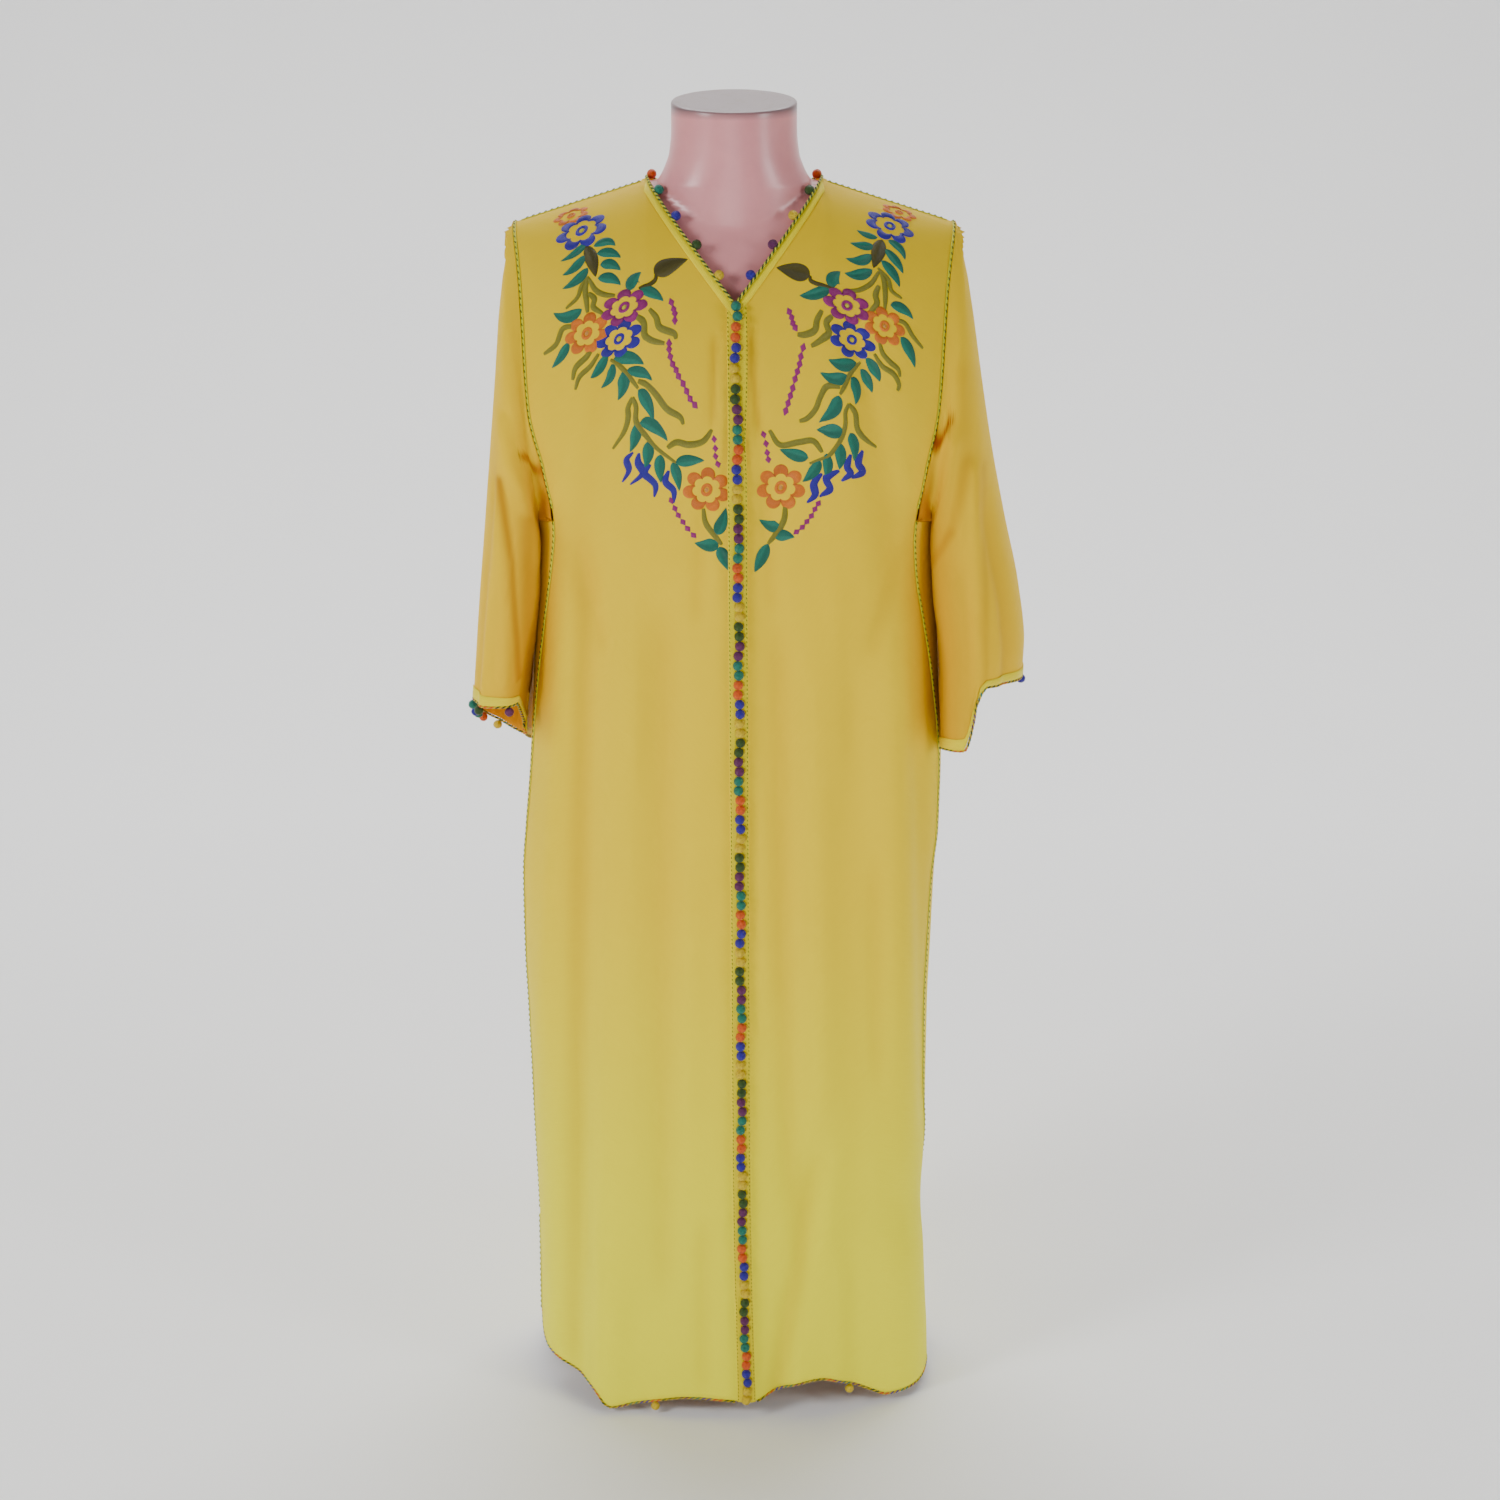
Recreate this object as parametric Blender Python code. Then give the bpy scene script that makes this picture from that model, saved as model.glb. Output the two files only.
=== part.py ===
# Short kaftan with a braided, ball-buttoned front, on a limbless dress form
# Metres, +Z up. The origin is on the floor under the middle of the form and the front faces -Y.
# Left is -X and right is +X, as seen from the front.

import math

import bmesh
import bpy
import numpy as np

# Cloth and trims
CLOTH = 0.0012           # thickness of the woven cloth
BRAID = 0.0008           # thickness of the flat braid
SEAM_GAP = 0.0004        # between two panels along a seam
SEAT_GAP = 0.0003        # between a trim and the face it lies on
NECK_BRAID_WIDTH = 0.007
PLACKET_WIDTH = {-1: 0.0065, 1: 0.0095}
PLACKET_TOP_SHARE = 0.45  # share of the front band's width that reaches up to the neck edge
BALL_RADIUS = 0.0045
BALL_SIDES = 6
BALL_RING_OFFSET = 0.44  # of the radius, from the middle of a ball to its two widest rings
BALL_RING_RADIUS = 0.95
BALL_NECK_RADIUS = 0.0022
CORD_RADIUS = 0.0009
CORD_SIDES = 4
RIM_GAP = 0.0004         # between a cord and the edge it runs along
MITRE_LIMIT = 2.0        # at sharp corners the cord stands off by up to this factor
CORNER_ROOM = 0.0004     # between a ball and the next corner of its cord
BUTTON_COUNT = 116
BUTTON_GROUPS = (8, 18, 18, 18, 18, 18, 18)
BUTTON_OFFSET = 0.0015   # the buttons sit just right of the front opening

# Shoulder line and neck opening
NECK_POINT = 0.0768      # half width of the neck opening on the shoulder line
NECK_POINT_HEIGHT = 1.165
SHOULDER_SLOPE = 0.318
V_BOTTOM_HEIGHT = 1.070
BACK_NECK_SPAN = 0.078   # over the cloth, from the shoulder line to the back of the neck
BACK_NECK_POWER = 2.6
SHOULDER_END = 0.1958    # half width of the shoulders at the armhole seam
YOKE_HEIGHT = 0.970      # level rows start here
UNDERARM_HEIGHT = 0.872

# Front and back of the shoulders, from the shoulder line down to the full depth of the chest
SHOULDER_ROLL = {
    "front": {"drop": 0.200, "power": 2.0, "span": 0.240},
    "back": {"drop": 0.140, "power": 2.4, "span": 0.195},
}
FACE_SIGN = {"front": -1.0, "back": 1.0}

# Level sections of the body, inside of the cloth
BODY_COLUMNS = ("height", "left", "right", "front", "back", "power")
BODY_SECTIONS = (
    (1.170, 0.2220, 0.2220, 0.1060, 0.1000, 3.0),
    (1.128, 0.2143, 0.2143, 0.1070, 0.1010, 3.0),
    (1.100, 0.2085, 0.2085, 0.1075, 0.1020, 3.0),
    (1.070, 0.2050, 0.2045, 0.1080, 0.1025, 3.0),
    (0.970, 0.1985, 0.1975, 0.1100, 0.1040, 2.9),
    (0.920, 0.1870, 0.1880, 0.1110, 0.1050, 2.8),
    (0.872, 0.1800, 0.1815, 0.1120, 0.1050, 2.7),
    (0.800, 0.1825, 0.1845, 0.1140, 0.1055, 2.6),
    (0.720, 0.1865, 0.1885, 0.1160, 0.1065, 2.6),
    (0.623, 0.1930, 0.1935, 0.1180, 0.1085, 2.6),
    (0.562, 0.1990, 0.1930, 0.1190, 0.1100, 2.6),
    (0.521, 0.2020, 0.1900, 0.1200, 0.1110, 2.6),
    (0.438, 0.2014, 0.1878, 0.1210, 0.1120, 2.6),
    (0.375, 0.1992, 0.1862, 0.1220, 0.1130, 2.6),
    (0.267, 0.1970, 0.1864, 0.1230, 0.1145, 2.6),
    (0.156, 0.1948, 0.1782, 0.1240, 0.1155, 2.6),
    (0.042, 0.1956, 0.1825, 0.1250, 0.1165, 2.6),
    (0.000, 0.1958, 0.1870, 0.1250, 0.1170, 2.6),
)

# Seams round the body: degrees from the side towards the front, and towards the back above the underarm
SEAM_COLUMNS = ("height", "front", "back")
SEAM_ANGLES = (
    (1.170, 29.0, 29.0),
    (0.970, 28.8, 28.8),
    (0.935, 29.0, 25.0),
    (0.905, 29.4, 14.0),
    (0.890, 29.6, 2.0),
    (0.880, 29.7, -12.0),
    (0.872, 29.8, -29.8),
    (0.832, 27.6, -27.6),
    (0.775, 22.6, -22.6),
    (0.720, 17.0, -17.0),
    (0.660, 13.4, -13.4),
    (0.500, 9.5, -9.5),
    (0.300, 5.4, -5.4),
    (0.150, 2.4, -2.4),
    (0.000, 1.5, -1.5),
)

# The front opening drifts a little to the right on its way down
OPENING_COLUMNS = ("height", "x")
OPENING_LINE = ((1.170, 0.0010), (1.000, 0.0012), (0.500, 0.0035), (0.250, 0.0045), (0.000, 0.0090))

HEM_COLUMNS = ("x", "height")
FRONT_HEM = (
    (-0.200, 0.026),
    (-0.172, 0.019),
    (-0.150, 0.014),
    (-0.137, 0.008),
    (-0.124, -0.006),
    (-0.100, -0.002),
    (-0.072, 0.0035),
    (-0.050, 0.0070),
    (-0.010, 0.0050),
    (0.015, 0.0020),
    (0.038, 0.012),
    (0.0645, 0.023),
    (0.083, 0.025),
    (0.1125, 0.015),
    (0.135, 0.003),
    (0.150, -0.004),
    (0.170, -0.003),
    (0.200, 0.000),
)
BACK_HEM = ((-0.200, 0.016), (-0.110, 0.008), (-0.040, 0.017), (0.050, 0.006), (0.130, 0.015), (0.200, 0.014))
HEM_BLEND = 0.16         # the rows take the hem's curve below this height
SLIT_HEIGHT = 0.145
SLIT_SPREAD = 0.010      # how far each edge draws back at the hem
SLIT_CORNER = {-1: 0.042, 1: 0.006}

# Levels of the rows under the yoke
ROW_HEIGHTS = (
    0.935, 0.905, 0.890, 0.880, 0.872, 0.820, 0.765, 0.710, 0.655, 0.600, 0.545,
    0.490, 0.430, 0.370, 0.310, 0.250, 0.195, 0.145, 0.095, 0.045, 0.000,
)
TOP_ROW_SPANS = (0.0, 0.09, 0.20, 0.33, 0.50, 0.73, 1.0)
NECK_STEPS = 8
SHOULDER_STEPS = 5
BACK_NECK_STEPS = 10
CURVE_SAMPLES = 361      # points along a curve before rows and columns are spaced on it

# Large folds: ridges have a positive height and troughs a negative one.
# at is x on the front and back, and y at the sides.
FOLD_COLUMNS = ("face", "at_top", "top", "at_low", "low", "width", "height")
FOLD_FADE = 0.09
FACE_FOLD_REACH = 0.035  # front and back folds fade out this close to the side
SIDE_FOLD_START = 0.72   # side folds begin at this share of the half width
SIDE_FOLD_BLEND = 0.20
FOLDS = (
    ("front", -0.1026, 0.74, -0.1290, 0.00, 0.020, 0.0050),
    ("front", -0.1340, 0.80, -0.1580, 0.05, 0.017, -0.0080),
    ("front", -0.1560, 0.74, -0.1800, 0.40, 0.011, 0.0040),
    ("front", -0.0880, 0.70, -0.0960, 0.25, 0.014, 0.0025),
    ("front", -0.0640, 0.76, -0.0700, 0.16, 0.018, -0.0060),
    ("front", 0.0410, 0.74, 0.0520, 0.25, 0.014, -0.0060),
    ("front", 0.0720, 0.72, 0.0860, 0.20, 0.016, 0.0040),
    ("front", 0.0760, 0.24, 0.0370, 0.00, 0.014, -0.0080),
    ("front", 0.1060, 0.70, 0.1120, 0.00, 0.020, -0.0035),
    ("front", 0.1434, 0.72, 0.1700, 0.05, 0.018, 0.0060),
    ("front", 0.1560, 0.12, 0.1660, 0.00, 0.024, 0.0100),
    ("front", -0.1200, 0.10, -0.1230, 0.00, 0.020, 0.0060),
    ("front", 0.1640, 0.80, 0.1860, 0.30, 0.013, -0.0060),
    ("front", 0.1150, 1.00, 0.1400, 0.86, 0.018, -0.0045),
    ("front", -0.1150, 1.00, -0.1400, 0.86, 0.018, -0.0040),
    ("back", -0.1300, 0.80, -0.1450, 0.02, 0.022, -0.0080),
    ("back", -0.0950, 0.78, -0.1050, 0.00, 0.020, 0.0060),
    ("back", -0.0480, 0.86, -0.0600, 0.10, 0.020, -0.0070),
    ("back", 0.0100, 0.74, 0.0040, 0.00, 0.022, 0.0050),
    ("back", 0.0560, 0.82, 0.0700, 0.06, 0.019, -0.0080),
    ("back", 0.1000, 0.74, 0.1120, 0.00, 0.022, 0.0060),
    ("back", 0.1380, 0.80, 0.1500, 0.03, 0.018, -0.0070),
    ("left", 0.0350, 0.62, 0.0200, 0.10, 0.020, -0.0050),
    ("right", 0.0400, 0.60, 0.0250, 0.08, 0.020, -0.0050),
)

# Sleeves: outer and under lines, front and back reach, how far the section tips down towards the back,
# how square it is (1 is an oval), how far back its outer line lies and how far its inner part hangs lower
SLEEVE_COLUMNS = (
    "along", "outer_x", "outer_z", "under_x", "under_z", "front", "back", "tip", "square", "outer_y", "lobe",
)
SLEEVE_SECTIONS = {
    -1: (
        (0.00, 0.1960, 1.126, 0.1700, 0.872, 0.066, 0.066, 0.00, 1.00, 0.000, 0.000),
        (0.10, 0.2040, 1.108, 0.1780, 0.864, 0.069, 0.068, 0.00, 0.95, 0.000, 0.000),
        (0.22, 0.2090, 1.060, 0.1740, 0.850, 0.071, 0.070, 0.03, 0.88, 0.000, 0.000),
        (0.36, 0.2145, 0.994, 0.1720, 0.826, 0.073, 0.072, 0.08, 0.80, 0.000, 0.000),
        (0.50, 0.2205, 0.928, 0.1740, 0.797, 0.075, 0.073, 0.14, 0.74, 0.000, 0.000),
        (0.65, 0.2270, 0.856, 0.1780, 0.757, 0.076, 0.073, 0.22, 0.70, 0.000, 0.000),
        (0.80, 0.2335, 0.782, 0.1860, 0.708, 0.076, 0.072, 0.32, 0.66, 0.000, 0.000),
        (1.00, 0.2420, 0.678, 0.1960, 0.650, 0.075, 0.068, 0.40, 0.62, 0.000, 0.000),
    ),
    1: (
        (0.00, 0.1960, 1.126, 0.1700, 0.872, 0.066, 0.066, 0.00, 1.00, 0.000, 0.000),
        (0.10, 0.2045, 1.108, 0.1790, 0.864, 0.069, 0.068, 0.00, 0.95, 0.002, 0.000),
        (0.22, 0.2120, 1.060, 0.1750, 0.850, 0.071, 0.070, 0.02, 0.90, 0.006, 0.000),
        (0.36, 0.2225, 0.994, 0.1730, 0.828, 0.073, 0.072, 0.02, 0.86, 0.010, 0.000),
        (0.50, 0.2340, 0.928, 0.1740, 0.804, 0.075, 0.074, 0.02, 0.84, 0.014, 0.000),
        (0.65, 0.2480, 0.862, 0.1780, 0.776, 0.076, 0.076, 0.04, 0.82, 0.018, 0.002),
        (0.80, 0.2630, 0.796, 0.1830, 0.742, 0.077, 0.078, 0.06, 0.80, 0.020, 0.012),
        (0.92, 0.2700, 0.742, 0.1820, 0.718, 0.077, 0.078, 0.12, 0.80, 0.020, 0.036),
        (1.00, 0.2690, 0.710, 0.1830, 0.706, 0.076, 0.076, 0.16, 0.80, 0.020, 0.060),
    ),
}
SLEEVE_ROWS = (0.0, 0.05, 0.12, 0.21, 0.31, 0.41, 0.51, 0.61, 0.71, 0.81, 0.91, 0.978, 1.0)
SLEEVE_BLEND = 0.26      # share of the length in which the armhole's shape turns into a flat oval
SLEEVE_CLEARANCE = (0.0032, 0.0068)   # from the body near the shoulder, and at the cuff
CLEARANCE_GROWS = (0.5, 0.4)          # from this share of the length, over this share
CLEARANCE_BLEND = 0.12
SLEEVE_START_GAP = 0.0005
SLEEVE_LEAST_CLEARANCE = 0.0022       # just below the armhole seam
UNDERARM_LIFT = 0.0014                # the sleeve stands off a little more under the arm
UNDERARM_REACH = 3.0                  # and this many points to either side
SLEEVE_SEAM_MARGIN = 8.0              # degrees past the armhole seam where the sleeve still clears the panels
SLEEVE_FOLD_UNIT = 0.03               # a fold of this height changes the section's width by a whole
LOBE_EDGE = 0.02                      # the inner part hangs lower from this share of the width inwards
LOBE_BLEND = 0.38

# Sleeve folds: turn runs from 0 at the outer line through 0.25 in front to 0.5 under the arm
SLEEVE_FOLD_COLUMNS = ("side", "turn", "from_along", "to_along", "width", "height")
SLEEVE_FOLDS = (
    (-1, 0.14, 0.45, 1.10, 0.035, -0.0050),
    (-1, 0.22, 0.40, 1.10, 0.035, 0.0040),
    (-1, 0.36, 0.08, 0.34, 0.030, -0.0045),
    (-1, 0.78, 0.30, 1.10, 0.050, -0.0045),
    (1, 0.17, 0.48, 1.10, 0.035, -0.0070),
    (1, 0.25, 0.45, 1.10, 0.035, 0.0040),
    (1, 0.35, 0.08, 0.32, 0.032, -0.0060),
    (1, 0.80, 0.30, 1.10, 0.050, -0.0050),
)

# Balls along the edge cords: distance apart
NECK_BALL_PITCH = 0.034
NECK_BALL_START = {"front": 0.030, "back": 0.012}
NECK_BALL_END = 0.010
CUFF_BALL_PITCH = 0.033
CUFF_BALL_START = 0.010
BALL_LEAST_BEND = 0.85                # cosine: no ball beside a sharper corner of its cord
CORD_START = 0.009                    # the neck cords begin this far above the point of the V
CORD_END = 0.001
HEM_CORD_INSET = 0.003                # the hem cords stop short of the slits and of the front bands
CUFF_BARE_TURNS = {-1: (0.36, 0.66), 1: (0.02, 0.64)}   # no balls by the body or on the right cuff's front
HEM_BALLS = {-1: 0.090, 1: 0.118}     # along the front hems from the opening
BACK_HEM_BALLS = (0.15, 0.37)         # share of the way round the back hem
FLOOR_CLEARANCE = 0.014               # the dressed torso is modelled from its hem, this far above the floor

# Dress form
FORM_COLUMNS = ("height", "half_width", "front", "back", "power")
FORM_SECTIONS = (
    (0.560, 0.1500, 0.0830, 0.0920, 2.3),
    (0.620, 0.1580, 0.0880, 0.0960, 2.3),
    (0.700, 0.1500, 0.0840, 0.0900, 2.3),
    (0.790, 0.1290, 0.0790, 0.0770, 2.3),
    (0.860, 0.1330, 0.0860, 0.0780, 2.3),
    (0.940, 0.1500, 0.0960, 0.0870, 2.4),
    (1.010, 0.1640, 0.0980, 0.0910, 2.6),
    (1.070, 0.1750, 0.0975, 0.0920, 2.8),
    (1.128, 0.1900, 0.0960, 0.0900, 2.9),
    (1.170, 0.2000, 0.0960, 0.0900, 2.9),
)
NECK_SECTION_COLUMNS = ("height", "half_width", "half_depth")
NECK_SECTIONS = (
    (1.100, 0.0680, 0.0560),
    (1.164, 0.0690, 0.0560),
    (1.170, 0.0655, 0.0560),
    (1.178, 0.0615, 0.0560),
    (1.190, 0.0575, 0.0560),
    (1.210, 0.0556, 0.0560),
    (1.245, 0.0555, 0.0560),
)
FORM_LEVELS = (
    0.560, 0.600, 0.650, 0.700, 0.750, 0.800, 0.850, 0.900, 0.950, 1.000, 1.040, 1.070, 1.092,
    1.108, 1.121, 1.131, 1.140, 1.147, 1.154, 1.160, 1.164, 1.170, 1.178, 1.192, 1.212, 1.2345,
)
FORM_POINTS = 32
FORM_SHOULDER_GAP = 0.0007
FORM_SHOULDER_END = 0.168    # the form's shoulder rounds off beyond this
FORM_SHOULDER_ROUNDING = 14.0
FORM_DEPTH_SHARE = 0.6       # depth to width of the directions in which the rings are drawn
FORM_NECK_REACH = 0.06       # below the shoulder's height the directions follow the neck
NECK_START_HEIGHT = 1.10
HALVINGS = 40                # steps in the search for the form's surface
NECK_TILT = 0.098            # the flat top of the neck slopes down to the front

POLE_RADIUS = 0.0125
BASE_HALF_LENGTH = 0.142
BASE_HALF_DEPTH = 0.070
BASE_HEIGHT = 0.012
BASE_BEVEL = 0.002

# Colour, roughness and metallic value of each kind of material
FINISHES = {
    "cloth": ((0.86, 0.60, 0.045), 0.55, 0.0),
    "braid": ((0.88, 0.62, 0.02), 0.6, 0.0),
    "cord": ((0.05, 0.16, 0.07), 0.7, 0.0),
    "thread": ((0.80, 0.30, 0.06), 0.6, 0.0),
    "form": ((0.72, 0.44, 0.44), 0.35, 0.0),
    "metal": ((0.62, 0.62, 0.62), 0.35, 0.9),
}


def column(rows, names, name):
    index = names.index(name)
    return np.array([row[index] for row in rows], dtype=float)


def smooth_curve(x, known_x, known_y):
    # cubic through the table's rows that never overshoots them
    order = np.argsort(known_x)
    xs = known_x[order]
    ys = known_y[order]
    steps = np.diff(xs)
    rises = np.diff(ys) / steps
    slopes = np.zeros_like(ys)
    slopes[0] = rises[0]
    slopes[-1] = rises[-1]
    agree = rises[:-1] * rises[1:] > 0
    means = 2.0 * rises[:-1] * rises[1:] / np.where(agree, rises[:-1] + rises[1:], 1.0)
    slopes[1:-1] = np.where(agree, means, 0.0)
    x = np.clip(x, xs[0], xs[-1])
    k = np.clip(np.searchsorted(xs, x) - 1, 0, len(steps) - 1)
    t = (x - xs[k]) / steps[k]
    a = ys[k] * (1 + 2 * t) * (1 - t) ** 2
    b = steps[k] * slopes[k] * t * (1 - t) ** 2
    c = ys[k + 1] * t * t * (3 - 2 * t)
    d = steps[k] * slopes[k + 1] * t * t * (t - 1)
    return a + b + c + d


def from_table(rows, names, name, x):
    return smooth_curve(np.asarray(x, dtype=float), column(rows, names, names[0]), column(rows, names, name))


def ease(t):
    t = np.clip(t, 0.0, 1.0)
    return t * t * (3.0 - 2.0 * t)


def signed_power(value, power):
    return np.sign(value) * np.abs(value) ** power


# Body of the kaftan

def ridge_height(x):
    # height of the shoulder line
    return NECK_POINT_HEIGHT - SHOULDER_SLOPE * np.maximum(np.abs(x) - NECK_POINT, 0.0)


def roll_fullness(drop, face):
    # share of the full depth reached at a drop below the shoulder line
    roll = SHOULDER_ROLL[face]
    left = np.clip(1.0 - drop / roll["drop"], 0.0, 1.0)
    return (1.0 - left ** roll["power"]) ** (1.0 / roll["power"])


def roll_drop(span, face):
    # drop below the shoulder line after going a distance over the cloth
    roll = SHOULDER_ROLL[face]
    angle = np.clip(span / roll["span"], 0.0, 1.0) * math.pi / 2
    curved = roll["drop"] * (1.0 - np.cos(angle) ** (2.0 / roll["power"]))
    return curved + np.maximum(span - roll["span"], 0.0)


def roll_span(drop, face):
    roll = SHOULDER_ROLL[face]
    left = np.clip(1.0 - drop / roll["drop"], 0.0, 1.0)
    angle = np.arccos(left ** (roll["power"] / 2.0))
    return roll["span"] * angle / (math.pi / 2) + np.maximum(drop - roll["drop"], 0.0)


def half_width(x, z):
    left = from_table(BODY_SECTIONS, BODY_COLUMNS, "left", z)
    right = from_table(BODY_SECTIONS, BODY_COLUMNS, "right", z)
    return np.where(x < 0, left, right)


def body_power(z):
    return from_table(BODY_SECTIONS, BODY_COLUMNS, "power", z)


def body_depth(x, z, face):
    # distance of the front or back face from the middle plane, before folds
    power = body_power(z)
    full = from_table(BODY_SECTIONS, BODY_COLUMNS, face, z)
    across = np.clip(np.abs(x) / half_width(x, z), 0.0, 1.0)
    drop = ridge_height(x) - z
    return full * (1.0 - across ** power) ** (1.0 / power) * roll_fullness(drop, face)


def outward(x, y, z):
    # level direction away from the body at a point on a section
    power = body_power(z)
    width = half_width(x, z)
    depth = np.where(y < 0, from_table(BODY_SECTIONS, BODY_COLUMNS, "front", z),
                     from_table(BODY_SECTIONS, BODY_COLUMNS, "back", z))
    nx = signed_power(x / width, power - 1.0) / width
    ny = signed_power(y / depth, power - 1.0) / depth
    length = np.sqrt(nx * nx + ny * ny) + 1e-9
    return nx / length, ny / length


def fold_height(x, y, z):
    total = np.zeros(np.broadcast(x, y, z).shape)
    side_share = ease((np.abs(x) / half_width(x, z) - SIDE_FOLD_START) / SIDE_FOLD_BLEND)
    masks = {
        "front": ease(-y / FACE_FOLD_REACH),
        "back": ease(y / FACE_FOLD_REACH),
        "left": side_share * (x < 0),
        "right": side_share * (x > 0),
    }
    for row in FOLDS:
        fold = dict(zip(FOLD_COLUMNS, row))
        t = (fold["top"] - z) / (fold["top"] - fold["low"])
        line = fold["at_top"] + (fold["at_low"] - fold["at_top"]) * t
        above = ease((fold["top"] + FOLD_FADE - z) / FOLD_FADE)
        below = ease((z - fold["low"] + FOLD_FADE) / FOLD_FADE)
        across = (x if fold["face"] in ("front", "back") else y) - line
        share = above * below * masks[fold["face"]]
        total = total + fold["height"] * share * np.exp(-(across / fold["width"]) ** 2)
    return total


def add_folds(x, y, z):
    nx, ny = outward(x, y, z)
    height = fold_height(x, y, z)
    return np.stack([x + nx * height, y + ny * height, z], axis=-1)


def face_point(x, z, face):
    x = np.asarray(x, dtype=float)
    z = np.asarray(z, dtype=float)
    return add_folds(x, FACE_SIGN[face] * body_depth(x, z, face), z)


def ring_point(angle, z):
    # angle in degrees round a level section: 0 at the right side, 90 at the back, 270 in front
    radians = np.radians(angle)
    power = body_power(z)
    x = signed_power(np.cos(radians), 2.0 / power)
    x = x * half_width(x, z)
    full = np.where(np.sin(radians) < 0, from_table(BODY_SECTIONS, BODY_COLUMNS, "front", z),
                    from_table(BODY_SECTIONS, BODY_COLUMNS, "back", z))
    drop = ridge_height(x) - z
    fullness = np.where(np.sin(radians) < 0, roll_fullness(drop, "front"), roll_fullness(drop, "back"))
    y = signed_power(np.sin(radians), 2.0 / power) * full * fullness
    return add_folds(x, y, z)


def opening_x(z):
    return from_table(OPENING_LINE, OPENING_COLUMNS, "x", z)


def opening_angle(z):
    x = opening_x(z)
    return 270.0 + np.degrees(np.arcsin((x / half_width(x, z)) ** (body_power(z) / 2.0)))


def seam_angle(side, face, z):
    angle = from_table(SEAM_ANGLES, SEAM_COLUMNS, face, z)
    if face == "front":
        return np.where(side > 0, 360.0 - angle, 180.0 + angle)
    return np.where(side > 0, angle, 180.0 - angle)


def hem_height(x, face):
    rows = FRONT_HEM if face == "front" else BACK_HEM
    return from_table(rows, HEM_COLUMNS, "height", x)


def slit_amount(z):
    return ease((SLIT_HEIGHT - z) / SLIT_HEIGHT)


def level_row(start, end, z, shares, fixed_first=0.0):
    # points spread along a level section by arc length; fixed_first is the width of the first step
    angles = np.linspace(start, end, CURVE_SAMPLES)
    line = ring_point(angles, np.full(angles.shape, z))
    lengths = np.concatenate([[0.0], np.cumsum(np.linalg.norm(np.diff(line, axis=0), axis=1))])
    inset = SLIT_SPREAD * slit_amount(z) + SEAM_GAP / 2
    first = SEAM_GAP / 2 if fixed_first else inset
    usable = lengths[-1] - inset - first
    places = first + shares * usable
    if fixed_first:
        places = first + fixed_first + (shares - shares[1]) / (1.0 - shares[1]) * (usable - fixed_first)
        places[0] = first
    return np.interp(places, lengths, angles)


def hem_rows(angles, z, face):
    # rows near the floor take the hem's curve and its rounded corners
    base = ring_point(angles, np.full(angles.shape, z))
    share = 1.0 - ease(z / HEM_BLEND)
    height = z + hem_height(base[:, 0], face) * share
    steps = np.linalg.norm(np.diff(base, axis=0), axis=1)
    from_end = np.concatenate([np.cumsum(steps[::-1])[::-1], [0.0]])
    from_start = np.concatenate([[0.0], np.cumsum(steps)])
    near = from_end if face == "front" else np.minimum(from_end, from_start)
    corner = np.where(base[:, 0] < 0, SLIT_CORNER[-1], SLIT_CORNER[1])
    reach = np.clip(corner - near, 0.0, corner)
    lift = corner - np.sqrt(corner ** 2 - reach ** 2)
    return ring_point(angles, height + lift * share)


def pattern_point(x, span, face):
    # from the flat pattern of the shoulder, x and distance over the cloth, to the surface
    z = ridge_height(x) - roll_drop(span, face)
    return face_point(x, z, face)


def spread(points, count):
    # points evenly spaced along a polyline
    lengths = np.concatenate([[0.0], np.cumsum(np.linalg.norm(np.diff(points, axis=0), axis=1))])
    places = np.linspace(0.0, lengths[-1], count)
    return np.stack([np.interp(places, lengths, points[:, k]) for k in range(2)], axis=-1)


def seam_x(side, z):
    angle = np.radians(from_table(SEAM_ANGLES, SEAM_COLUMNS, "front", z))
    return half_width(np.full(np.shape(z), float(side)), z) * np.cos(angle) ** (2.0 / body_power(z))


def fit_to_armhole(grid, side, face):
    # the last column runs on the armhole, and the others follow it in proportion
    share = np.linspace(0.0, 1.0, grid.shape[1]) ** 2
    for _ in range(6):
        x = grid[:, -1, 0]
        z = ridge_height(x) - roll_drop(grid[:, -1, 1], face)
        grid[:, :, 0] += (seam_x(side, z) - x)[:, None] * share
    return grid


def shoulder_places():
    x = np.linspace(NECK_POINT, SHOULDER_END, SHOULDER_STEPS + 1)
    return np.stack([x, np.full(x.shape, SEAM_GAP / 2)], axis=-1)


def top_rows(edge, inner, yoke):
    rows = [edge]
    for share in TOP_ROW_SPANS:
        rows.append(inner + (yoke - inner) * share)
    return np.array(rows)


def front_neckline(side, start_x):
    # straight in front view, from the bottom of the V to the shoulder line
    x = np.linspace(start_x, NECK_POINT, CURVE_SAMPLES)
    drop = (NECK_POINT_HEIGHT - V_BOTTOM_HEIGHT) * (NECK_POINT - x) / (NECK_POINT - start_x)
    return np.stack([x, roll_span(drop, "front")], axis=-1)


def offset_line(points, distance):
    # a parallel line on the cloth side, which is outward and down
    tangent = np.gradient(points, axis=0)
    tangent /= np.linalg.norm(tangent, axis=1)[:, None]
    normal = np.stack([-tangent[:, 1], tangent[:, 0]], axis=-1)
    return points + normal * distance


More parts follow.
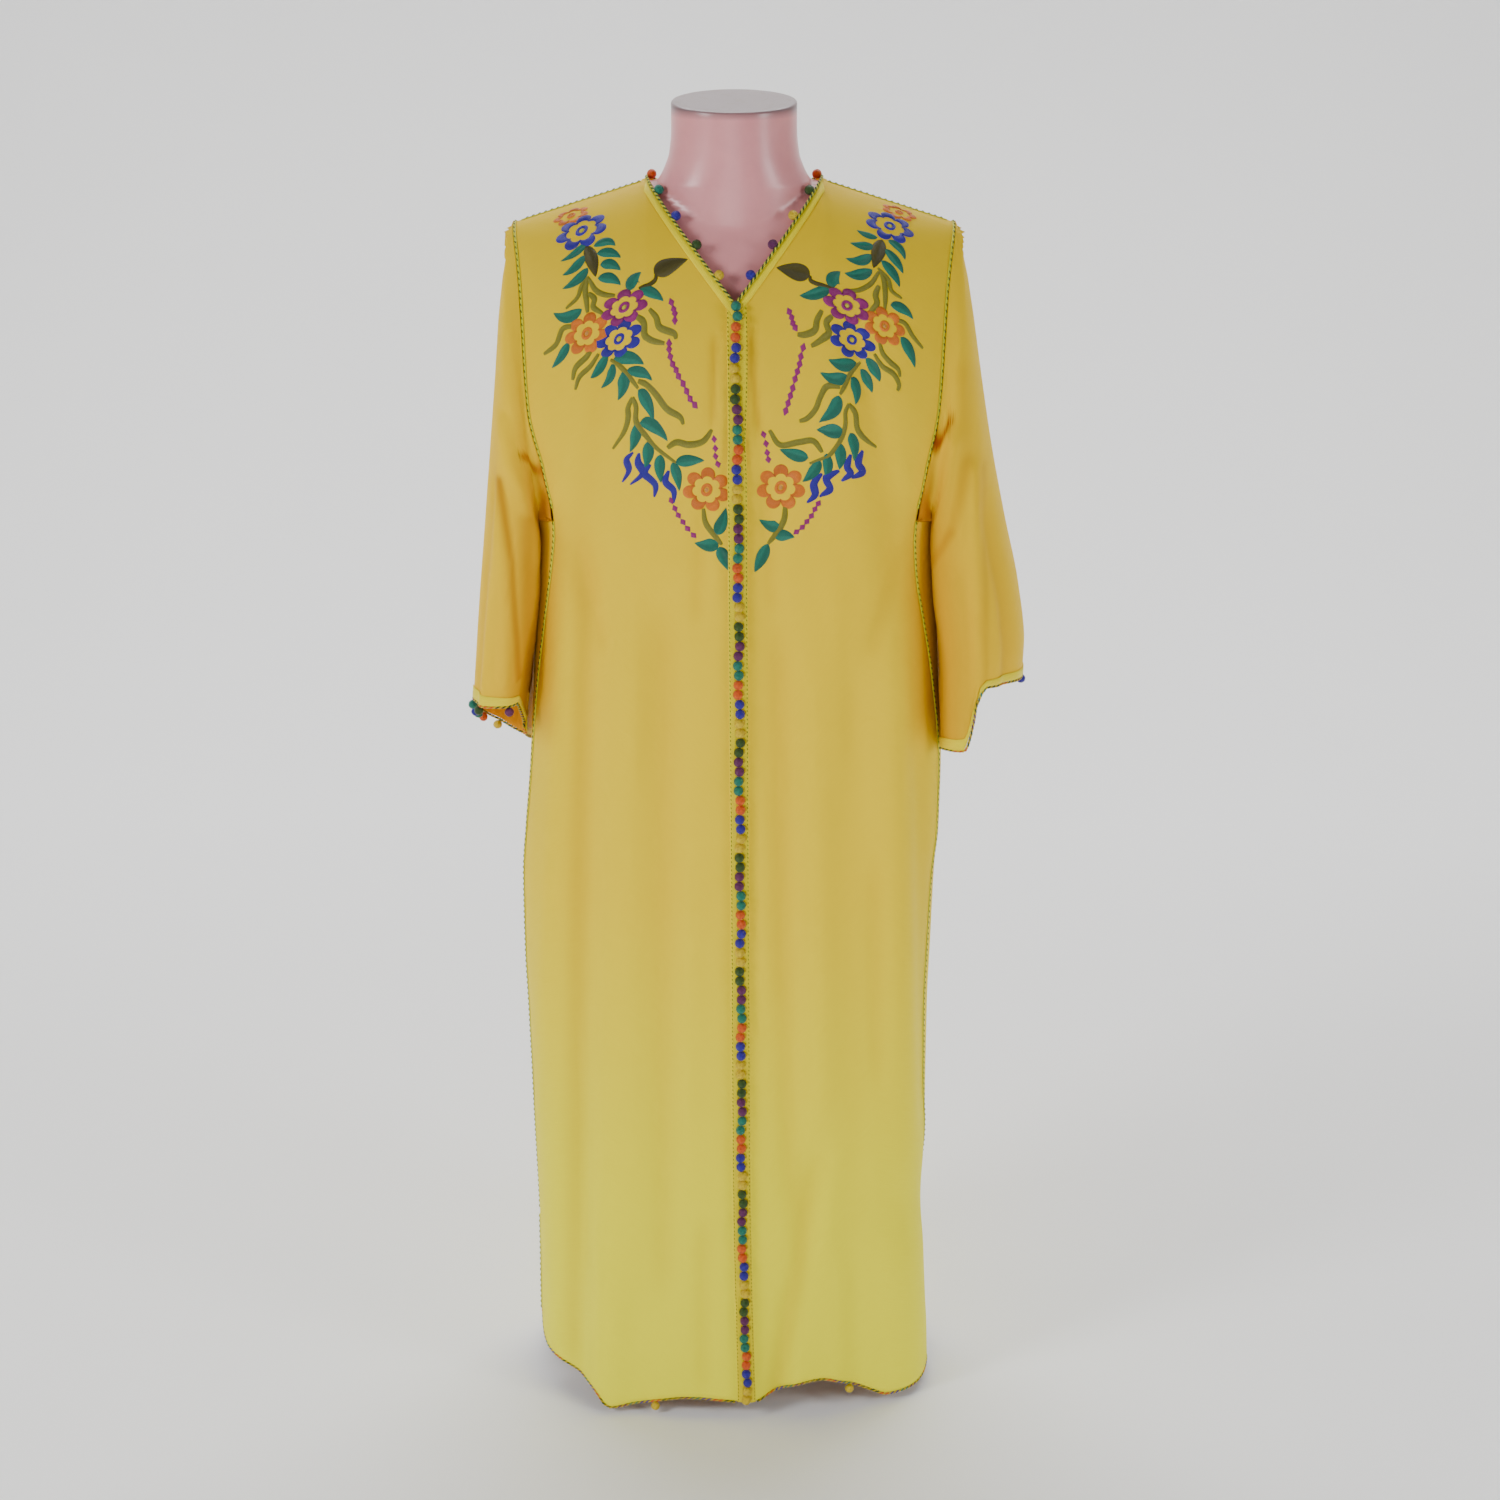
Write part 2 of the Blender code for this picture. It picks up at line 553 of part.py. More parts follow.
def front_panel(side):
    band = PLACKET_WIDTH[side]
    columns = NECK_STEPS + SHOULDER_STEPS + 1
    shares = np.linspace(0.0, 1.0, columns)
    start_x = side * float(opening_x(V_BOTTOM_HEIGHT)) + SEAM_GAP / 2

    neckline = front_neckline(side, start_x)
    edge = np.concatenate([spread(neckline, NECK_STEPS + 1), shoulder_places()[1:]])
    edge[1] = neckline[np.argmin(np.abs(neckline[:, 0] - start_x - PLACKET_TOP_SHARE * band))]
    edge[NECK_STEPS, 1] = SEAM_GAP / 2
    slope = abs((neckline[20, 1] - neckline[0, 1]) / (neckline[20, 0] - neckline[0, 0]))
    down = NECK_BRAID_WIDTH * math.hypot(1.0, slope)
    inner = edge.copy()
    inner[:NECK_STEPS] = offset_line(edge[:NECK_STEPS + 1], NECK_BRAID_WIDTH)[:NECK_STEPS]
    inner[0] = edge[0] + np.array([0.0, down])
    inner[1] = np.array([start_x + band, np.interp(start_x + band, neckline[:, 0], neckline[:, 1]) + down])
    inner[NECK_STEPS] = edge[NECK_STEPS] + NECK_BRAID_WIDTH
    inner[NECK_STEPS + 1:, 1] += NECK_BRAID_WIDTH

    angles = level_row(float(opening_angle(YOKE_HEIGHT)), float(seam_angle(side, "front", YOKE_HEIGHT)),
                       YOKE_HEIGHT, shares, band)
    power = body_power(YOKE_HEIGHT)
    across = side * signed_power(np.cos(np.radians(angles)), 2.0 / power)
    yoke_x = across * half_width(np.full(across.shape, float(side)), YOKE_HEIGHT)
    yoke = np.stack([yoke_x, roll_span(ridge_height(yoke_x) - YOKE_HEIGHT, "front")], axis=-1)
    pattern = fit_to_armhole(top_rows(edge, inner, yoke), side, "front")
    rows = [pattern_point(side * row[:, 0], row[:, 1], "front") for row in pattern]

    for z in ROW_HEIGHTS:
        angles = level_row(float(opening_angle(z)), float(seam_angle(side, "front", z)), z, shares, band)
        rows.append(hem_rows(angles, z, "front"))
    return np.array(rows)


def back_panel():
    neck = BACK_NECK_STEPS // 2
    fine = np.linspace(0.0, math.pi / 2, CURVE_SAMPLES)
    curve = np.stack([NECK_POINT * np.sin(fine) ** (2.0 / BACK_NECK_POWER),
                      BACK_NECK_SPAN * np.cos(fine) ** (2.0 / BACK_NECK_POWER)], axis=-1)
    edge = np.concatenate([spread(curve, neck + 1), shoulder_places()[1:]])
    edge[neck, 1] = SEAM_GAP / 2
    inner = edge.copy()
    inner[:neck] = offset_line(edge[:neck + 1], NECK_BRAID_WIDTH)[:neck]
    inner[0] = edge[0] + np.array([0.0, NECK_BRAID_WIDTH])
    inner[neck] = edge[neck] + NECK_BRAID_WIDTH
    inner[neck + 1:, 1] += NECK_BRAID_WIDTH

    count = 2 * (neck + SHOULDER_STEPS) + 1
    shares = np.linspace(0.0, 1.0, count)
    left = float(seam_angle(-1, "back", YOKE_HEIGHT))
    right = float(seam_angle(1, "back", YOKE_HEIGHT))
    angles = level_row(right, left, YOKE_HEIGHT, shares)
    power = body_power(YOKE_HEIGHT)
    across = signed_power(np.cos(np.radians(angles)), 2.0 / power)
    yoke_x = np.abs(across) * half_width(across, YOKE_HEIGHT)
    yoke = np.stack([yoke_x, roll_span(ridge_height(yoke_x) - YOKE_HEIGHT, "back")], axis=-1)
    middle = neck + SHOULDER_STEPS
    right_half = fit_to_armhole(top_rows(edge, inner, yoke[middle::-1]), 1, "back")
    left_half = fit_to_armhole(top_rows(edge, inner, yoke[middle:]), -1, "back")
    rows = []
    for right_row, left_row in zip(right_half, left_half):
        x = np.concatenate([right_row[::-1, 0], -left_row[1:, 0]])
        span = np.concatenate([right_row[::-1, 1], left_row[1:, 1]])
        rows.append(pattern_point(x, span, "back"))
    for z in ROW_HEIGHTS:
        angles = level_row(float(seam_angle(1, "back", z)), float(seam_angle(-1, "back", z)), z, shares)
        rows.append(hem_rows(angles, z, "back"))
    return np.array(rows)


# Sheets: a grid of points, its outward normals and the way each cell is split

def grid_normals(points, closed):
    if closed:
        across = np.roll(points, -1, axis=1) - np.roll(points, 1, axis=1)
    else:
        across = np.gradient(points, axis=1)
    down = np.gradient(points, axis=0)
    normal = np.cross(across, down)
    return normal / (np.linalg.norm(normal, axis=2)[:, :, None] + 1e-12)


def make_sheet(points, closed=False, centre=None):
    normals = grid_normals(points, closed)
    middle = points.mean(axis=(0, 1)) if centre is None else centre
    away = points - middle
    if np.sum(normals[..., :2] * away[..., :2]) < 0:
        normals = -normals
    after = np.roll(points, -1, axis=1) if closed else points[:, 1:]
    here = points if closed else points[:, :-1]
    falling = np.linalg.norm(after[1:] - here[:-1], axis=2)
    rising = np.linalg.norm(after[:-1] - here[1:], axis=2)
    return {"points": points, "normals": normals, "falling": falling < rising, "closed": closed}


def cut(sheet, rows, columns):
    # part of a sheet, with the same points and the same split cells
    row_cells = slice(rows.start, rows.stop - 1)
    column_cells = slice(columns.start, columns.stop - 1)
    return {
        "points": sheet["points"][rows, columns].copy(),
        "normals": sheet["normals"][rows, columns],
        "falling": sheet["falling"][row_cells, column_cells],
        "closed": False,
    }


def lift(sheet, height):
    return sheet["points"] + sheet["normals"] * height


def make_material(name, kind):
    colour, roughness, metallic = FINISHES[kind]
    material = bpy.data.materials.new(name)
    material.use_nodes = True
    shader = material.node_tree.nodes["Principled BSDF"]
    shader.inputs["Base Color"].default_value = (*colour, 1.0)
    shader.inputs["Roughness"].default_value = roughness
    shader.inputs["Metallic"].default_value = metallic
    return material


def finish_object(name, mesh_data, kind):
    bmesh.ops.recalc_face_normals(mesh_data, faces=mesh_data.faces)
    mesh = bpy.data.meshes.new(name)
    mesh_data.to_mesh(mesh)
    mesh_data.free()
    mesh.shade_smooth()
    mesh.set_sharp_from_angle(angle=math.radians(50))
    mesh.materials.append(make_material(name, kind))
    item = bpy.data.objects.new(name, mesh)
    bpy.context.collection.objects.link(item)
    return item


def wall(name, sheet, low, high, kind):
    # closed wall between two heights over a sheet
    bm = bmesh.new()
    layers = []
    for height in (low, high):
        points = lift(sheet, height)
        layers.append([[bm.verts.new(p) for p in row] for row in points])
    row_count, column_count = sheet["points"].shape[:2]
    cells = column_count if sheet["closed"] else column_count - 1
    for layer in layers:
        for r in range(row_count - 1):
            for c in range(cells):
                d = (c + 1) % column_count
                corners = (layer[r][c], layer[r][d], layer[r + 1][d], layer[r + 1][c])
                if sheet["falling"][r, c]:
                    bm.faces.new((corners[0], corners[1], corners[2]))
                    bm.faces.new((corners[0], corners[2], corners[3]))
                else:
                    bm.faces.new((corners[0], corners[1], corners[3]))
                    bm.faces.new((corners[1], corners[2], corners[3]))
    inner, outer = layers
    for c in range(cells):
        d = (c + 1) % column_count
        for r in (0, row_count - 1):
            bm.faces.new((inner[r][c], inner[r][d], outer[r][d], outer[r][c]))
    if not sheet["closed"]:
        for r in range(row_count - 1):
            for c in (0, column_count - 1):
                bm.faces.new((inner[r][c], inner[r + 1][c], outer[r + 1][c], outer[r][c]))
    return finish_object(name, bm, kind)


def loft(name, rings, kind, closed=False):
    # closed body through a row of rings, capped at both ends or run round on itself
    bm = bmesh.new()
    loops = [[bm.verts.new(p) for p in ring] for ring in rings]
    pairs = list(zip(loops[:-1], loops[1:]))
    if closed:
        pairs.append((loops[-1], loops[0]))
    for first, second in pairs:
        for k in range(len(first)):
            n = (k + 1) % len(first)
            bm.faces.new((first[k], first[n], second[n], second[k]))
    if not closed:
        bm.faces.new(loops[0])
        bm.faces.new(loops[-1])
    return finish_object(name, bm, kind)


# Cords and ball buttons, which sit on a face all along their length

def polyline_lengths(points):
    return np.concatenate([[0.0], np.cumsum(np.linalg.norm(np.diff(points, axis=0), axis=1))])


def along(values, lengths, places):
    return np.stack([np.interp(places, lengths, values[:, k]) for k in range(3)], axis=-1)


def ball_rings(centre):
    reach = BALL_RING_OFFSET * BALL_RADIUS
    radius = BALL_RING_RADIUS * BALL_RADIUS
    return [(centre - reach, radius), (centre + reach, radius)]


def sit_on_face(points, normals, stations, sides, gap=SEAT_GAP, closed=False):
    lengths = polyline_lengths(points)
    places = np.array([station[0] for station in stations])
    radii = np.array([station[1] for station in stations])
    foot = along(points, lengths, places)
    up = along(normals, lengths, places)
    centres = foot + up * (gap + radii)[:, None]
    up /= np.linalg.norm(up, axis=1)[:, None]
    if closed:
        ahead = np.roll(foot, -1, axis=0) - np.roll(foot, 1, axis=0)
    else:
        ahead = np.gradient(foot, axis=0)
    ahead /= np.linalg.norm(ahead, axis=1)[:, None]
    side = np.cross(ahead, up)
    side /= np.linalg.norm(side, axis=1)[:, None]
    up = np.cross(side, ahead)
    turns = np.linspace(0.0, 2 * math.pi, sides, endpoint=False) - math.pi / 2
    rings = []
    for centre, radius, u, s in zip(centres, radii, up, side):
        rings.append([centre + radius * (math.cos(t) * s + math.sin(t) * u) for t in turns])
    return rings


def beaded_stations(lengths, ball_places, start, end):
    # the cord's own corners, apart from those inside a ball, and four rings for each ball
    corners = [start] + [place for place in lengths if start + 0.002 < place < end - 0.002] + [end]
    stations = [(place, CORD_RADIUS) for place in corners
                if all(abs(place - ball) > BALL_RADIUS + CORNER_ROOM for ball in ball_places)]
    for ball in ball_places:
        stations += [(ball - BALL_RADIUS, CORD_RADIUS), (ball + BALL_RADIUS, CORD_RADIUS)] + ball_rings(ball)
    return sorted(stations)


def ball_spots(start, end, pitch):
    count = int((end - start) / pitch) + 1
    return [start + k * pitch for k in range(count)]


def face_line(sheet, row, height):
    # a row of the sheet lifted to a height, and its normals
    return lift(sheet, height)[row], sheet["normals"][row]


def rim_line(sheet, height):
    # the middle of the last row's rim, and the directions square to it that lead away from the sheet
    points = lift(sheet, height / 2)
    away = points[-1] - points[-2]
    if sheet["closed"]:
        tangent = np.roll(points[-1], -1, axis=0) - np.roll(points[-1], 1, axis=0)
    else:
        tangent = np.gradient(points[-1], axis=0)
    tangent /= np.linalg.norm(tangent, axis=1)[:, None]
    away -= tangent * np.sum(away * tangent, axis=1)[:, None]
    away /= np.linalg.norm(away, axis=1)[:, None]
    after = np.roll(points[-1], -1, axis=0) - points[-1]
    if not sheet["closed"]:
        after[-1] = after[-2]
    after /= np.linalg.norm(after, axis=1)[:, None]
    mitre = 1.0 / np.sqrt(1.0 - np.sum(away * after, axis=1) ** 2)
    return points[-1], away * np.minimum(mitre, MITRE_LIMIT)[:, None]


def open_cord(name, line, balls, ends, gap=SEAT_GAP):
    points, normals = line
    lengths = polyline_lengths(points)
    stations = beaded_stations(lengths, balls, ends[0], lengths[-1] - ends[1])
    return loft(name, sit_on_face(points, normals, stations, CORD_SIDES, gap), "cord")


def cuff_cord(name, sleeve, height, side):
    points, normals = rim_line(sleeve, height)
    points = np.concatenate([points, points[:1]])
    normals = np.concatenate([normals, normals[:1]])
    lengths = polyline_lengths(points)
    turns = np.linspace(0.0, 1.0, len(lengths))
    spots = ball_spots(CUFF_BALL_START, lengths[-1] - CUFF_BALL_START, CUFF_BALL_PITCH)
    low, high = CUFF_BARE_TURNS[side]
    steps = np.diff(points, axis=0)
    steps /= np.linalg.norm(steps, axis=1)[:, None]
    bends = np.sum(steps * np.roll(steps, 1, axis=0), axis=1)
    balls = []
    for spot in spots:
        k = int(np.searchsorted(lengths, spot))
        roomy = lengths[k] - lengths[k - 1] > 2 * (BALL_RADIUS + CORNER_ROOM)
        straight = min(bends[k - 1], bends[k % len(bends)]) > BALL_LEAST_BEND
        if roomy and straight and not low < float(np.interp(spot, lengths, turns)) < high:
            balls.append((lengths[k - 1] + lengths[k]) / 2)
    stations = beaded_stations(lengths, balls, 0.0, lengths[-1])[:-1]
    rings = sit_on_face(points, normals, stations, CORD_SIDES, RIM_GAP, closed=True)
    return loft(name, rings, "cord", closed=True)


def button_rows(sheet, height):
    share = BUTTON_OFFSET / PLACKET_WIDTH[1]
    points = lift(sheet, height)
    line = points[:, 0] * (1.0 - share) + points[:, 1] * share
    normals = sheet["normals"][:, 0]
    lengths = polyline_lengths(line)
    margin = BALL_RADIUS + 0.001
    pitch = (lengths[-1] - 2 * margin) / (BUTTON_COUNT - 1)
    end = pitch / 2 - SEAT_GAP / 2
    start = 0
    for number, count in enumerate(BUTTON_GROUPS):
        centres = [margin + (start + k) * pitch for k in range(count)]
        stations = [(centres[0] - end, BALL_NECK_RADIUS)]
        for centre in centres:
            stations += ball_rings(centre) + [(centre + pitch / 2, BALL_NECK_RADIUS)]
        stations[-1] = (centres[-1] + end, BALL_NECK_RADIUS)
        rings = sit_on_face(line, normals, stations, BALL_SIDES)
        loft("button_row_{:02d}".format(number + 1), rings, "thread")
        start += count


# Sleeves

def sleeve_loop(front_sheet, back_sheet, side):
    # the armhole, from the shoulder down the front, round under the arm and up the back, with the
    # normals of the panels and the directions that lead away from them
    rows = len(TOP_ROW_SPANS) + 1 + ROW_HEIGHTS.index(UNDERARM_HEIGHT)
    edge = -1
    back_edge, back_next = (-1, -2) if side < 0 else (0, 1)

    def both(front_values, back_values):
        joined = np.concatenate([front_values[:rows + 1], back_values[rows - 1:0:-1]])
        joined[0] = (front_values[0] + back_values[0]) / 2
        joined[rows] = (front_values[rows] + back_values[rows]) / 2
        return joined

    front = front_sheet["points"]
    back = back_sheet["points"]
    loop = both(front[:, edge], back[:, back_edge])
    normals = both(front_sheet["normals"][:, edge], back_sheet["normals"][:, back_edge])
    away = both(front[:, edge] - front[:, edge - 1], back[:, back_edge] - back[:, back_next])
    normals /= np.linalg.norm(normals, axis=1)[:, None]
    away /= np.linalg.norm(away, axis=1)[:, None]
    return loop, normals, away, rows


def sleeve_fold(side, turn, share):
    total = np.zeros(turn.shape)
    for row in SLEEVE_FOLDS:
        fold = dict(zip(SLEEVE_FOLD_COLUMNS, row))
        if fold["side"] != side:
            continue
        distance = np.abs(turn - fold["turn"])
        distance = np.minimum(distance, 1.0 - distance)
        reach = ease((share - fold["from_along"]) / 0.12) * ease((fold["to_along"] - share) / 0.12)
        total += fold["height"] * reach * np.exp(-(distance / fold["width"]) ** 2)
    return total


def clear_of_body(points, side, clearance):
    # keeps the sleeve outside the panels where both hang side by side
    x = points[:, 0] * side
    y = points[:, 1]
    z = points[:, 2]
    power = body_power(z)
    width = half_width(np.full(z.shape, float(side)), z)
    drop = ridge_height(x) - z
    front_depth = from_table(BODY_SECTIONS, BODY_COLUMNS, "front", z) * roll_fullness(drop, "front")
    back_depth = from_table(BODY_SECTIONS, BODY_COLUMNS, "back", z) * roll_fullness(drop, "back")
    depth = np.where(y < 0, front_depth, back_depth) + CLOTH + clearance
    share = np.clip(np.abs(y) / depth, 0.0, 1.0)
    angle = np.sign(y) * np.degrees(np.arcsin(share ** (power / 2.0)))
    over_front = angle < SLEEVE_SEAM_MARGIN - from_table(SEAM_ANGLES, SEAM_COLUMNS, "front", z)
    over_back = angle > from_table(SEAM_ANGLES, SEAM_COLUMNS, "back", z) - SLEEVE_SEAM_MARGIN
    limit = (width + CLOTH + clearance) * (1.0 - share ** power) ** (1.0 / power)
    points[:, 0] = side * np.where(over_front | over_back, np.maximum(x, limit), x)
    return points


def sleeve_sheet(side, front_sheet, back_sheet):
    loop, loop_normals, away, under = sleeve_loop(front_sheet, back_sheet, side)
    count = len(loop)
    index = np.arange(count)
    turn = np.where(index <= under, 0.5 * index / under, 0.5 + 0.5 * (index - under) / (count - under))
    angle = 2 * math.pi * turn
    table = SLEEVE_SECTIONS[side]
    rows = []
    for share in SLEEVE_ROWS[1:]:
        value = {name: float(from_table(table, SLEEVE_COLUMNS, name, share)) for name in SLEEVE_COLUMNS[1:]}
        swing = signed_power(np.cos(angle), value["square"])
        reach = signed_power(np.sin(angle), value["square"])
        fold = 1.0 + sleeve_fold(side, turn, share) / SLEEVE_FOLD_UNIT
        middle_x = (value["outer_x"] + value["under_x"]) / 2
        middle_z = (value["outer_z"] + value["under_z"]) / 2
        half_x = (value["outer_x"] - value["under_x"]) / 2
        half_z = (value["outer_z"] - value["under_z"]) / 2
        y = np.where(reach > 0, -value["front"] * reach, -value["back"] * reach)
        y = y + value["outer_y"] * np.maximum(swing, 0.0)
        x = side * (middle_x + half_x * swing * fold)
        hanging = value["lobe"] * ease((LOBE_EDGE - swing) / LOBE_BLEND)
        z = middle_z + half_z * swing - value["tip"] * y - hanging
        oval = np.stack([x, y, z], axis=-1)
        blend = float(ease(share / SLEEVE_BLEND))
        ring = loop * (1.0 - blend) + oval * blend
        near, far = SLEEVE_CLEARANCE
        clearance = near + (far - near) * float(ease((share - CLEARANCE_GROWS[0]) / CLEARANCE_GROWS[1]))
        clearance = max(SLEEVE_LEAST_CLEARANCE, clearance * float(ease(share / CLEARANCE_BLEND)))
        rows.append(clear_of_body(ring, side, clearance))
    near_under = np.maximum(0.0, 1.0 - np.abs(index - under) / UNDERARM_REACH)
    lift_off = CLOTH + SEAT_GAP + UNDERARM_LIFT * near_under
    rows.insert(0, loop + loop_normals * lift_off[:, None] + away * SLEEVE_START_GAP)
    points = np.array(rows)
    sheet = make_sheet(points, closed=True, centre=np.array([side * 0.205, 0.0, 0.9]))
    sheet["normals"][0] = loop_normals
    return sheet


# Dress form

def form_depth(x, z, face):
    power = from_table(FORM_SECTIONS, FORM_COLUMNS, "power", z)
    width = from_table(FORM_SECTIONS, FORM_COLUMNS, "half_width", z)
    full = from_table(FORM_SECTIONS, FORM_COLUMNS, face, z)
    across = np.clip(np.abs(x) / width, 0.0, 1.0)
    beyond = np.maximum(np.abs(x) - FORM_SHOULDER_END, 0.0)
    ridge = ridge_height(x) - FORM_SHOULDER_GAP - FORM_SHOULDER_ROUNDING * beyond ** 2
    return full * (1.0 - across ** power) ** (1.0 / power) * roll_fullness(ridge - z, face)


def form_ring(z):
    turns = np.linspace(0.0, 2 * math.pi, FORM_POINTS, endpoint=False)
    width = float(from_table(FORM_SECTIONS, FORM_COLUMNS, "half_width", z))
    neck_width = float(from_table(NECK_SECTIONS, NECK_SECTION_COLUMNS, "half_width", z))
    neck_depth = float(from_table(NECK_SECTIONS, NECK_SECTION_COLUMNS, "half_depth", z))
    on_shoulder = NECK_POINT_HEIGHT - FORM_SHOULDER_GAP - z
    if on_shoulder > 0:
        width = min(width, NECK_POINT + on_shoulder / SHOULDER_SLOPE)
    else:
        width = neck_width
    depth = max(neck_depth, FORM_DEPTH_SHARE * width if on_shoulder > FORM_NECK_REACH else neck_depth)
    ring = []
    for turn in turns:
        direction = np.array([width * math.cos(turn), depth * math.sin(turn)])
        direction /= np.linalg.norm(direction)
        face = "front" if direction[1] < 0 else "back"
        low = 0.0
        high = 2 * width
        for _ in range(HALVINGS):
            middle = (low + high) / 2
            x, y = direction * middle
            inside = on_shoulder > 0 and abs(y) <= float(form_depth(x, z, face)) and abs(x) <= width
            low, high = (middle, high) if inside else (low, middle)
        neck = 1.0 / math.hypot(direction[0] / neck_width, direction[1] / neck_depth)
        radius = max(low, neck) if z > NECK_START_HEIGHT else low
        ring.append((direction[0] * radius, direction[1] * radius, z))
    return ring


def build_form():
    rings = [form_ring(z) for z in FORM_LEVELS]
    rings[-1] = [(x, y, z + NECK_TILT * y) for x, y, z in rings[-1]]
    loft("form_torso", rings, "form")


def oval(half_x, half_y, z, count):
    turns = np.linspace(0.0, 2 * math.pi, count, endpoint=False)
    return [(half_x * math.cos(t), half_y * math.sin(t), z) for t in turns]


def build_stand():
    bottom = BASE_HEIGHT + SEAT_GAP
    top = FLOOR_CLEARANCE + FORM_LEVELS[0] - SEAT_GAP
    loft("form_pole", [oval(POLE_RADIUS, POLE_RADIUS, z, 16) for z in (bottom, top)], "metal")
    levels = (
        (0.0, BASE_BEVEL),
        (BASE_BEVEL, 0.0),
        (BASE_HEIGHT - BASE_BEVEL, 0.0),
        (BASE_HEIGHT, BASE_BEVEL),
    )
    rings = [oval(BASE_HALF_LENGTH - inset, BASE_HALF_DEPTH - inset, z, 32) for z, inset in levels]
    loft("form_base", rings, "metal")


def build_kaftan():
    front = {side: make_sheet(front_panel(side), centre=np.zeros(3)) for side in (-1, 1)}
    back = make_sheet(back_panel(), centre=np.zeros(3))
    names = {-1: "left", 1: "right"}
    wall("back", back, 0.0, CLOTH, "cloth")
    braid_low = CLOTH + SEAT_GAP
    braid_high = braid_low + BRAID
    row_count = back["points"].shape[0]
    for side in (-1, 1):
        sheet = front[side]
        wall("front_" + names[side], sheet, 0.0, CLOTH, "cloth")
        neck_band = cut(sheet, slice(0, 2), slice(0, NECK_STEPS + 1))
        wall("neck_band_" + names[side], neck_band, braid_low, braid_high, "braid")
        placket = cut(sheet, slice(1, row_count), slice(0, 2))
        first = placket["points"][0]
        step = placket["points"][1] - first
        placket["points"][0] = first + step * (SEAM_GAP / np.linalg.norm(step, axis=1))[:, None]
        wall("placket_band_" + names[side], placket, braid_low, braid_high, "braid")
        sleeve = sleeve_sheet(side, sheet, back)
        wall("sleeve_" + names[side], sleeve, 0.0, CLOTH, "cloth")
        cuff = {key: value[-2:] if key in ("points", "normals") else value for key, value in sleeve.items()}
        cuff["falling"] = sleeve["falling"][-1:]
        wall("cuff_band_" + names[side], cuff, braid_low, braid_high, "braid")
        cuff_cord("cuff_cord_" + names[side], sleeve, braid_high, side)
        ends = (PLACKET_WIDTH[side] + HEM_CORD_INSET, HEM_CORD_INSET)
        open_cord("hem_cord_" + names[side], rim_line(sheet, CLOTH), [HEM_BALLS[side]], ends, RIM_GAP)
        line = [values[:NECK_STEPS + 1] for values in face_line(sheet, 0, braid_high)]
        last = polyline_lengths(line[0])[-1] - NECK_BALL_END
        balls = ball_spots(NECK_BALL_START["front"], last, NECK_BALL_PITCH)
        open_cord("neck_cord_" + names[side], line, balls, (CORD_START, CORD_END))
    neck = BACK_NECK_STEPS // 2
    opening = slice(SHOULDER_STEPS, SHOULDER_STEPS + 2 * neck + 1)
    wall("neck_band_back", cut(back, slice(0, 2), opening), braid_low, braid_high, "braid")
    line = [values[opening] for values in face_line(back, 0, braid_high)]
    last = polyline_lengths(line[0])[-1] - NECK_BALL_END
    balls = ball_spots(NECK_BALL_START["back"], last, NECK_BALL_PITCH)
    open_cord("neck_cord_back", line, balls, (CORD_END, CORD_END))
    line = rim_line(back, CLOTH)
    balls = [share * polyline_lengths(line[0])[-1] for share in BACK_HEM_BALLS]
    open_cord("hem_cord_back", line, balls, (HEM_CORD_INSET, HEM_CORD_INSET), RIM_GAP)
    button_rows(front[1], braid_high)


def build_all():
    for item in list(bpy.data.objects):
        bpy.data.objects.remove(item, do_unlink=True)
    build_form()
    build_kaftan()
    dressed = bpy.data.objects.new("dressed_torso", None)
    bpy.context.collection.objects.link(dressed)
    dressed.location = (0.0, 0.0, FLOOR_CLEARANCE)
    for item in bpy.data.objects:
        if item.type == "MESH":
            item.parent = dressed
    build_stand()


build_all()
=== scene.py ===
# Looks of the short kaftan on its limbless form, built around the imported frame
import math
import time

import bpy
import numpy as np
from mathutils.bvhtree import BVHTree
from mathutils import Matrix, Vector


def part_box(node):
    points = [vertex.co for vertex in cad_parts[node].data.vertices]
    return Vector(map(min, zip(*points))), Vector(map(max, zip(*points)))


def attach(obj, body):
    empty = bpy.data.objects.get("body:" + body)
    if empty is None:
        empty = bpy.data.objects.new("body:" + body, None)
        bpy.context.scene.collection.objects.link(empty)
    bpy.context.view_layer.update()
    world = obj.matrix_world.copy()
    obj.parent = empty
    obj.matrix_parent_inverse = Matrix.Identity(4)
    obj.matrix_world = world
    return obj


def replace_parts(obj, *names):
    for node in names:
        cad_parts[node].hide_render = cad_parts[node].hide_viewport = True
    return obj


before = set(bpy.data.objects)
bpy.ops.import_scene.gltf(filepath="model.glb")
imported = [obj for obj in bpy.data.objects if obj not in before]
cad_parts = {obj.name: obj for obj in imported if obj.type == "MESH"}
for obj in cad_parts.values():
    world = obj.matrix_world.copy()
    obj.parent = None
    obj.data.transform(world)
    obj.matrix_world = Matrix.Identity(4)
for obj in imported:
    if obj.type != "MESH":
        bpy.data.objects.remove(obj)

startTime = time.time()
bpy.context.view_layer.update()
floorLift = 0.014   # the dressed torso hangs this far above the floor
rng = np.random.default_rng(7)


def stageDone(text):
    print("stage: {} at {:.1f} s".format(text, time.time() - startTime))


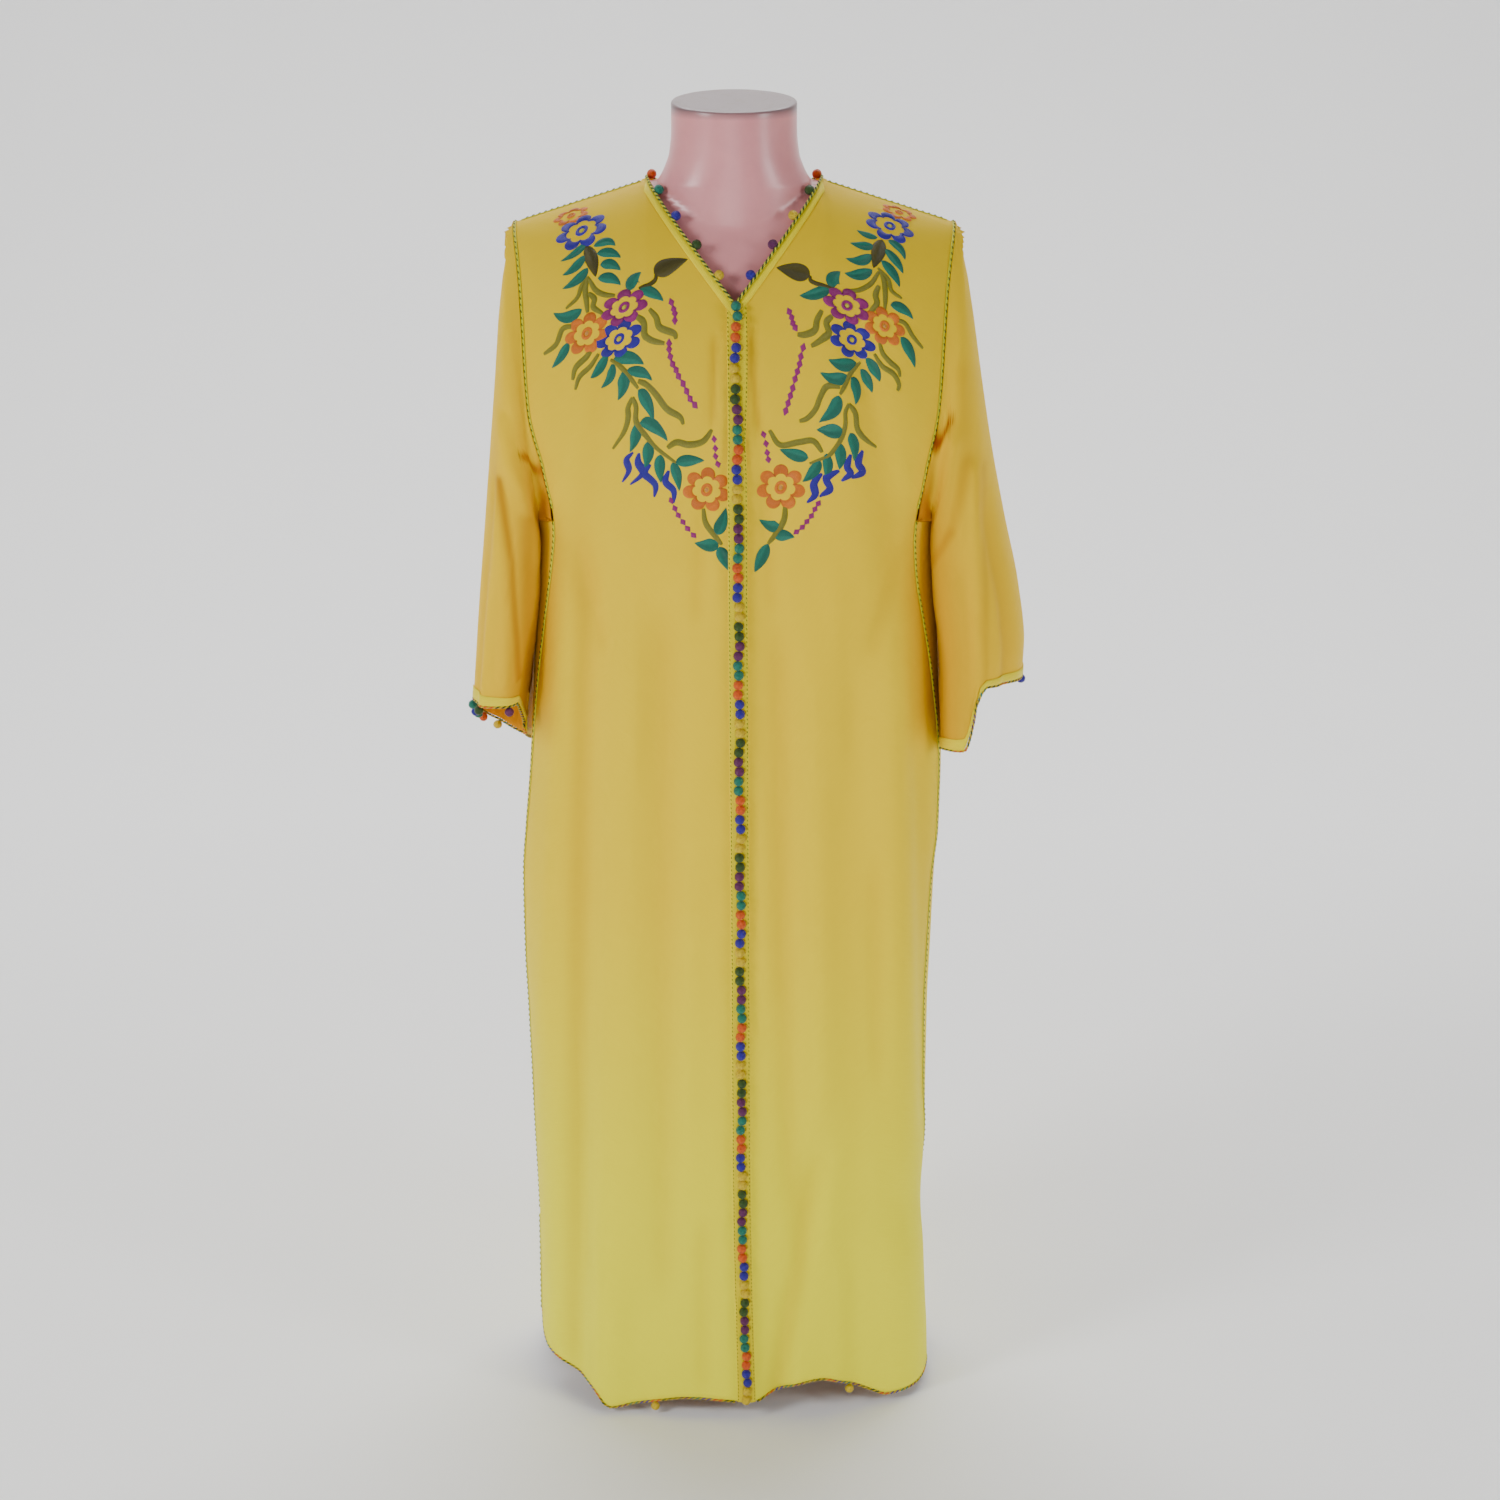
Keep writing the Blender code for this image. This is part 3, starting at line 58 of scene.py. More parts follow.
# Shape of the body, as in the solids: metres before the lift, left is -X
clothThickness = 0.0012
braidThickness = 0.0008
seamGap = 0.0004
seatGap = 0.0003
neckBraidWidth = 0.007
placketWidth = {-1: 0.0065, 1: 0.0095}
placketTopShare = 0.45
neckPoint = 0.0768
neckPointHeight = 1.165
shoulderSlope = 0.318
vBottomHeight = 1.070
backNeckSpan = 0.078
backNeckPower = 2.6
shoulderEnd = 0.1958
yokeHeight = 0.970
underarmHeight = 0.872
shoulderRoll = {
    "front": {"drop": 0.200, "power": 2.0, "span": 0.240},
    "back": {"drop": 0.140, "power": 2.4, "span": 0.195},
}
faceSign = {"front": -1.0, "back": 1.0}
bodyColumns = ("height", "left", "right", "front", "back", "power")
bodySections = (
    (1.170, 0.2220, 0.2220, 0.1060, 0.1000, 3.0),
    (1.128, 0.2143, 0.2143, 0.1070, 0.1010, 3.0),
    (1.100, 0.2085, 0.2085, 0.1075, 0.1020, 3.0),
    (1.070, 0.2050, 0.2045, 0.1080, 0.1025, 3.0),
    (0.970, 0.1985, 0.1975, 0.1100, 0.1040, 2.9),
    (0.920, 0.1870, 0.1880, 0.1110, 0.1050, 2.8),
    (0.872, 0.1800, 0.1815, 0.1120, 0.1050, 2.7),
    (0.800, 0.1825, 0.1845, 0.1140, 0.1055, 2.6),
    (0.720, 0.1865, 0.1885, 0.1160, 0.1065, 2.6),
    (0.623, 0.1930, 0.1935, 0.1180, 0.1085, 2.6),
    (0.562, 0.1990, 0.1930, 0.1190, 0.1100, 2.6),
    (0.521, 0.2020, 0.1900, 0.1200, 0.1110, 2.6),
    (0.438, 0.2014, 0.1878, 0.1210, 0.1120, 2.6),
    (0.375, 0.1992, 0.1862, 0.1220, 0.1130, 2.6),
    (0.267, 0.1970, 0.1864, 0.1230, 0.1145, 2.6),
    (0.156, 0.1948, 0.1782, 0.1240, 0.1155, 2.6),
    (0.042, 0.1956, 0.1825, 0.1250, 0.1165, 2.6),
    (0.000, 0.1958, 0.1870, 0.1250, 0.1170, 2.6),
)
seamColumns = ("height", "front", "back")
seamAngles = (
    (1.170, 29.0, 29.0),
    (0.970, 28.8, 28.8),
    (0.935, 29.0, 25.0),
    (0.905, 29.4, 14.0),
    (0.890, 29.6, 2.0),
    (0.880, 29.7, -12.0),
    (0.872, 29.8, -29.8),
    (0.832, 27.6, -27.6),
    (0.775, 22.6, -22.6),
    (0.720, 17.0, -17.0),
    (0.660, 13.4, -13.4),
    (0.500, 9.5, -9.5),
    (0.300, 5.4, -5.4),
    (0.150, 2.4, -2.4),
    (0.000, 1.5, -1.5),
)
openingColumns = ("height", "x")
openingLine = ((1.170, 0.0010), (1.000, 0.0012), (0.500, 0.0035), (0.250, 0.0045), (0.000, 0.0090))
hemColumns = ("x", "height")
frontHem = (
    (-0.200, 0.026), (-0.172, 0.019), (-0.150, 0.014), (-0.137, 0.008), (-0.124, -0.006), (-0.100, -0.002),
    (-0.072, 0.0035), (-0.050, 0.0070), (-0.010, 0.0050), (0.015, 0.0020), (0.038, 0.012), (0.0645, 0.023),
    (0.083, 0.025), (0.1125, 0.015), (0.135, 0.003), (0.150, -0.004), (0.170, -0.003), (0.200, 0.000),
)
backHem = ((-0.200, 0.016), (-0.110, 0.008), (-0.040, 0.017), (0.050, 0.006), (0.130, 0.015), (0.200, 0.014))
hemBlend = 0.16
slitHeight = 0.145
slitSpread = 0.010
slitCorner = {-1: 0.042, 1: 0.006}
solidRows = (
    0.970, 0.935, 0.905, 0.890, 0.880, 0.872, 0.820, 0.765, 0.710, 0.655, 0.600, 0.545,
    0.490, 0.430, 0.370, 0.310, 0.250, 0.195, 0.145, 0.095, 0.045, 0.000,
)
topSpans = (0.0, 0.09, 0.20, 0.33, 0.50, 0.73, 1.0)
yokeRow = 7.0         # places of the yoke and the underarm among the solids' rows
underarmRow = 12.0

# Large folds as in the solids: ridges are positive, troughs negative
foldColumns = ("face", "atTop", "top", "atLow", "low", "width", "height")
foldFade = 0.09
faceFoldReach = 0.035
sideFoldStart = 0.72
sideFoldBlend = 0.20
folds = (
    ("front", -0.1026, 0.74, -0.1290, 0.00, 0.020, 0.0050),
    ("front", -0.1340, 0.80, -0.1580, 0.05, 0.017, -0.0080),
    ("front", -0.1560, 0.74, -0.1800, 0.40, 0.011, 0.0040),
    ("front", -0.0880, 0.70, -0.0960, 0.25, 0.014, 0.0025),
    ("front", -0.0640, 0.76, -0.0700, 0.16, 0.018, -0.0060),
    ("front", 0.0410, 0.74, 0.0520, 0.25, 0.014, -0.0060),
    ("front", 0.0720, 0.72, 0.0860, 0.20, 0.016, 0.0040),
    ("front", 0.0760, 0.24, 0.0370, 0.00, 0.014, -0.0080),
    ("front", 0.1060, 0.70, 0.1120, 0.00, 0.020, -0.0035),
    ("front", 0.1434, 0.72, 0.1700, 0.05, 0.018, 0.0060),
    ("front", 0.1560, 0.12, 0.1660, 0.00, 0.024, 0.0100),
    ("front", -0.1200, 0.10, -0.1230, 0.00, 0.020, 0.0060),
    ("front", 0.1640, 0.80, 0.1860, 0.30, 0.013, -0.0060),
    ("front", 0.1150, 1.00, 0.1400, 0.86, 0.018, -0.0045),
    ("front", -0.1150, 1.00, -0.1400, 0.86, 0.018, -0.0040),
    ("back", -0.1300, 0.80, -0.1450, 0.02, 0.022, -0.0080),
    ("back", -0.0950, 0.78, -0.1050, 0.00, 0.020, 0.0060),
    ("back", -0.0480, 0.86, -0.0600, 0.10, 0.020, -0.0070),
    ("back", 0.0100, 0.74, 0.0040, 0.00, 0.022, 0.0050),
    ("back", 0.0560, 0.82, 0.0700, 0.06, 0.019, -0.0080),
    ("back", 0.1000, 0.74, 0.1120, 0.00, 0.022, 0.0060),
    ("back", 0.1380, 0.80, 0.1500, 0.03, 0.018, -0.0070),
    ("left", 0.0350, 0.62, 0.0200, 0.10, 0.020, -0.0050),
    ("right", 0.0400, 0.60, 0.0250, 0.08, 0.020, -0.0050),
)


def column(rows, names, name):
    index = names.index(name)
    return np.array([row[index] for row in rows], dtype=float)


def smoothCurve(x, knownX, knownY):
    # cubic through the rows of a table that never overshoots them
    order = np.argsort(knownX)
    xs = knownX[order]
    ys = knownY[order]
    steps = np.diff(xs)
    rises = np.diff(ys) / steps
    slopes = np.zeros_like(ys)
    slopes[0] = rises[0]
    slopes[-1] = rises[-1]
    agree = rises[:-1] * rises[1:] > 0
    means = 2.0 * rises[:-1] * rises[1:] / np.where(agree, rises[:-1] + rises[1:], 1.0)
    slopes[1:-1] = np.where(agree, means, 0.0)
    x = np.clip(x, xs[0], xs[-1])
    k = np.clip(np.searchsorted(xs, x) - 1, 0, len(steps) - 1)
    t = (x - xs[k]) / steps[k]
    a = ys[k] * (1 + 2 * t) * (1 - t) ** 2
    b = steps[k] * slopes[k] * t * (1 - t) ** 2
    c = ys[k + 1] * t * t * (3 - 2 * t)
    d = steps[k] * slopes[k + 1] * t * t * (t - 1)
    return a + b + c + d


def fromTable(rows, names, name, x):
    return smoothCurve(np.asarray(x, dtype=float), column(rows, names, names[0]), column(rows, names, name))


def ease(t):
    t = np.clip(t, 0.0, 1.0)
    return t * t * (3.0 - 2.0 * t)


def easeFrom(value, start, blend):
    return ease((value - start) / blend)


def between(value, low, lowBlend, high, highBlend):
    # one between the two limits, easing to nothing at each of them
    return ease((value - low) / lowBlend) * ease((high - value) / highBlend)


def signedPower(value, power):
    return np.sign(value) * np.abs(value) ** power


def unit(vectors):
    return vectors / (np.linalg.norm(vectors, axis=-1, keepdims=True) + 1e-12)


def ridgeHeight(x):
    return neckPointHeight - shoulderSlope * np.maximum(np.abs(x) - neckPoint, 0.0)


def rollFullness(drop, face):
    roll = shoulderRoll[face]
    left = np.clip(1.0 - drop / roll["drop"], 0.0, 1.0)
    return (1.0 - left ** roll["power"]) ** (1.0 / roll["power"])


def rollDrop(span, face):
    roll = shoulderRoll[face]
    angle = np.clip(span / roll["span"], 0.0, 1.0) * math.pi / 2
    curved = roll["drop"] * (1.0 - np.cos(angle) ** (2.0 / roll["power"]))
    return curved + np.maximum(span - roll["span"], 0.0)


def rollSpan(drop, face):
    roll = shoulderRoll[face]
    left = np.clip(1.0 - drop / roll["drop"], 0.0, 1.0)
    angle = np.arccos(left ** (roll["power"] / 2.0))
    return roll["span"] * angle / (math.pi / 2) + np.maximum(drop - roll["drop"], 0.0)


def bodyValue(name, z):
    return fromTable(bodySections, bodyColumns, name, z)


def sideWidth(side, z):
    return bodyValue("left" if side < 0 else "right", z)


def halfWidth(x, z):
    return np.where(x < 0, sideWidth(-1, z), sideWidth(1, z))


def faceDepth(inFront, z):
    return np.where(inFront, bodyValue("front", z), bodyValue("back", z))


def faceFullness(inFront, drop):
    return np.where(inFront, rollFullness(drop, "front"), rollFullness(drop, "back"))


def bodyDepth(x, z, face):
    power = bodyValue("power", z)
    across = np.clip(np.abs(x) / halfWidth(x, z), 0.0, 1.0)
    full = bodyValue(face, z) * (1.0 - across ** power) ** (1.0 / power)
    return full * rollFullness(ridgeHeight(x) - z, face)


def outward(x, y, z):
    power = bodyValue("power", z)
    width = halfWidth(x, z)
    depth = faceDepth(y < 0, z)
    nx = signedPower(x / width, power - 1.0) / width
    ny = signedPower(y / depth, power - 1.0) / depth
    length = np.sqrt(nx * nx + ny * ny) + 1e-9
    return nx / length, ny / length


def foldHeight(x, y, z):
    total = np.zeros(np.broadcast(x, y, z).shape)
    sideShare = ease((np.abs(x) / halfWidth(x, z) - sideFoldStart) / sideFoldBlend)
    masks = {
        "front": ease(-y / faceFoldReach),
        "back": ease(y / faceFoldReach),
        "left": sideShare * (x < 0),
        "right": sideShare * (x > 0),
    }
    for row in folds:
        fold = dict(zip(foldColumns, row))
        t = (fold["top"] - z) / (fold["top"] - fold["low"])
        line = fold["atTop"] + (fold["atLow"] - fold["atTop"]) * t
        above = ease((fold["top"] + foldFade - z) / foldFade)
        below = ease((z - fold["low"] + foldFade) / foldFade)
        across = (x if fold["face"] in ("front", "back") else y) - line
        height = fold["height"] * above * below * masks[fold["face"]]
        total = total + height * np.exp(-(across / fold["width"]) ** 2)
    return total


# Smaller creases, placed one by one: face, from x and z, to x and z, width and height
creases = (
    ("front", 0.004, 1.062, 0.016, 0.935, 0.0045, 0.0016),
    ("front", 0.012, 1.050, 0.020, 0.960, 0.0060, -0.0016),
    ("front", -0.008, 1.055, -0.012, 0.940, 0.0045, 0.0014),
    ("front", -0.016, 1.045, -0.018, 0.965, 0.0060, -0.0014),
    ("front", 0.026, 0.930, 0.034, 0.800, 0.0090, -0.0014),
    ("front", -0.026, 0.900, -0.034, 0.790, 0.0090, -0.0014),
    ("front", -0.100, 1.050, -0.150, 0.930, 0.0110, -0.0018),
    ("front", -0.120, 1.010, -0.158, 0.905, 0.0080, 0.0014),
    ("front", 0.100, 1.050, 0.150, 0.930, 0.0110, -0.0018),
    ("front", 0.124, 1.005, 0.160, 0.900, 0.0080, 0.0014),
    ("front", -0.150, 0.860, -0.118, 0.760, 0.0100, -0.0018),
    ("front", 0.152, 0.860, 0.122, 0.755, 0.0100, -0.0018),
    ("front", -0.086, 0.820, -0.092, 0.640, 0.0100, 0.0012),
    ("front", 0.088, 0.830, 0.094, 0.650, 0.0100, 0.0012),
    ("front", -0.040, 0.560, -0.044, 0.300, 0.0110, 0.0014),
    ("front", 0.026, 0.620, 0.030, 0.420, 0.0090, 0.0014),
    ("front", 0.128, 0.560, 0.134, 0.330, 0.0100, -0.0016),
    ("front", -0.146, 0.330, -0.150, 0.120, 0.0090, -0.0016),
    ("front", -0.030, 0.200, -0.033, 0.010, 0.0120, -0.0016),
    ("front", 0.060, 0.160, 0.058, 0.005, 0.0100, 0.0020),
    ("front", 0.100, 0.150, 0.104, 0.010, 0.0110, 0.0018),
    ("back", -0.080, 1.060, -0.150, 0.930, 0.0120, -0.0020),
    ("back", 0.080, 1.050, 0.146, 0.930, 0.0120, -0.0020),
    ("back", -0.030, 1.040, -0.070, 0.900, 0.0110, -0.0014),
    ("back", 0.030, 1.040, 0.064, 0.900, 0.0110, -0.0014),
    ("back", -0.012, 0.980, -0.016, 0.760, 0.0110, 0.0014),
    ("back", 0.030, 0.900, 0.036, 0.700, 0.0100, 0.0014),
    ("back", -0.080, 0.700, -0.076, 0.450, 0.0100, -0.0016),
    ("back", 0.086, 0.640, 0.094, 0.380, 0.0100, 0.0014),
    ("back", -0.120, 0.380, -0.126, 0.120, 0.0100, 0.0016),
    ("back", -0.026, 0.300, -0.030, 0.020, 0.0110, -0.0016),
    ("back", 0.120, 0.250, 0.126, 0.010, 0.0100, -0.0014),
)
creaseGain = 1.5
creaseFade = 0.15   # share of a crease's length over which it fades, on either side of its ends


def creaseHeight(x, z, face):
    total = np.zeros(np.broadcast(x, z).shape)
    for onFace, x0, z0, x1, z1, width, height in creases:
        if onFace != face:
            continue
        dx = x1 - x0
        dz = z1 - z0
        length = math.hypot(dx, dz)
        t = ((x - x0) * dx + (z - z0) * dz) / length ** 2
        across = ((x - x0) * dz - (z - z0) * dx) / length
        ends = ease((t + creaseFade) / (2 * creaseFade)) * ease((1.0 + creaseFade - t) / (2 * creaseFade))
        total = total + creaseGain * height * ends * np.exp(-(across / width) ** 2)
    return total


def clothWaver(x, z):
    # slow, uneven waver so that no stretch of cloth is perfectly smooth
    a = np.sin(41.0 * x + 9.0 * z + 1.3) * np.sin(17.0 * z - 23.0 * x + 0.4)
    b = np.sin(83.0 * x - 11.0 * z) * np.sin(29.0 * z + 2.1)
    return 0.00035 * a + 0.00018 * b


def addFolds(x, y, z):
    nx, ny = outward(x, y, z)
    front = ease(-y / faceFoldReach)
    back = ease(y / faceFoldReach)
    height = foldHeight(x, y, z) + front * creaseHeight(x, z, "front") + back * creaseHeight(x, z, "back")
    height = height + np.maximum(front, back) * clothWaver(x, z)
    return np.stack([x + nx * height, y + ny * height, z], axis=-1)


def facePoint(x, z, face):
    x = np.asarray(x, dtype=float)
    z = np.asarray(z, dtype=float)
    return addFolds(x, faceSign[face] * bodyDepth(x, z, face), z)


def ringPoint(angle, z):
    # degrees round a level section: 0 at the right side, 90 at the back, 270 in front
    radians = np.radians(angle)
    power = bodyValue("power", z)
    x = signedPower(np.cos(radians), 2.0 / power)
    x = x * halfWidth(x, z)
    inFront = np.sin(radians) < 0
    fullness = faceFullness(inFront, ridgeHeight(x) - z)
    return addFolds(x, signedPower(np.sin(radians), 2.0 / power) * faceDepth(inFront, z) * fullness, z)


def openingX(z):
    return fromTable(openingLine, openingColumns, "x", z)


def openingAngle(z):
    x = openingX(z)
    return 270.0 + np.degrees(np.arcsin((x / halfWidth(x, z)) ** (bodyValue("power", z) / 2.0)))


def seamAngle(side, face, z):
    angle = fromTable(seamAngles, seamColumns, face, z)
    if face == "front":
        return np.where(side > 0, 360.0 - angle, 180.0 + angle)
    return np.where(side > 0, angle, 180.0 - angle)


def slitAmount(z):
    return ease((slitHeight - z) / slitHeight)


# Fine grids of the panels: steps across the front bands, the neck and the shoulder
bandSteps = 3
neckSteps = 30
shoulderSteps = 22
backNeckSteps = 44
upperRows = 34
yokeToArm = 20
armToHem = 176
fineCount = 721       # points of a curve before it is spread evenly
slopeStep = 40        # the neckline's slope is taken over this many of them
armholePasses = 6


def rowPlaces():
    # each fine row's place among the rows of the solids, and its height below the yoke
    upper = np.concatenate([[0.0, 0.5], np.linspace(1.0, yokeRow, upperRows)])
    heights = np.concatenate([
        np.linspace(yokeHeight, underarmHeight, yokeToArm + 1)[1:],
        np.linspace(underarmHeight, 0.0, armToHem + 1)[1:],
    ])
    known = np.array(solidRows)[::-1]
    index = np.arange(yokeRow, yokeRow + len(solidRows))[::-1]
    return upper, heights, np.interp(heights, known, index)


upperPlaces, lowerHeights, lowerPlaces = rowPlaces()
allPlaces = np.concatenate([upperPlaces, lowerPlaces])
underRow = len(upperPlaces) + yokeToArm - 1

# Places and turns round an armhole, from the shoulder down the front, under the arm and up the back
armholePlaces = np.concatenate([allPlaces[:underRow + 1], 2 * underarmRow - allPlaces[underRow - 1:0:-1]])
armholeTurns = 0.5 * armholePlaces / underarmRow


def polyLengths(points):
    return np.concatenate([[0.0], np.cumsum(np.linalg.norm(np.diff(points, axis=0), axis=1))])


def pickPlaces(points, values, places):
    # values at the given lengths along a line of points
    lengths = polyLengths(points)
    return np.stack([np.interp(places, lengths, known) for known in values.T], axis=-1)


def spread(points, count):
    return pickPlaces(points, points, np.linspace(0.0, polyLengths(points)[-1], count))


def levelRow(start, end, z, count, band=0.0):
    angles = np.linspace(start, end, fineCount)
    lengths = polyLengths(ringPoint(angles, np.full(angles.shape, z)))
    inset = slitSpread * slitAmount(z) + seamGap / 2
    first = seamGap / 2 if band else inset
    usable = lengths[-1] - inset - first
    places = np.linspace(0.0, usable, count)
    if band:
        beyond = np.linspace(band, usable, count - bandSteps)
        places = np.concatenate([np.linspace(0.0, band, bandSteps + 1), beyond[1:]])
    return np.interp(first + places, lengths, angles)


def frontAngles(side, z, count):
    return levelRow(float(openingAngle(z)), float(seamAngle(side, "front", z)), z, count, placketWidth[side])


def backAngles(z, count):
    return levelRow(float(seamAngle(1, "back", z)), float(seamAngle(-1, "back", z)), z, count)


def hemRow(angles, z, face):
    base = ringPoint(angles, np.full(angles.shape, z))
    share = 1.0 - ease(z / hemBlend)
    rows = frontHem if face == "front" else backHem
    height = z + fromTable(rows, hemColumns, "height", base[:, 0]) * share
    steps = np.linalg.norm(np.diff(base, axis=0), axis=1)
    fromEnd = np.concatenate([np.cumsum(steps[::-1])[::-1], [0.0]])
    fromStart = np.concatenate([[0.0], np.cumsum(steps)])
    near = fromEnd if face == "front" else np.minimum(fromEnd, fromStart)
    corner = np.where(base[:, 0] < 0, slitCorner[-1], slitCorner[1])
    reach = np.clip(corner - near, 0.0, corner)
    return ringPoint(angles, height + (corner - np.sqrt(corner ** 2 - reach ** 2)) * share)


def patternPoint(x, span, face):
    return facePoint(x, ridgeHeight(x) - rollDrop(span, face), face)


def seamX(side, z):
    angle = np.radians(fromTable(seamAngles, seamColumns, "front", z))
    return sideWidth(side, z) * np.cos(angle) ** (2.0 / bodyValue("power", z))


def fitToArmhole(grid, side, face):
    share = np.linspace(0.0, 1.0, grid.shape[1]) ** 2
    for _ in range(armholePasses):
        x = grid[:, -1, 0]
        z = ridgeHeight(x) - rollDrop(grid[:, -1, 1], face)
        grid[:, :, 0] += (seamX(side, z) - x)[:, None] * share
    return grid


def shoulderPlaces():
    x = np.linspace(neckPoint, shoulderEnd, shoulderSteps + 1)
    return np.stack([x, np.full(x.shape, seamGap / 2)], axis=-1)


def upperGrid(edge, inner, yoke):
    rows = []
    for place in upperPlaces:
        if place <= 1.0:
            rows.append(edge + (inner - edge) * place)
        else:
            share = np.interp(place, np.arange(1, len(topSpans) + 1), topSpans)
            rows.append(inner + (yoke - inner) * share)
    return np.array(rows)


def yokeShare(angles):
    return signedPower(np.cos(np.radians(angles)), 2.0 / bodyValue("power", yokeHeight))


def yokeLine(across, width, face):
    x = across * width
    return np.stack([x, rollSpan(ridgeHeight(x) - yokeHeight, face)], axis=-1)


def offsetLine(points, distance):
    tangent = unit(np.gradient(points, axis=0))
    return points + np.stack([-tangent[:, 1], tangent[:, 0]], axis=-1) * distance


def braidLine(edge, last, start):
    # the lower edge of the neck's braid; it runs straight into the shoulder over the last fifth of the neck
    inner = edge.copy()
    inner[:last] = offsetLine(edge[:last + 1], neckBraidWidth)[:last]
    inner[:len(start)] = start
    inner[last:, 1] = edge[last:, 1] + neckBraidWidth
    first = last - last // 5
    share = np.linspace(0.0, 1.0, last - first + 1)[:, None]
    inner[first:last + 1] = inner[first] * (1.0 - share) + inner[last] * share
    return inner


def frontPanel(side):
    band = placketWidth[side]
    startX = side * float(openingX(vBottomHeight)) + seamGap / 2
    x = np.linspace(startX, neckPoint, fineCount)
    drop = (neckPointHeight - vBottomHeight) * (neckPoint - x) / (neckPoint - startX)
    neckline = np.stack([x, rollSpan(drop, "front")], axis=-1)
    split = int(np.searchsorted(x, startX + placketTopShare * band))
    first = spread(neckline[:split + 1], bandSteps + 1)
    rest = spread(neckline[split:], neckSteps - bandSteps + 1)
    edge = np.concatenate([first[:-1], rest, shoulderPlaces()[1:]])
    edge[neckSteps, 1] = seamGap / 2
    run = neckline[slopeStep] - neckline[0]
    down = neckBraidWidth * math.hypot(1.0, abs(run[1] / run[0]))
    bandX = startX + band * np.linspace(0.0, 1.0, bandSteps + 1)
    start = np.stack([bandX, np.interp(bandX, x, neckline[:, 1]) + down], axis=-1)
    count = neckSteps + shoulderSteps + 1
    across = side * yokeShare(frontAngles(side, yokeHeight, count))
    yoke = yokeLine(across, sideWidth(side, yokeHeight), "front")
    pattern = fitToArmhole(upperGrid(edge, braidLine(edge, neckSteps, start), yoke), side, "front")
    rows = [patternPoint(side * row[:, 0], row[:, 1], "front") for row in pattern]
    rows += [hemRow(frontAngles(side, z, count), z, "front") for z in lowerHeights]
    return np.array(rows)


def backPanel():
    neck = backNeckSteps // 2
    middle = neck + shoulderSteps
    count = 2 * middle + 1
    turn = np.linspace(0.0, math.pi / 2, fineCount)
    power = 2.0 / backNeckPower
    curve = np.stack([neckPoint * np.sin(turn) ** power, backNeckSpan * np.cos(turn) ** power], axis=-1)
    edge = np.concatenate([spread(curve, neck + 1), shoulderPlaces()[1:]])
    edge[neck, 1] = seamGap / 2
    inner = braidLine(edge, neck, edge[:1] + np.array([0.0, neckBraidWidth]))
    across = yokeShare(backAngles(yokeHeight, count))
    yoke = yokeLine(np.abs(across), halfWidth(across, yokeHeight), "back")
    rightHalf = fitToArmhole(upperGrid(edge, inner, yoke[middle::-1]), 1, "back")
    leftHalf = fitToArmhole(upperGrid(edge, inner, yoke[middle:]), -1, "back")
    rows = []
    for rightRow, leftRow in zip(rightHalf, leftHalf):
        x = np.concatenate([rightRow[::-1, 0], -leftRow[1:, 0]])
        span = np.concatenate([rightRow[::-1, 1], leftRow[1:, 1]])
        rows.append(patternPoint(x, span, "back"))
    rows += [hemRow(backAngles(z, count), z, "back") for z in lowerHeights]
    return np.array(rows)


def around(points):
    # the way from each point's neighbour to the next, in a ring that closes on itself
    return np.roll(points, -1, axis=-2) - np.roll(points, 1, axis=-2)


def makeSheet(points, closed=False, centre=(0.0, 0.0)):
    # a grid of points with its outward normals
    across = around(points) if closed else np.gradient(points, axis=1)
    normals = unit(np.cross(across, np.gradient(points, axis=0)))
    if np.sum(normals[..., :2] * (points[..., :2] - np.array(centre))) < 0:
        normals = -normals
    return {"points": points, "normals": normals, "closed": closed}


def cutSheet(sheet, rows, columns=slice(None)):
    points = sheet["points"][rows, columns].copy()
    return {"points": points, "normals": sheet["normals"][rows, columns], "closed": sheet["closed"]}


def liftSheet(sheet, height):
    return sheet["points"] + sheet["normals"] * height


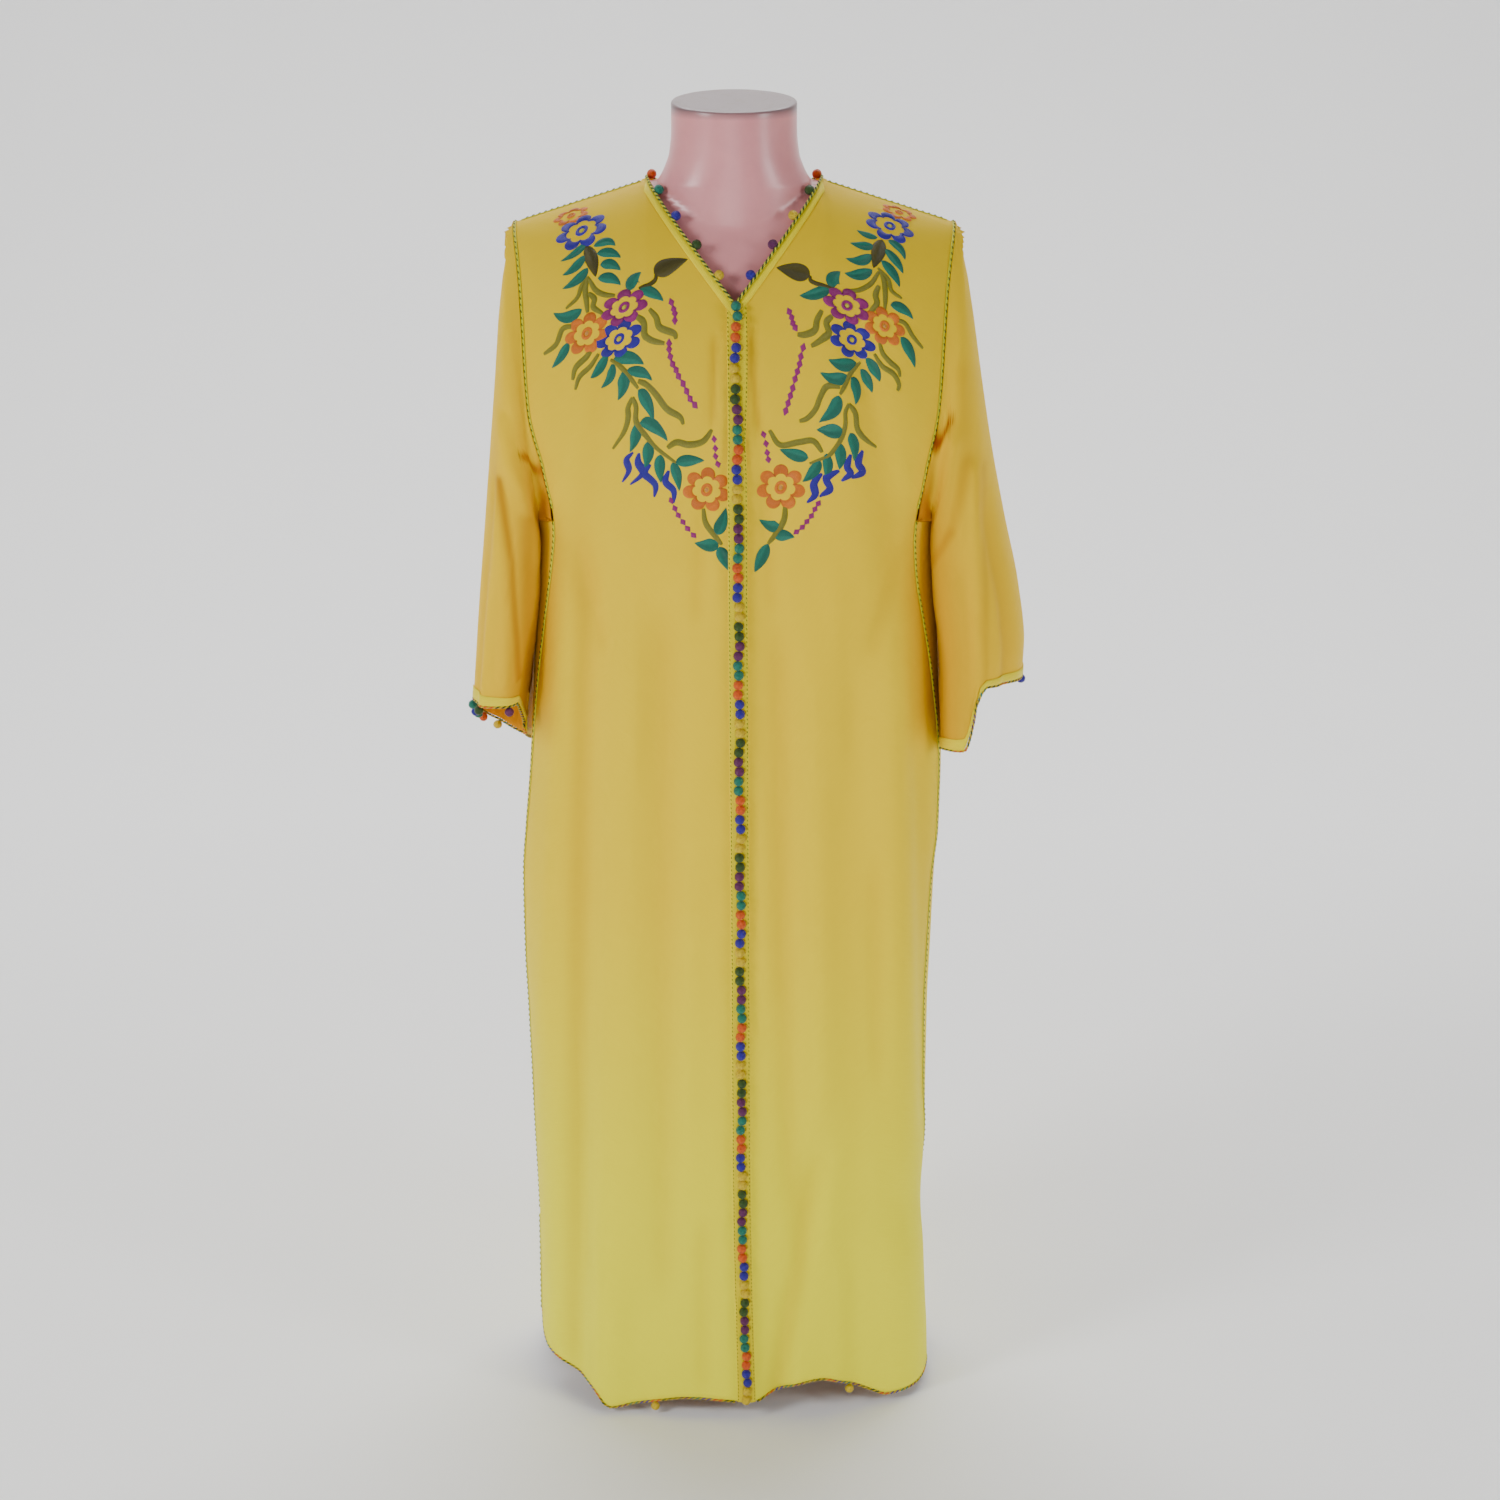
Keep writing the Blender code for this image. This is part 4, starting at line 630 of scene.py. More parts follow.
# Sleeves, as in the solids
sleeveColumns = (
    "along", "outerX", "outerZ", "underX", "underZ", "front", "back", "tip", "square", "outerY", "lobe",
)
sleeveSections = {
    -1: (
        (0.00, 0.1960, 1.126, 0.1700, 0.872, 0.066, 0.066, 0.00, 1.00, 0.000, 0.000),
        (0.10, 0.2040, 1.108, 0.1780, 0.864, 0.069, 0.068, 0.00, 0.95, 0.000, 0.000),
        (0.22, 0.2090, 1.060, 0.1740, 0.850, 0.071, 0.070, 0.03, 0.88, 0.000, 0.000),
        (0.36, 0.2145, 0.994, 0.1720, 0.826, 0.073, 0.072, 0.08, 0.80, 0.000, 0.000),
        (0.50, 0.2205, 0.928, 0.1740, 0.797, 0.075, 0.073, 0.14, 0.74, 0.000, 0.000),
        (0.65, 0.2270, 0.856, 0.1780, 0.757, 0.076, 0.073, 0.22, 0.70, 0.000, 0.000),
        (0.80, 0.2335, 0.782, 0.1860, 0.708, 0.076, 0.072, 0.32, 0.66, 0.000, 0.000),
        (1.00, 0.2420, 0.678, 0.1960, 0.650, 0.075, 0.068, 0.40, 0.62, 0.000, 0.000),
    ),
    1: (
        (0.00, 0.1960, 1.126, 0.1700, 0.872, 0.066, 0.066, 0.00, 1.00, 0.000, 0.000),
        (0.10, 0.2045, 1.108, 0.1790, 0.864, 0.069, 0.068, 0.00, 0.95, 0.002, 0.000),
        (0.22, 0.2120, 1.060, 0.1750, 0.850, 0.071, 0.070, 0.02, 0.90, 0.006, 0.000),
        (0.36, 0.2225, 0.994, 0.1730, 0.828, 0.073, 0.072, 0.02, 0.86, 0.010, 0.000),
        (0.50, 0.2340, 0.928, 0.1740, 0.804, 0.075, 0.074, 0.02, 0.84, 0.014, 0.000),
        (0.65, 0.2480, 0.862, 0.1780, 0.776, 0.076, 0.076, 0.04, 0.82, 0.018, 0.002),
        (0.80, 0.2630, 0.796, 0.1830, 0.742, 0.077, 0.078, 0.06, 0.80, 0.020, 0.012),
        (0.92, 0.2700, 0.742, 0.1820, 0.718, 0.077, 0.078, 0.12, 0.80, 0.020, 0.036),
        (1.00, 0.2690, 0.710, 0.1830, 0.706, 0.076, 0.076, 0.16, 0.80, 0.020, 0.060),
    ),
}
sleeveFolds = (
    (-1, 0.14, 0.45, 1.10, 0.035, -0.0050),
    (-1, 0.22, 0.40, 1.10, 0.035, 0.0040),
    (-1, 0.36, 0.08, 0.34, 0.030, -0.0045),
    (-1, 0.78, 0.30, 1.10, 0.050, -0.0045),
    (1, 0.17, 0.48, 1.10, 0.035, -0.0070),
    (1, 0.25, 0.45, 1.10, 0.035, 0.0040),
    (1, 0.35, 0.08, 0.32, 0.032, -0.0060),
    (1, 0.80, 0.30, 1.10, 0.050, -0.0050),
)
sleeveSettings = {
    "rows": 96, "blend": 0.26, "near": 0.0032, "far": 0.0068, "farFrom": 0.5, "farBlend": 0.4,
    "least": 0.0022, "startGap": 0.0005, "startBlend": 0.12, "underLift": 0.0014, "underReach": 3.0,
    "margin": 8.0, "foldUnit": 0.03,
    "foldBlend": 0.12, "lobeEdge": 0.02, "lobeBlend": 0.38, "creaseRows": 12.0, "centre": 0.205,
}


def armholeLoop(frontSheet, backSheet, side):
    # from the shoulder down the front, round under the arm and up the back
    backEdge, backNext = (-1, -2) if side < 0 else (0, 1)

    def both(frontValues, backValues):
        joined = np.concatenate([frontValues[:underRow + 1], backValues[underRow - 1:0:-1]])
        joined[0] = (frontValues[0] + backValues[0]) / 2
        joined[underRow] = (frontValues[underRow] + backValues[underRow]) / 2
        return joined

    front = frontSheet["points"]
    back = backSheet["points"]
    loop = both(front[:, -1], back[:, backEdge])
    normals = unit(both(frontSheet["normals"][:, -1], backSheet["normals"][:, backEdge]))
    return loop, normals, unit(both(front[:, -1] - front[:, -2], back[:, backEdge] - back[:, backNext]))


def sleeveFold(side, turn, share):
    total = np.zeros(turn.shape)
    blend = sleeveSettings["foldBlend"]
    for foldSide, at, start, end, width, height in sleeveFolds:
        if foldSide == side:
            distance = np.abs(turn - at)
            distance = np.minimum(distance, 1.0 - distance)
            total += height * between(share, start, blend, end, blend) * np.exp(-(distance / width) ** 2)
    return total


def clearOfBody(points, side, clearance):
    x = points[:, 0] * side
    y = points[:, 1]
    z = points[:, 2]
    power = bodyValue("power", z)
    full = faceDepth(y < 0, z) * faceFullness(y < 0, ridgeHeight(x) - z)
    share = np.clip(np.abs(y) / (full + clothThickness + clearance), 0.0, 1.0)
    angle = np.sign(y) * np.degrees(np.arcsin(share ** (power / 2.0)))
    margin = sleeveSettings["margin"]
    overFront = angle < margin - fromTable(seamAngles, seamColumns, "front", z)
    overBack = angle > fromTable(seamAngles, seamColumns, "back", z) - margin
    limit = (sideWidth(side, z) + clothThickness + clearance) * (1.0 - share ** power) ** (1.0 / power)
    points[:, 0] = side * np.where(overFront | overBack, np.maximum(x, limit), x)
    return points


# Sleeve creases on the front, placed one by one: side, from x and z, to x and z, width, height and shade
# the shade of each crease is painted shade, deep orange
sleeveCreases = (
    (-1, -0.2084, 0.9600, -0.2014, 0.9266, 0.0085, 0.0050, 0.00),
    (-1, -0.2014, 0.9266, -0.1879, 0.8993, 0.0085, 0.0050, 0.00),
    (-1, -0.1879, 0.9321, -0.1722, 0.9194, 0.0042, -0.0030, 0.75),
    (-1, -0.1722, 0.9194, -0.1595, 0.8875, 0.0042, -0.0030, 0.85),
    (-1, -0.1861, 0.8993, -0.1751, 0.8368, 0.0075, 0.0030, 0.05),
    (-1, -0.2090, 0.9103, -0.2003, 0.8368, 0.0045, -0.0030, 0.55),
    (-1, -0.2003, 0.8368, -0.1981, 0.7524, 0.0045, -0.0030, 0.55),
    (-1, -0.1981, 0.7524, -0.1985, 0.7047, 0.0045, -0.0030, 0.55),
    (-1, -0.2182, 0.9012, -0.2096, 0.8275, 0.0065, 0.0030, 0.00),
    (-1, -0.2096, 0.8275, -0.2074, 0.7142, 0.0065, 0.0030, 0.00),
    (-1, -0.1858, 0.8737, -0.1920, 0.6757, 0.0095, 0.0000, 0.45),
    (-1, -0.1652, 0.8368, -0.1799, 0.7524, 0.0050, -0.0015, 0.85),
    (-1, -0.1984, 1.1226, -0.1875, 1.0444, 0.0080, -0.0018, 0.05),
    (-1, -0.2060, 1.0706, -0.2024, 0.9824, 0.0080, 0.0018, 0.00),
    (1, 0.2007, 1.0073, 0.2062, 0.9284, 0.0075, -0.0040, 0.14),
    (1, 0.2062, 0.9284, 0.1943, 0.8645, 0.0075, -0.0048, 0.30),
    (1, 0.1943, 0.8645, 0.1730, 0.8135, 0.0065, -0.0040, 0.45),
    (1, 0.1933, 0.9465, 0.1771, 0.8737, 0.0085, 0.0044, 0.00),
    (1, 0.1774, 0.9411, 0.1920, 0.9645, 0.0036, -0.0030, 1.00),
    (1, 0.1605, 0.8966, 0.1644, 0.8368, 0.0050, -0.0015, 0.95),
    (1, 0.1644, 0.8368, 0.1780, 0.7901, 0.0045, -0.0012, 0.80),
    (1, 0.2224, 0.9194, 0.2281, 0.7142, 0.0042, -0.0028, 0.22),
    (1, 0.2153, 0.9194, 0.2217, 0.7142, 0.0060, 0.0030, 0.00),
    (1, 0.1929, 0.8088, 0.2036, 0.6661, 0.0110, 0.0034, 0.00),
    (1, 0.1822, 0.7618, 0.1896, 0.6757, 0.0055, -0.0020, 0.30),
    (1, 0.2418, 0.8368, 0.2513, 0.7333, 0.0090, -0.0014, 0.08),
    (1, 0.2104, 1.0706, 0.2226, 0.9465, 0.0080, 0.0016, 0.00),
    (-1, -0.2160, 0.9400, -0.1960, 0.8700, 0.0090, -0.0022, 0.10),
    (-1, -0.2080, 0.8600, -0.2200, 0.7300, 0.0090, -0.0022, 0.12),
    (1, 0.2080, 0.9200, 0.1900, 0.8500, 0.0090, -0.0024, 0.12),
    (1, 0.2200, 0.8400, 0.2340, 0.7100, 0.0090, -0.0022, 0.10),
)
# backRows: the last rows of the table lie behind
creaseSettings = {"backRows": 4, "from": 0.025, "blend": 0.025, "ridgeGain": 1.4}
stripSettings = {
    "edge": -0.1990, "soft": 0.0045, "level": 0.7010, "from": 0.50, "back": 0.020, "backFrom": 0.35,
    "backBlend": 0.6, "frontFrom": 0.030, "frontBlend": 0.015,
}
headSettings = {"rows": 18, "passes": 70, "clearRows": 11.0}


def levelStrip(points):
    # the front strip of the left sleeve ends level at the cuff; beyond its fold the cloth stands back
    p = stripSettings
    share = np.linspace(0.0, 1.0, len(points))[:, None]
    last = points[-1]
    front = ease((-last[:, 1] - p["frontFrom"]) / p["frontBlend"])
    inStrip = ease((p["edge"] - last[:, 0]) / p["soft"] + 0.5)
    behind = front * (1.0 - inStrip)
    lift = np.maximum(0.0, p["level"] - last[:, 2]) * (front * inStrip)
    points[..., 2] += lift[None, :] * ease((share - p["from"]) / (1.0 - p["from"]))
    points[..., 1] += p["back"] * behind[None, :] * ease((share - p["backFrom"]) / p["backBlend"])
    return points


def calmHead(points, side):
    # an even run from the armhole seam into the sleeve
    rows = headSettings["rows"]
    for _ in range(headSettings["passes"]):
        points[1:rows] = (points[:rows - 1] + points[2:rows + 1]) / 2
    for row in range(2, rows):
        clearance = sleeveSettings["least"] * float(ease(row / headSettings["clearRows"]))
        points[row] = clearOfBody(points[row], side, clearance)
    return points


def sleeveCreaseHeight(side, points):
    # height towards the outside along y, and how deep the orange of the painted shade is
    c = creaseSettings
    height = np.zeros(points.shape[:-1])
    paintedShade = np.zeros(points.shape[:-1])
    x = points[..., 0]
    z = points[..., 2]
    for number, (onSide, x0, z0, x1, z1, width, rise, shade) in enumerate(sleeveCreases):
        if onSide != side:
            continue
        sign = 1.0 if number >= len(sleeveCreases) - c["backRows"] else -1.0
        dx = x1 - x0
        dz = z1 - z0
        t = np.clip(((x - x0) * dx + (z - z0) * dz) / math.hypot(dx, dz) ** 2, 0.0, 1.0)
        distance = np.hypot(x - x0 - t * dx, z - z0 - t * dz)
        soft = np.exp(-(distance / width) ** 2) * ease((sign * points[..., 1] - c["from"]) / c["blend"])
        if rise < 0:
            height = np.where(np.abs(soft * rise) > np.abs(height), soft * rise, height)
        else:
            height = np.maximum(height, soft * (rise * c["ridgeGain"]))
        paintedShade = np.maximum(paintedShade, soft * shade)
    return height, paintedShade


def sleeveRing(side, share, loop):
    # a section of the sleeve: the armhole's own line at first, then the section of the table
    s = sleeveSettings
    table = sleeveSections[side]
    value = {name: float(fromTable(table, sleeveColumns, name, share)) for name in sleeveColumns[1:]}
    angle = 2 * math.pi * armholeTurns
    swing = signedPower(np.cos(angle), value["square"])
    reach = signedPower(np.sin(angle), value["square"])
    fold = 1.0 + sleeveFold(side, armholeTurns, share) / s["foldUnit"]
    y = np.where(reach > 0, -value["front"] * reach, -value["back"] * reach)
    y = y + value["outerY"] * np.maximum(swing, 0.0)
    halfX = (value["outerX"] - value["underX"]) / 2
    x = side * ((value["outerX"] + value["underX"]) / 2 + halfX * swing * fold)
    hanging = value["lobe"] * ease((s["lobeEdge"] - swing) / s["lobeBlend"])
    halfZ = (value["outerZ"] - value["underZ"]) / 2
    z = (value["outerZ"] + value["underZ"]) / 2 + halfZ * swing - value["tip"] * y - hanging
    blend = float(ease(share / s["blend"]))
    ring = loop * (1.0 - blend) + np.stack([x, y, z], axis=-1) * blend
    clearance = s["near"] + (s["far"] - s["near"]) * float(ease((share - s["farFrom"]) / s["farBlend"]))
    return clearOfBody(ring, side, max(s["least"], clearance * float(ease(share / s["startBlend"]))))


def sleeveSheet(side, frontSheet, backSheet):
    s = sleeveSettings
    loop, normals, away = armholeLoop(frontSheet, backSheet, side)
    nearUnder = np.maximum(0.0, 1.0 - np.abs(armholePlaces - underarmRow) / s["underReach"])
    liftOff = clothThickness + seatGap + s["underLift"] * nearUnder
    rows = [loop + normals * liftOff[:, None] + away * s["startGap"]]
    rows += [sleeveRing(side, share, loop) for share in np.linspace(0.0, 1.0, s["rows"])[1:]]
    points = np.array(rows)
    height, paintedShade = sleeveCreaseHeight(side, points)
    begun = ease(np.arange(len(rows)) / s["creaseRows"])[:, None]
    points[..., 1] += np.where(points[..., 1] < 0, -height, height) * begun
    if side < 0:
        points = levelStrip(points)
    sheet = makeSheet(calmHead(points, side), closed=True, centre=(side * s["centre"], 0.0))
    sheet["normals"][0] = normals
    sheet["shade"] = paintedShade
    return sheet


# Meshes and objects
def addObject(name, points, faces, materials, body="root", indices=None, uvs=None,
              attributes=None):
    mesh = bpy.data.meshes.new(name)
    points = np.asarray(points, dtype=float).copy()
    points[:, 2] += floorLift
    mesh.from_pydata(points.tolist(), [], faces)
    for material in materials:
        mesh.materials.append(material)
    if indices is not None:
        mesh.polygons.foreach_set("material_index", np.asarray(indices, dtype=np.int32))
    if uvs is not None:
        layer = mesh.uv_layers.new(name="pattern")
        loops = np.empty(len(mesh.loops), dtype=np.int32)
        mesh.loops.foreach_get("vertex_index", loops)
        layer.data.foreach_set("uv", np.asarray(uvs, dtype=np.float32)[loops].ravel())
    for key, values in (attributes or {}).items():
        layer = mesh.attributes.new(key, "FLOAT", "POINT")
        layer.data.foreach_set("value", np.asarray(values, dtype=np.float32))
    mesh.shade_smooth()
    mesh.update()
    item = bpy.data.objects.new(name, mesh)
    bpy.context.collection.objects.link(item)
    if body:
        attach(item, body)
    return item


def quads(index, wrapAxis=None):
    # the corners of each cell in a grid of indices; the axis named closes on itself
    if wrapAxis is not None:
        index = np.concatenate([index, index.take([0], axis=wrapAxis)], axis=wrapAxis)
    corners = (index[:-1, :-1], index[:-1, 1:], index[1:, 1:], index[1:, :-1])
    return np.stack(corners, axis=-1).reshape(-1, 4)


def gridFaces(rows, columns, wrapAxis=None):
    return quads(np.arange(rows * columns).reshape(rows, columns), wrapAxis).tolist()


def tubeFaces(count, sides):
    # quads round a row of rings, and a cap at either end
    last = (count - 1) * sides
    return gridFaces(count, sides, 1) + [list(range(sides))[::-1], list(range(last, last + sides))]


def arcUV(points):
    # lengths over the cloth across and down a grid
    across = np.cumsum(np.linalg.norm(np.diff(points, axis=1), axis=2), axis=1)
    down = np.cumsum(np.linalg.norm(np.diff(points, axis=0), axis=2), axis=0)
    return np.pad(across, ((0, 0), (1, 0))), -np.pad(down, ((1, 0), (0, 0)))


def shell(name, sheet, low, high, material, rim=0.0004, paintedShade=None):
    # closed thin wall with a rounded rim; the attribute inside marks painted shade on the inner layer and,
    # less, on the rim, and deep carries the painted shade given
    closed = sheet["closed"]
    pad = ((1, 1), (0, 0)) if closed else ((1, 1), (1, 1))
    outer = np.pad(liftSheet(sheet, high), pad + ((0, 0),), mode="edge")
    inner = np.pad(liftSheet(sheet, low), pad + ((0, 0),), mode="edge")
    middle = (outer + inner) / 2
    away = np.zeros_like(middle)
    border = np.zeros(middle.shape[:2], dtype=bool)
    away[0] += unit(middle[1] - middle[2])
    away[-1] += unit(middle[-2] - middle[-3])
    border[[0, -1]] = True
    if not closed:
        away[:, 0] += unit(middle[:, 1] - middle[:, 2])
        away[:, -1] += unit(middle[:, -2] - middle[:, -3])
        border[:, [0, -1]] = True
    outer[border] = middle[border] + unit(away[border]) * rim
    count = border.size
    index = np.arange(count).reshape(border.shape)
    outerFaces = quads(index, 1 if closed else None)
    innerFaces = quads(np.where(border, index, count + index), 1 if closed else None)
    facing = np.cross(outer[3, 4] - outer[3, 3], outer[4, 3] - outer[3, 3])
    if float(np.dot(facing, sheet["normals"][2, 2])) < 0:
        outerFaces = outerFaces[:, ::-1]
    else:
        innerFaces = innerFaces[:, ::-1]
    faces = np.concatenate([outerFaces, innerFaces])
    used = np.zeros(2 * count, dtype=bool)
    used[faces.ravel()] = True
    remap = np.cumsum(used) - 1
    uv = np.stack([np.pad(lengths, pad, mode="edge") for lengths in arcUV(sheet["points"])], axis=-1)
    uv = uv.reshape(-1, 2)
    deep = np.zeros(border.shape) if paintedShade is None else np.pad(paintedShade, pad, mode="edge")
    attributes = {
        "inside": np.concatenate([np.where(border, 0.4, 0.0).ravel(), np.ones(count)])[used],
        "deep": np.tile(deep.ravel(), 2)[used],
    }
    points = np.concatenate([outer.reshape(-1, 3), inner.reshape(-1, 3)])[used]
    uvs = np.concatenate([uv, uv])[used]
    return addObject(name, points, remap[faces].tolist(), [material], uvs=uvs,
                     attributes=attributes)


def loftMesh(name, rings, material):
    rings = np.asarray(rings, dtype=float)
    return addObject(name, rings.reshape(-1, 3), tubeFaces(*rings.shape[:2]), [material])


stageDone("shape functions")


# Shader groups shared by the materials, made once
def fill(tree, node, inputs):
    # each input takes a link, a colour or a plain value
    for key, value in inputs.items():
        socket = node.inputs[key]
        if isinstance(value, bpy.types.NodeSocket):
            tree.links.new(value, socket)
        else:
            socket.default_value = (*value, 1.0) if socket.type == "RGBA" else value


def addNode(tree, kind, inputs=None, **settings):
    node = tree.nodes.new(kind)
    for key, value in settings.items():
        setattr(node, key, value)
    fill(tree, node, inputs or {})
    return node


def mathNode(tree, operation, *values):
    return addNode(tree, "ShaderNodeMath", dict(enumerate(values)), operation=operation).outputs[0]


def mixColour(tree, factor, first, second, blend="MIX"):
    inputs = {0: factor, 6: first, 7: second}
    return addNode(tree, "ShaderNodeMix", inputs, data_type="RGBA", blend_type=blend).outputs[2]


def noiseNode(tree, place, **inputs):
    return addNode(tree, "ShaderNodeTexNoise", {"Vector": place, **inputs}).outputs["Fac"]


def mapRange(tree, value, limits):
    return addNode(tree, "ShaderNodeMapRange", {0: value, **limits}).outputs[0]


def stretch(tree, place, scale):
    return addNode(tree, "ShaderNodeMapping", {"Vector": place, "Scale": scale}).outputs[0]


def patternPlace(tree):
    return addNode(tree, "ShaderNodeUVMap", uv_map="pattern").outputs[0]


def objectPlace(tree):
    return addNode(tree, "ShaderNodeTexCoord").outputs["Object"]


def axes(tree, place):
    return addNode(tree, "ShaderNodeSeparateXYZ", {0: place}).outputs


def attribute(tree, name):
    return addNode(tree, "ShaderNodeAttribute", attribute_name=name).outputs["Fac"]


def startGroup(name, inputs, outputs):
    group = bpy.data.node_groups.new(name, "ShaderNodeTree")
    for label, value in inputs.items():
        socket = group.interface.new_socket(label, in_out="INPUT", socket_type="NodeSocketFloat")
        socket.default_value = value
    for label in outputs:
        group.interface.new_socket(label, in_out="OUTPUT", socket_type="NodeSocketFloat")
    return group, group.nodes.new("NodeGroupInput").outputs, group.nodes.new("NodeGroupOutput")


def makeWeaveGroup():
    # plain weave over the pattern coordinates, with uneven slubs along the weft
    group, given, end = startGroup("plain_weave", {"Pitch": 0.0006}, ("Height", "Slub"))
    place = patternPlace(group)
    along = axes(group, place)
    rate = mathNode(group, "DIVIDE", math.pi, given["Pitch"])
    waves = [mathNode(group, "SINE", mathNode(group, "MULTIPLY", along[k], rate)) for k in (0, 1)]
    slub = noiseNode(group, stretch(group, place, (45.0, 900.0, 1.0)), Scale=1.0, Detail=2.0)
    height = mathNode(group, "MULTIPLY_ADD", mathNode(group, "MULTIPLY", *waves), 0.35, slub)
    fill(group, end, {"Height": height, "Slub": slub})
    return group


def makeThreadGroup():
    # rows of thread across the first pattern coordinate; Shade is lighter on each thread's crest, a painted
    # highlight, and darker between threads, painted shade
    group, given, end = startGroup("thread_rows", {"Pitch": 0.0005, "Waver": 0.35}, ("Height", "Shade"))
    place = patternPlace(group)
    noise = noiseNode(group, place, Scale=420.0, Detail=1.0)
    rows = mathNode(group, "DIVIDE", axes(group, place)[0], given["Pitch"])
    turns = mathNode(group, "ADD", rows, mathNode(group, "MULTIPLY", noise, given["Waver"]))
    wave = mathNode(group, "SINE", mathNode(group, "MULTIPLY", turns, 2 * math.pi))
    height = mathNode(group, "MULTIPLY_ADD", wave, 0.5, 0.5)
    shade = mathNode(group, "MULTIPLY_ADD", height, 0.6, mathNode(group, "MULTIPLY", noise, 0.4))
    fill(group, end, {"Height": height, "Shade": shade})
    return group


def makeWearGroup():
    # slight soiling and rubbing: soft uneven patches, and edges picked out by the pointiness of the surface
    group, given, end = startGroup("soft_wear", {"Scale": 9.0}, ("Patches", "Edges"))
    patches = noiseNode(group, objectPlace(group), Scale=given["Scale"], Detail=4.0, Roughness=0.6)
    sharp = addNode(group, "ShaderNodeNewGeometry").outputs["Pointiness"]
    edges = mapRange(group, sharp, {"From Min": 0.50, "From Max": 0.62})
    fill(group, end, {"Patches": patches, "Edges": edges})
    return group


weaveGroup = makeWeaveGroup()
threadGroup = makeThreadGroup()
wearGroup = makeWearGroup()


def useGroup(tree, group, inputs):
    return addNode(tree, "ShaderNodeGroup", inputs, node_tree=group).outputs


def startMaterial(name, inputs):
    material = bpy.data.materials.new(name)
    material.use_nodes = True
    shader = material.node_tree.nodes["Principled BSDF"]
    fill(material.node_tree, shader, inputs)
    return material, material.node_tree, shader


def ramp(tree, factor, stops):
    node = addNode(tree, "ShaderNodeValToRGB", {0: factor})
    while len(node.color_ramp.elements) < len(stops):
        node.color_ramp.elements.new(0.5)
    for element, (place, colour) in zip(node.color_ramp.elements, stops):
        element.position = place
        element.color = (*colour, 1.0)
    return node.outputs[0]


def setSurface(tree, shader, colour, mask, rough, height=None, distance=0.0, strength=1.0):
    # the colour, a roughness that follows the mask between two values, and a bump where there is a height
    roughness = mapRange(tree, mask, {"To Min": rough[0], "To Max": rough[1]})
    fill(tree, shader, {"Base Color": colour, "Roughness": roughness})
    if height is not None:
        bump = addNode(tree, "ShaderNodeBump", {"Strength": strength, "Distance": distance, "Height": height})
        fill(tree, shader, {"Normal": bump.outputs[0]})


# The crepe's ramp over height is painted light: darker mustard at the shoulders, lighter lemon at the hem
# Painted shade turns it orange in deep folds, inside and on the sleeves
crepeSettings = {
    "stops": (
        (0.0, (0.965, 0.930, 0.008)), (0.18, (0.965, 0.870, 0.002)), (0.42, (0.960, 0.705, 0.001)),
        (0.66, (0.950, 0.660, 0.001)), (0.93, (0.780, 0.540, 0.001)),
    ),
    # the sleeves' ramp is more orange all over: painted shade
    "sleeveShadedStops": (
        (0.0, (0.950, 0.630, 0.001)), (0.60, (0.950, 0.610, 0.001)), (0.75, (0.940, 0.610, 0.001)),
        (0.93, (0.820, 0.560, 0.001)),
    ),
    "slub": (0.90, 0.84, 0.72), "slubShare": 0.5, "deep": (0.38, 0.075, 0.0), "inside": (0.74, 0.27, 0.001),
    "insideShadeShare": 0.85, "rampScale": 0.8, "rampStart": -0.011, "patches": 0.05,
    "shader": {
        "Sheen Weight": 0.12, "Sheen Roughness": 0.45, "Sheen Tint": (1.0, 0.72, 0.15),
        "Specular IOR Level": 0.18, "Specular Tint": (1.0, 0.80, 0.35),
    },
}


def makeCloth(name, stops):
    s = crepeSettings
    material, tree, shader = startMaterial(name, s["shader"])
    wear = useGroup(tree, wearGroup, {"Scale": 7.0})
    weave = useGroup(tree, weaveGroup, {"Pitch": 0.00055})
    # painted light: the colour ramp follows height, darker towards the top
    tall = mathNode(tree, "MULTIPLY_ADD", axes(tree, objectPlace(tree))[2], s["rampScale"], s["rampStart"])
    uneven = mathNode(tree, "MULTIPLY_ADD", wear["Patches"], s["patches"], -s["patches"] / 2)
    colour = ramp(tree, mathNode(tree, "ADD", tall, uneven), stops)
    darker = mixColour(tree, 1.0, colour, s["slub"], "MULTIPLY")
    colour = mixColour(tree, mathNode(tree, "MULTIPLY", weave["Slub"], s["slubShare"]), colour, darker)
    # painted shade: deep orange where the attribute deep is set
    colour = mixColour(tree, attribute(tree, "deep"), colour, s["deep"])
    # painted shade: orange on the inner layer of the cloth, and partly on its rims
    inside = mathNode(tree, "MULTIPLY", attribute(tree, "inside"), s["insideShadeShare"])
    colour = mixColour(tree, inside, colour, s["inside"])
    setSurface(tree, shader, colour, weave["Slub"], (0.52, 0.72), weave["Height"], 0.00012, 0.7)
    return material


threadSettings = {"pitch": 0.0005, "dark": 0.45, "bright": 1.35, "lift": 0.007, "groove": 0.38}


def makeThread(name, colour):
    # satin and cord threads: rows of thread with a painted highlight on their crests and painted shade in the
    # grooves, and more painted shade from the mesh attribute
    s = threadSettings
    material, tree, shader = startMaterial(name, {"Sheen Weight": 0.08, "Specular IOR Level": 0.32})
    rows = useGroup(tree, threadGroup, {"Pitch": s["pitch"]})
    dark = tuple(c * s["dark"] for c in colour)
    bright = tuple(min(1.0, c * s["bright"] + s["lift"]) for c in colour)
    shade = mixColour(tree, rows["Shade"], dark, bright)
    shade = mixColour(tree, attribute(tree, "paintedShade"), shade, tuple(c * s["groove"] for c in colour))
    setSurface(tree, shader, shade, rows["Shade"], (0.36, 0.52), rows["Height"], 0.00018, 0.8)
    return material


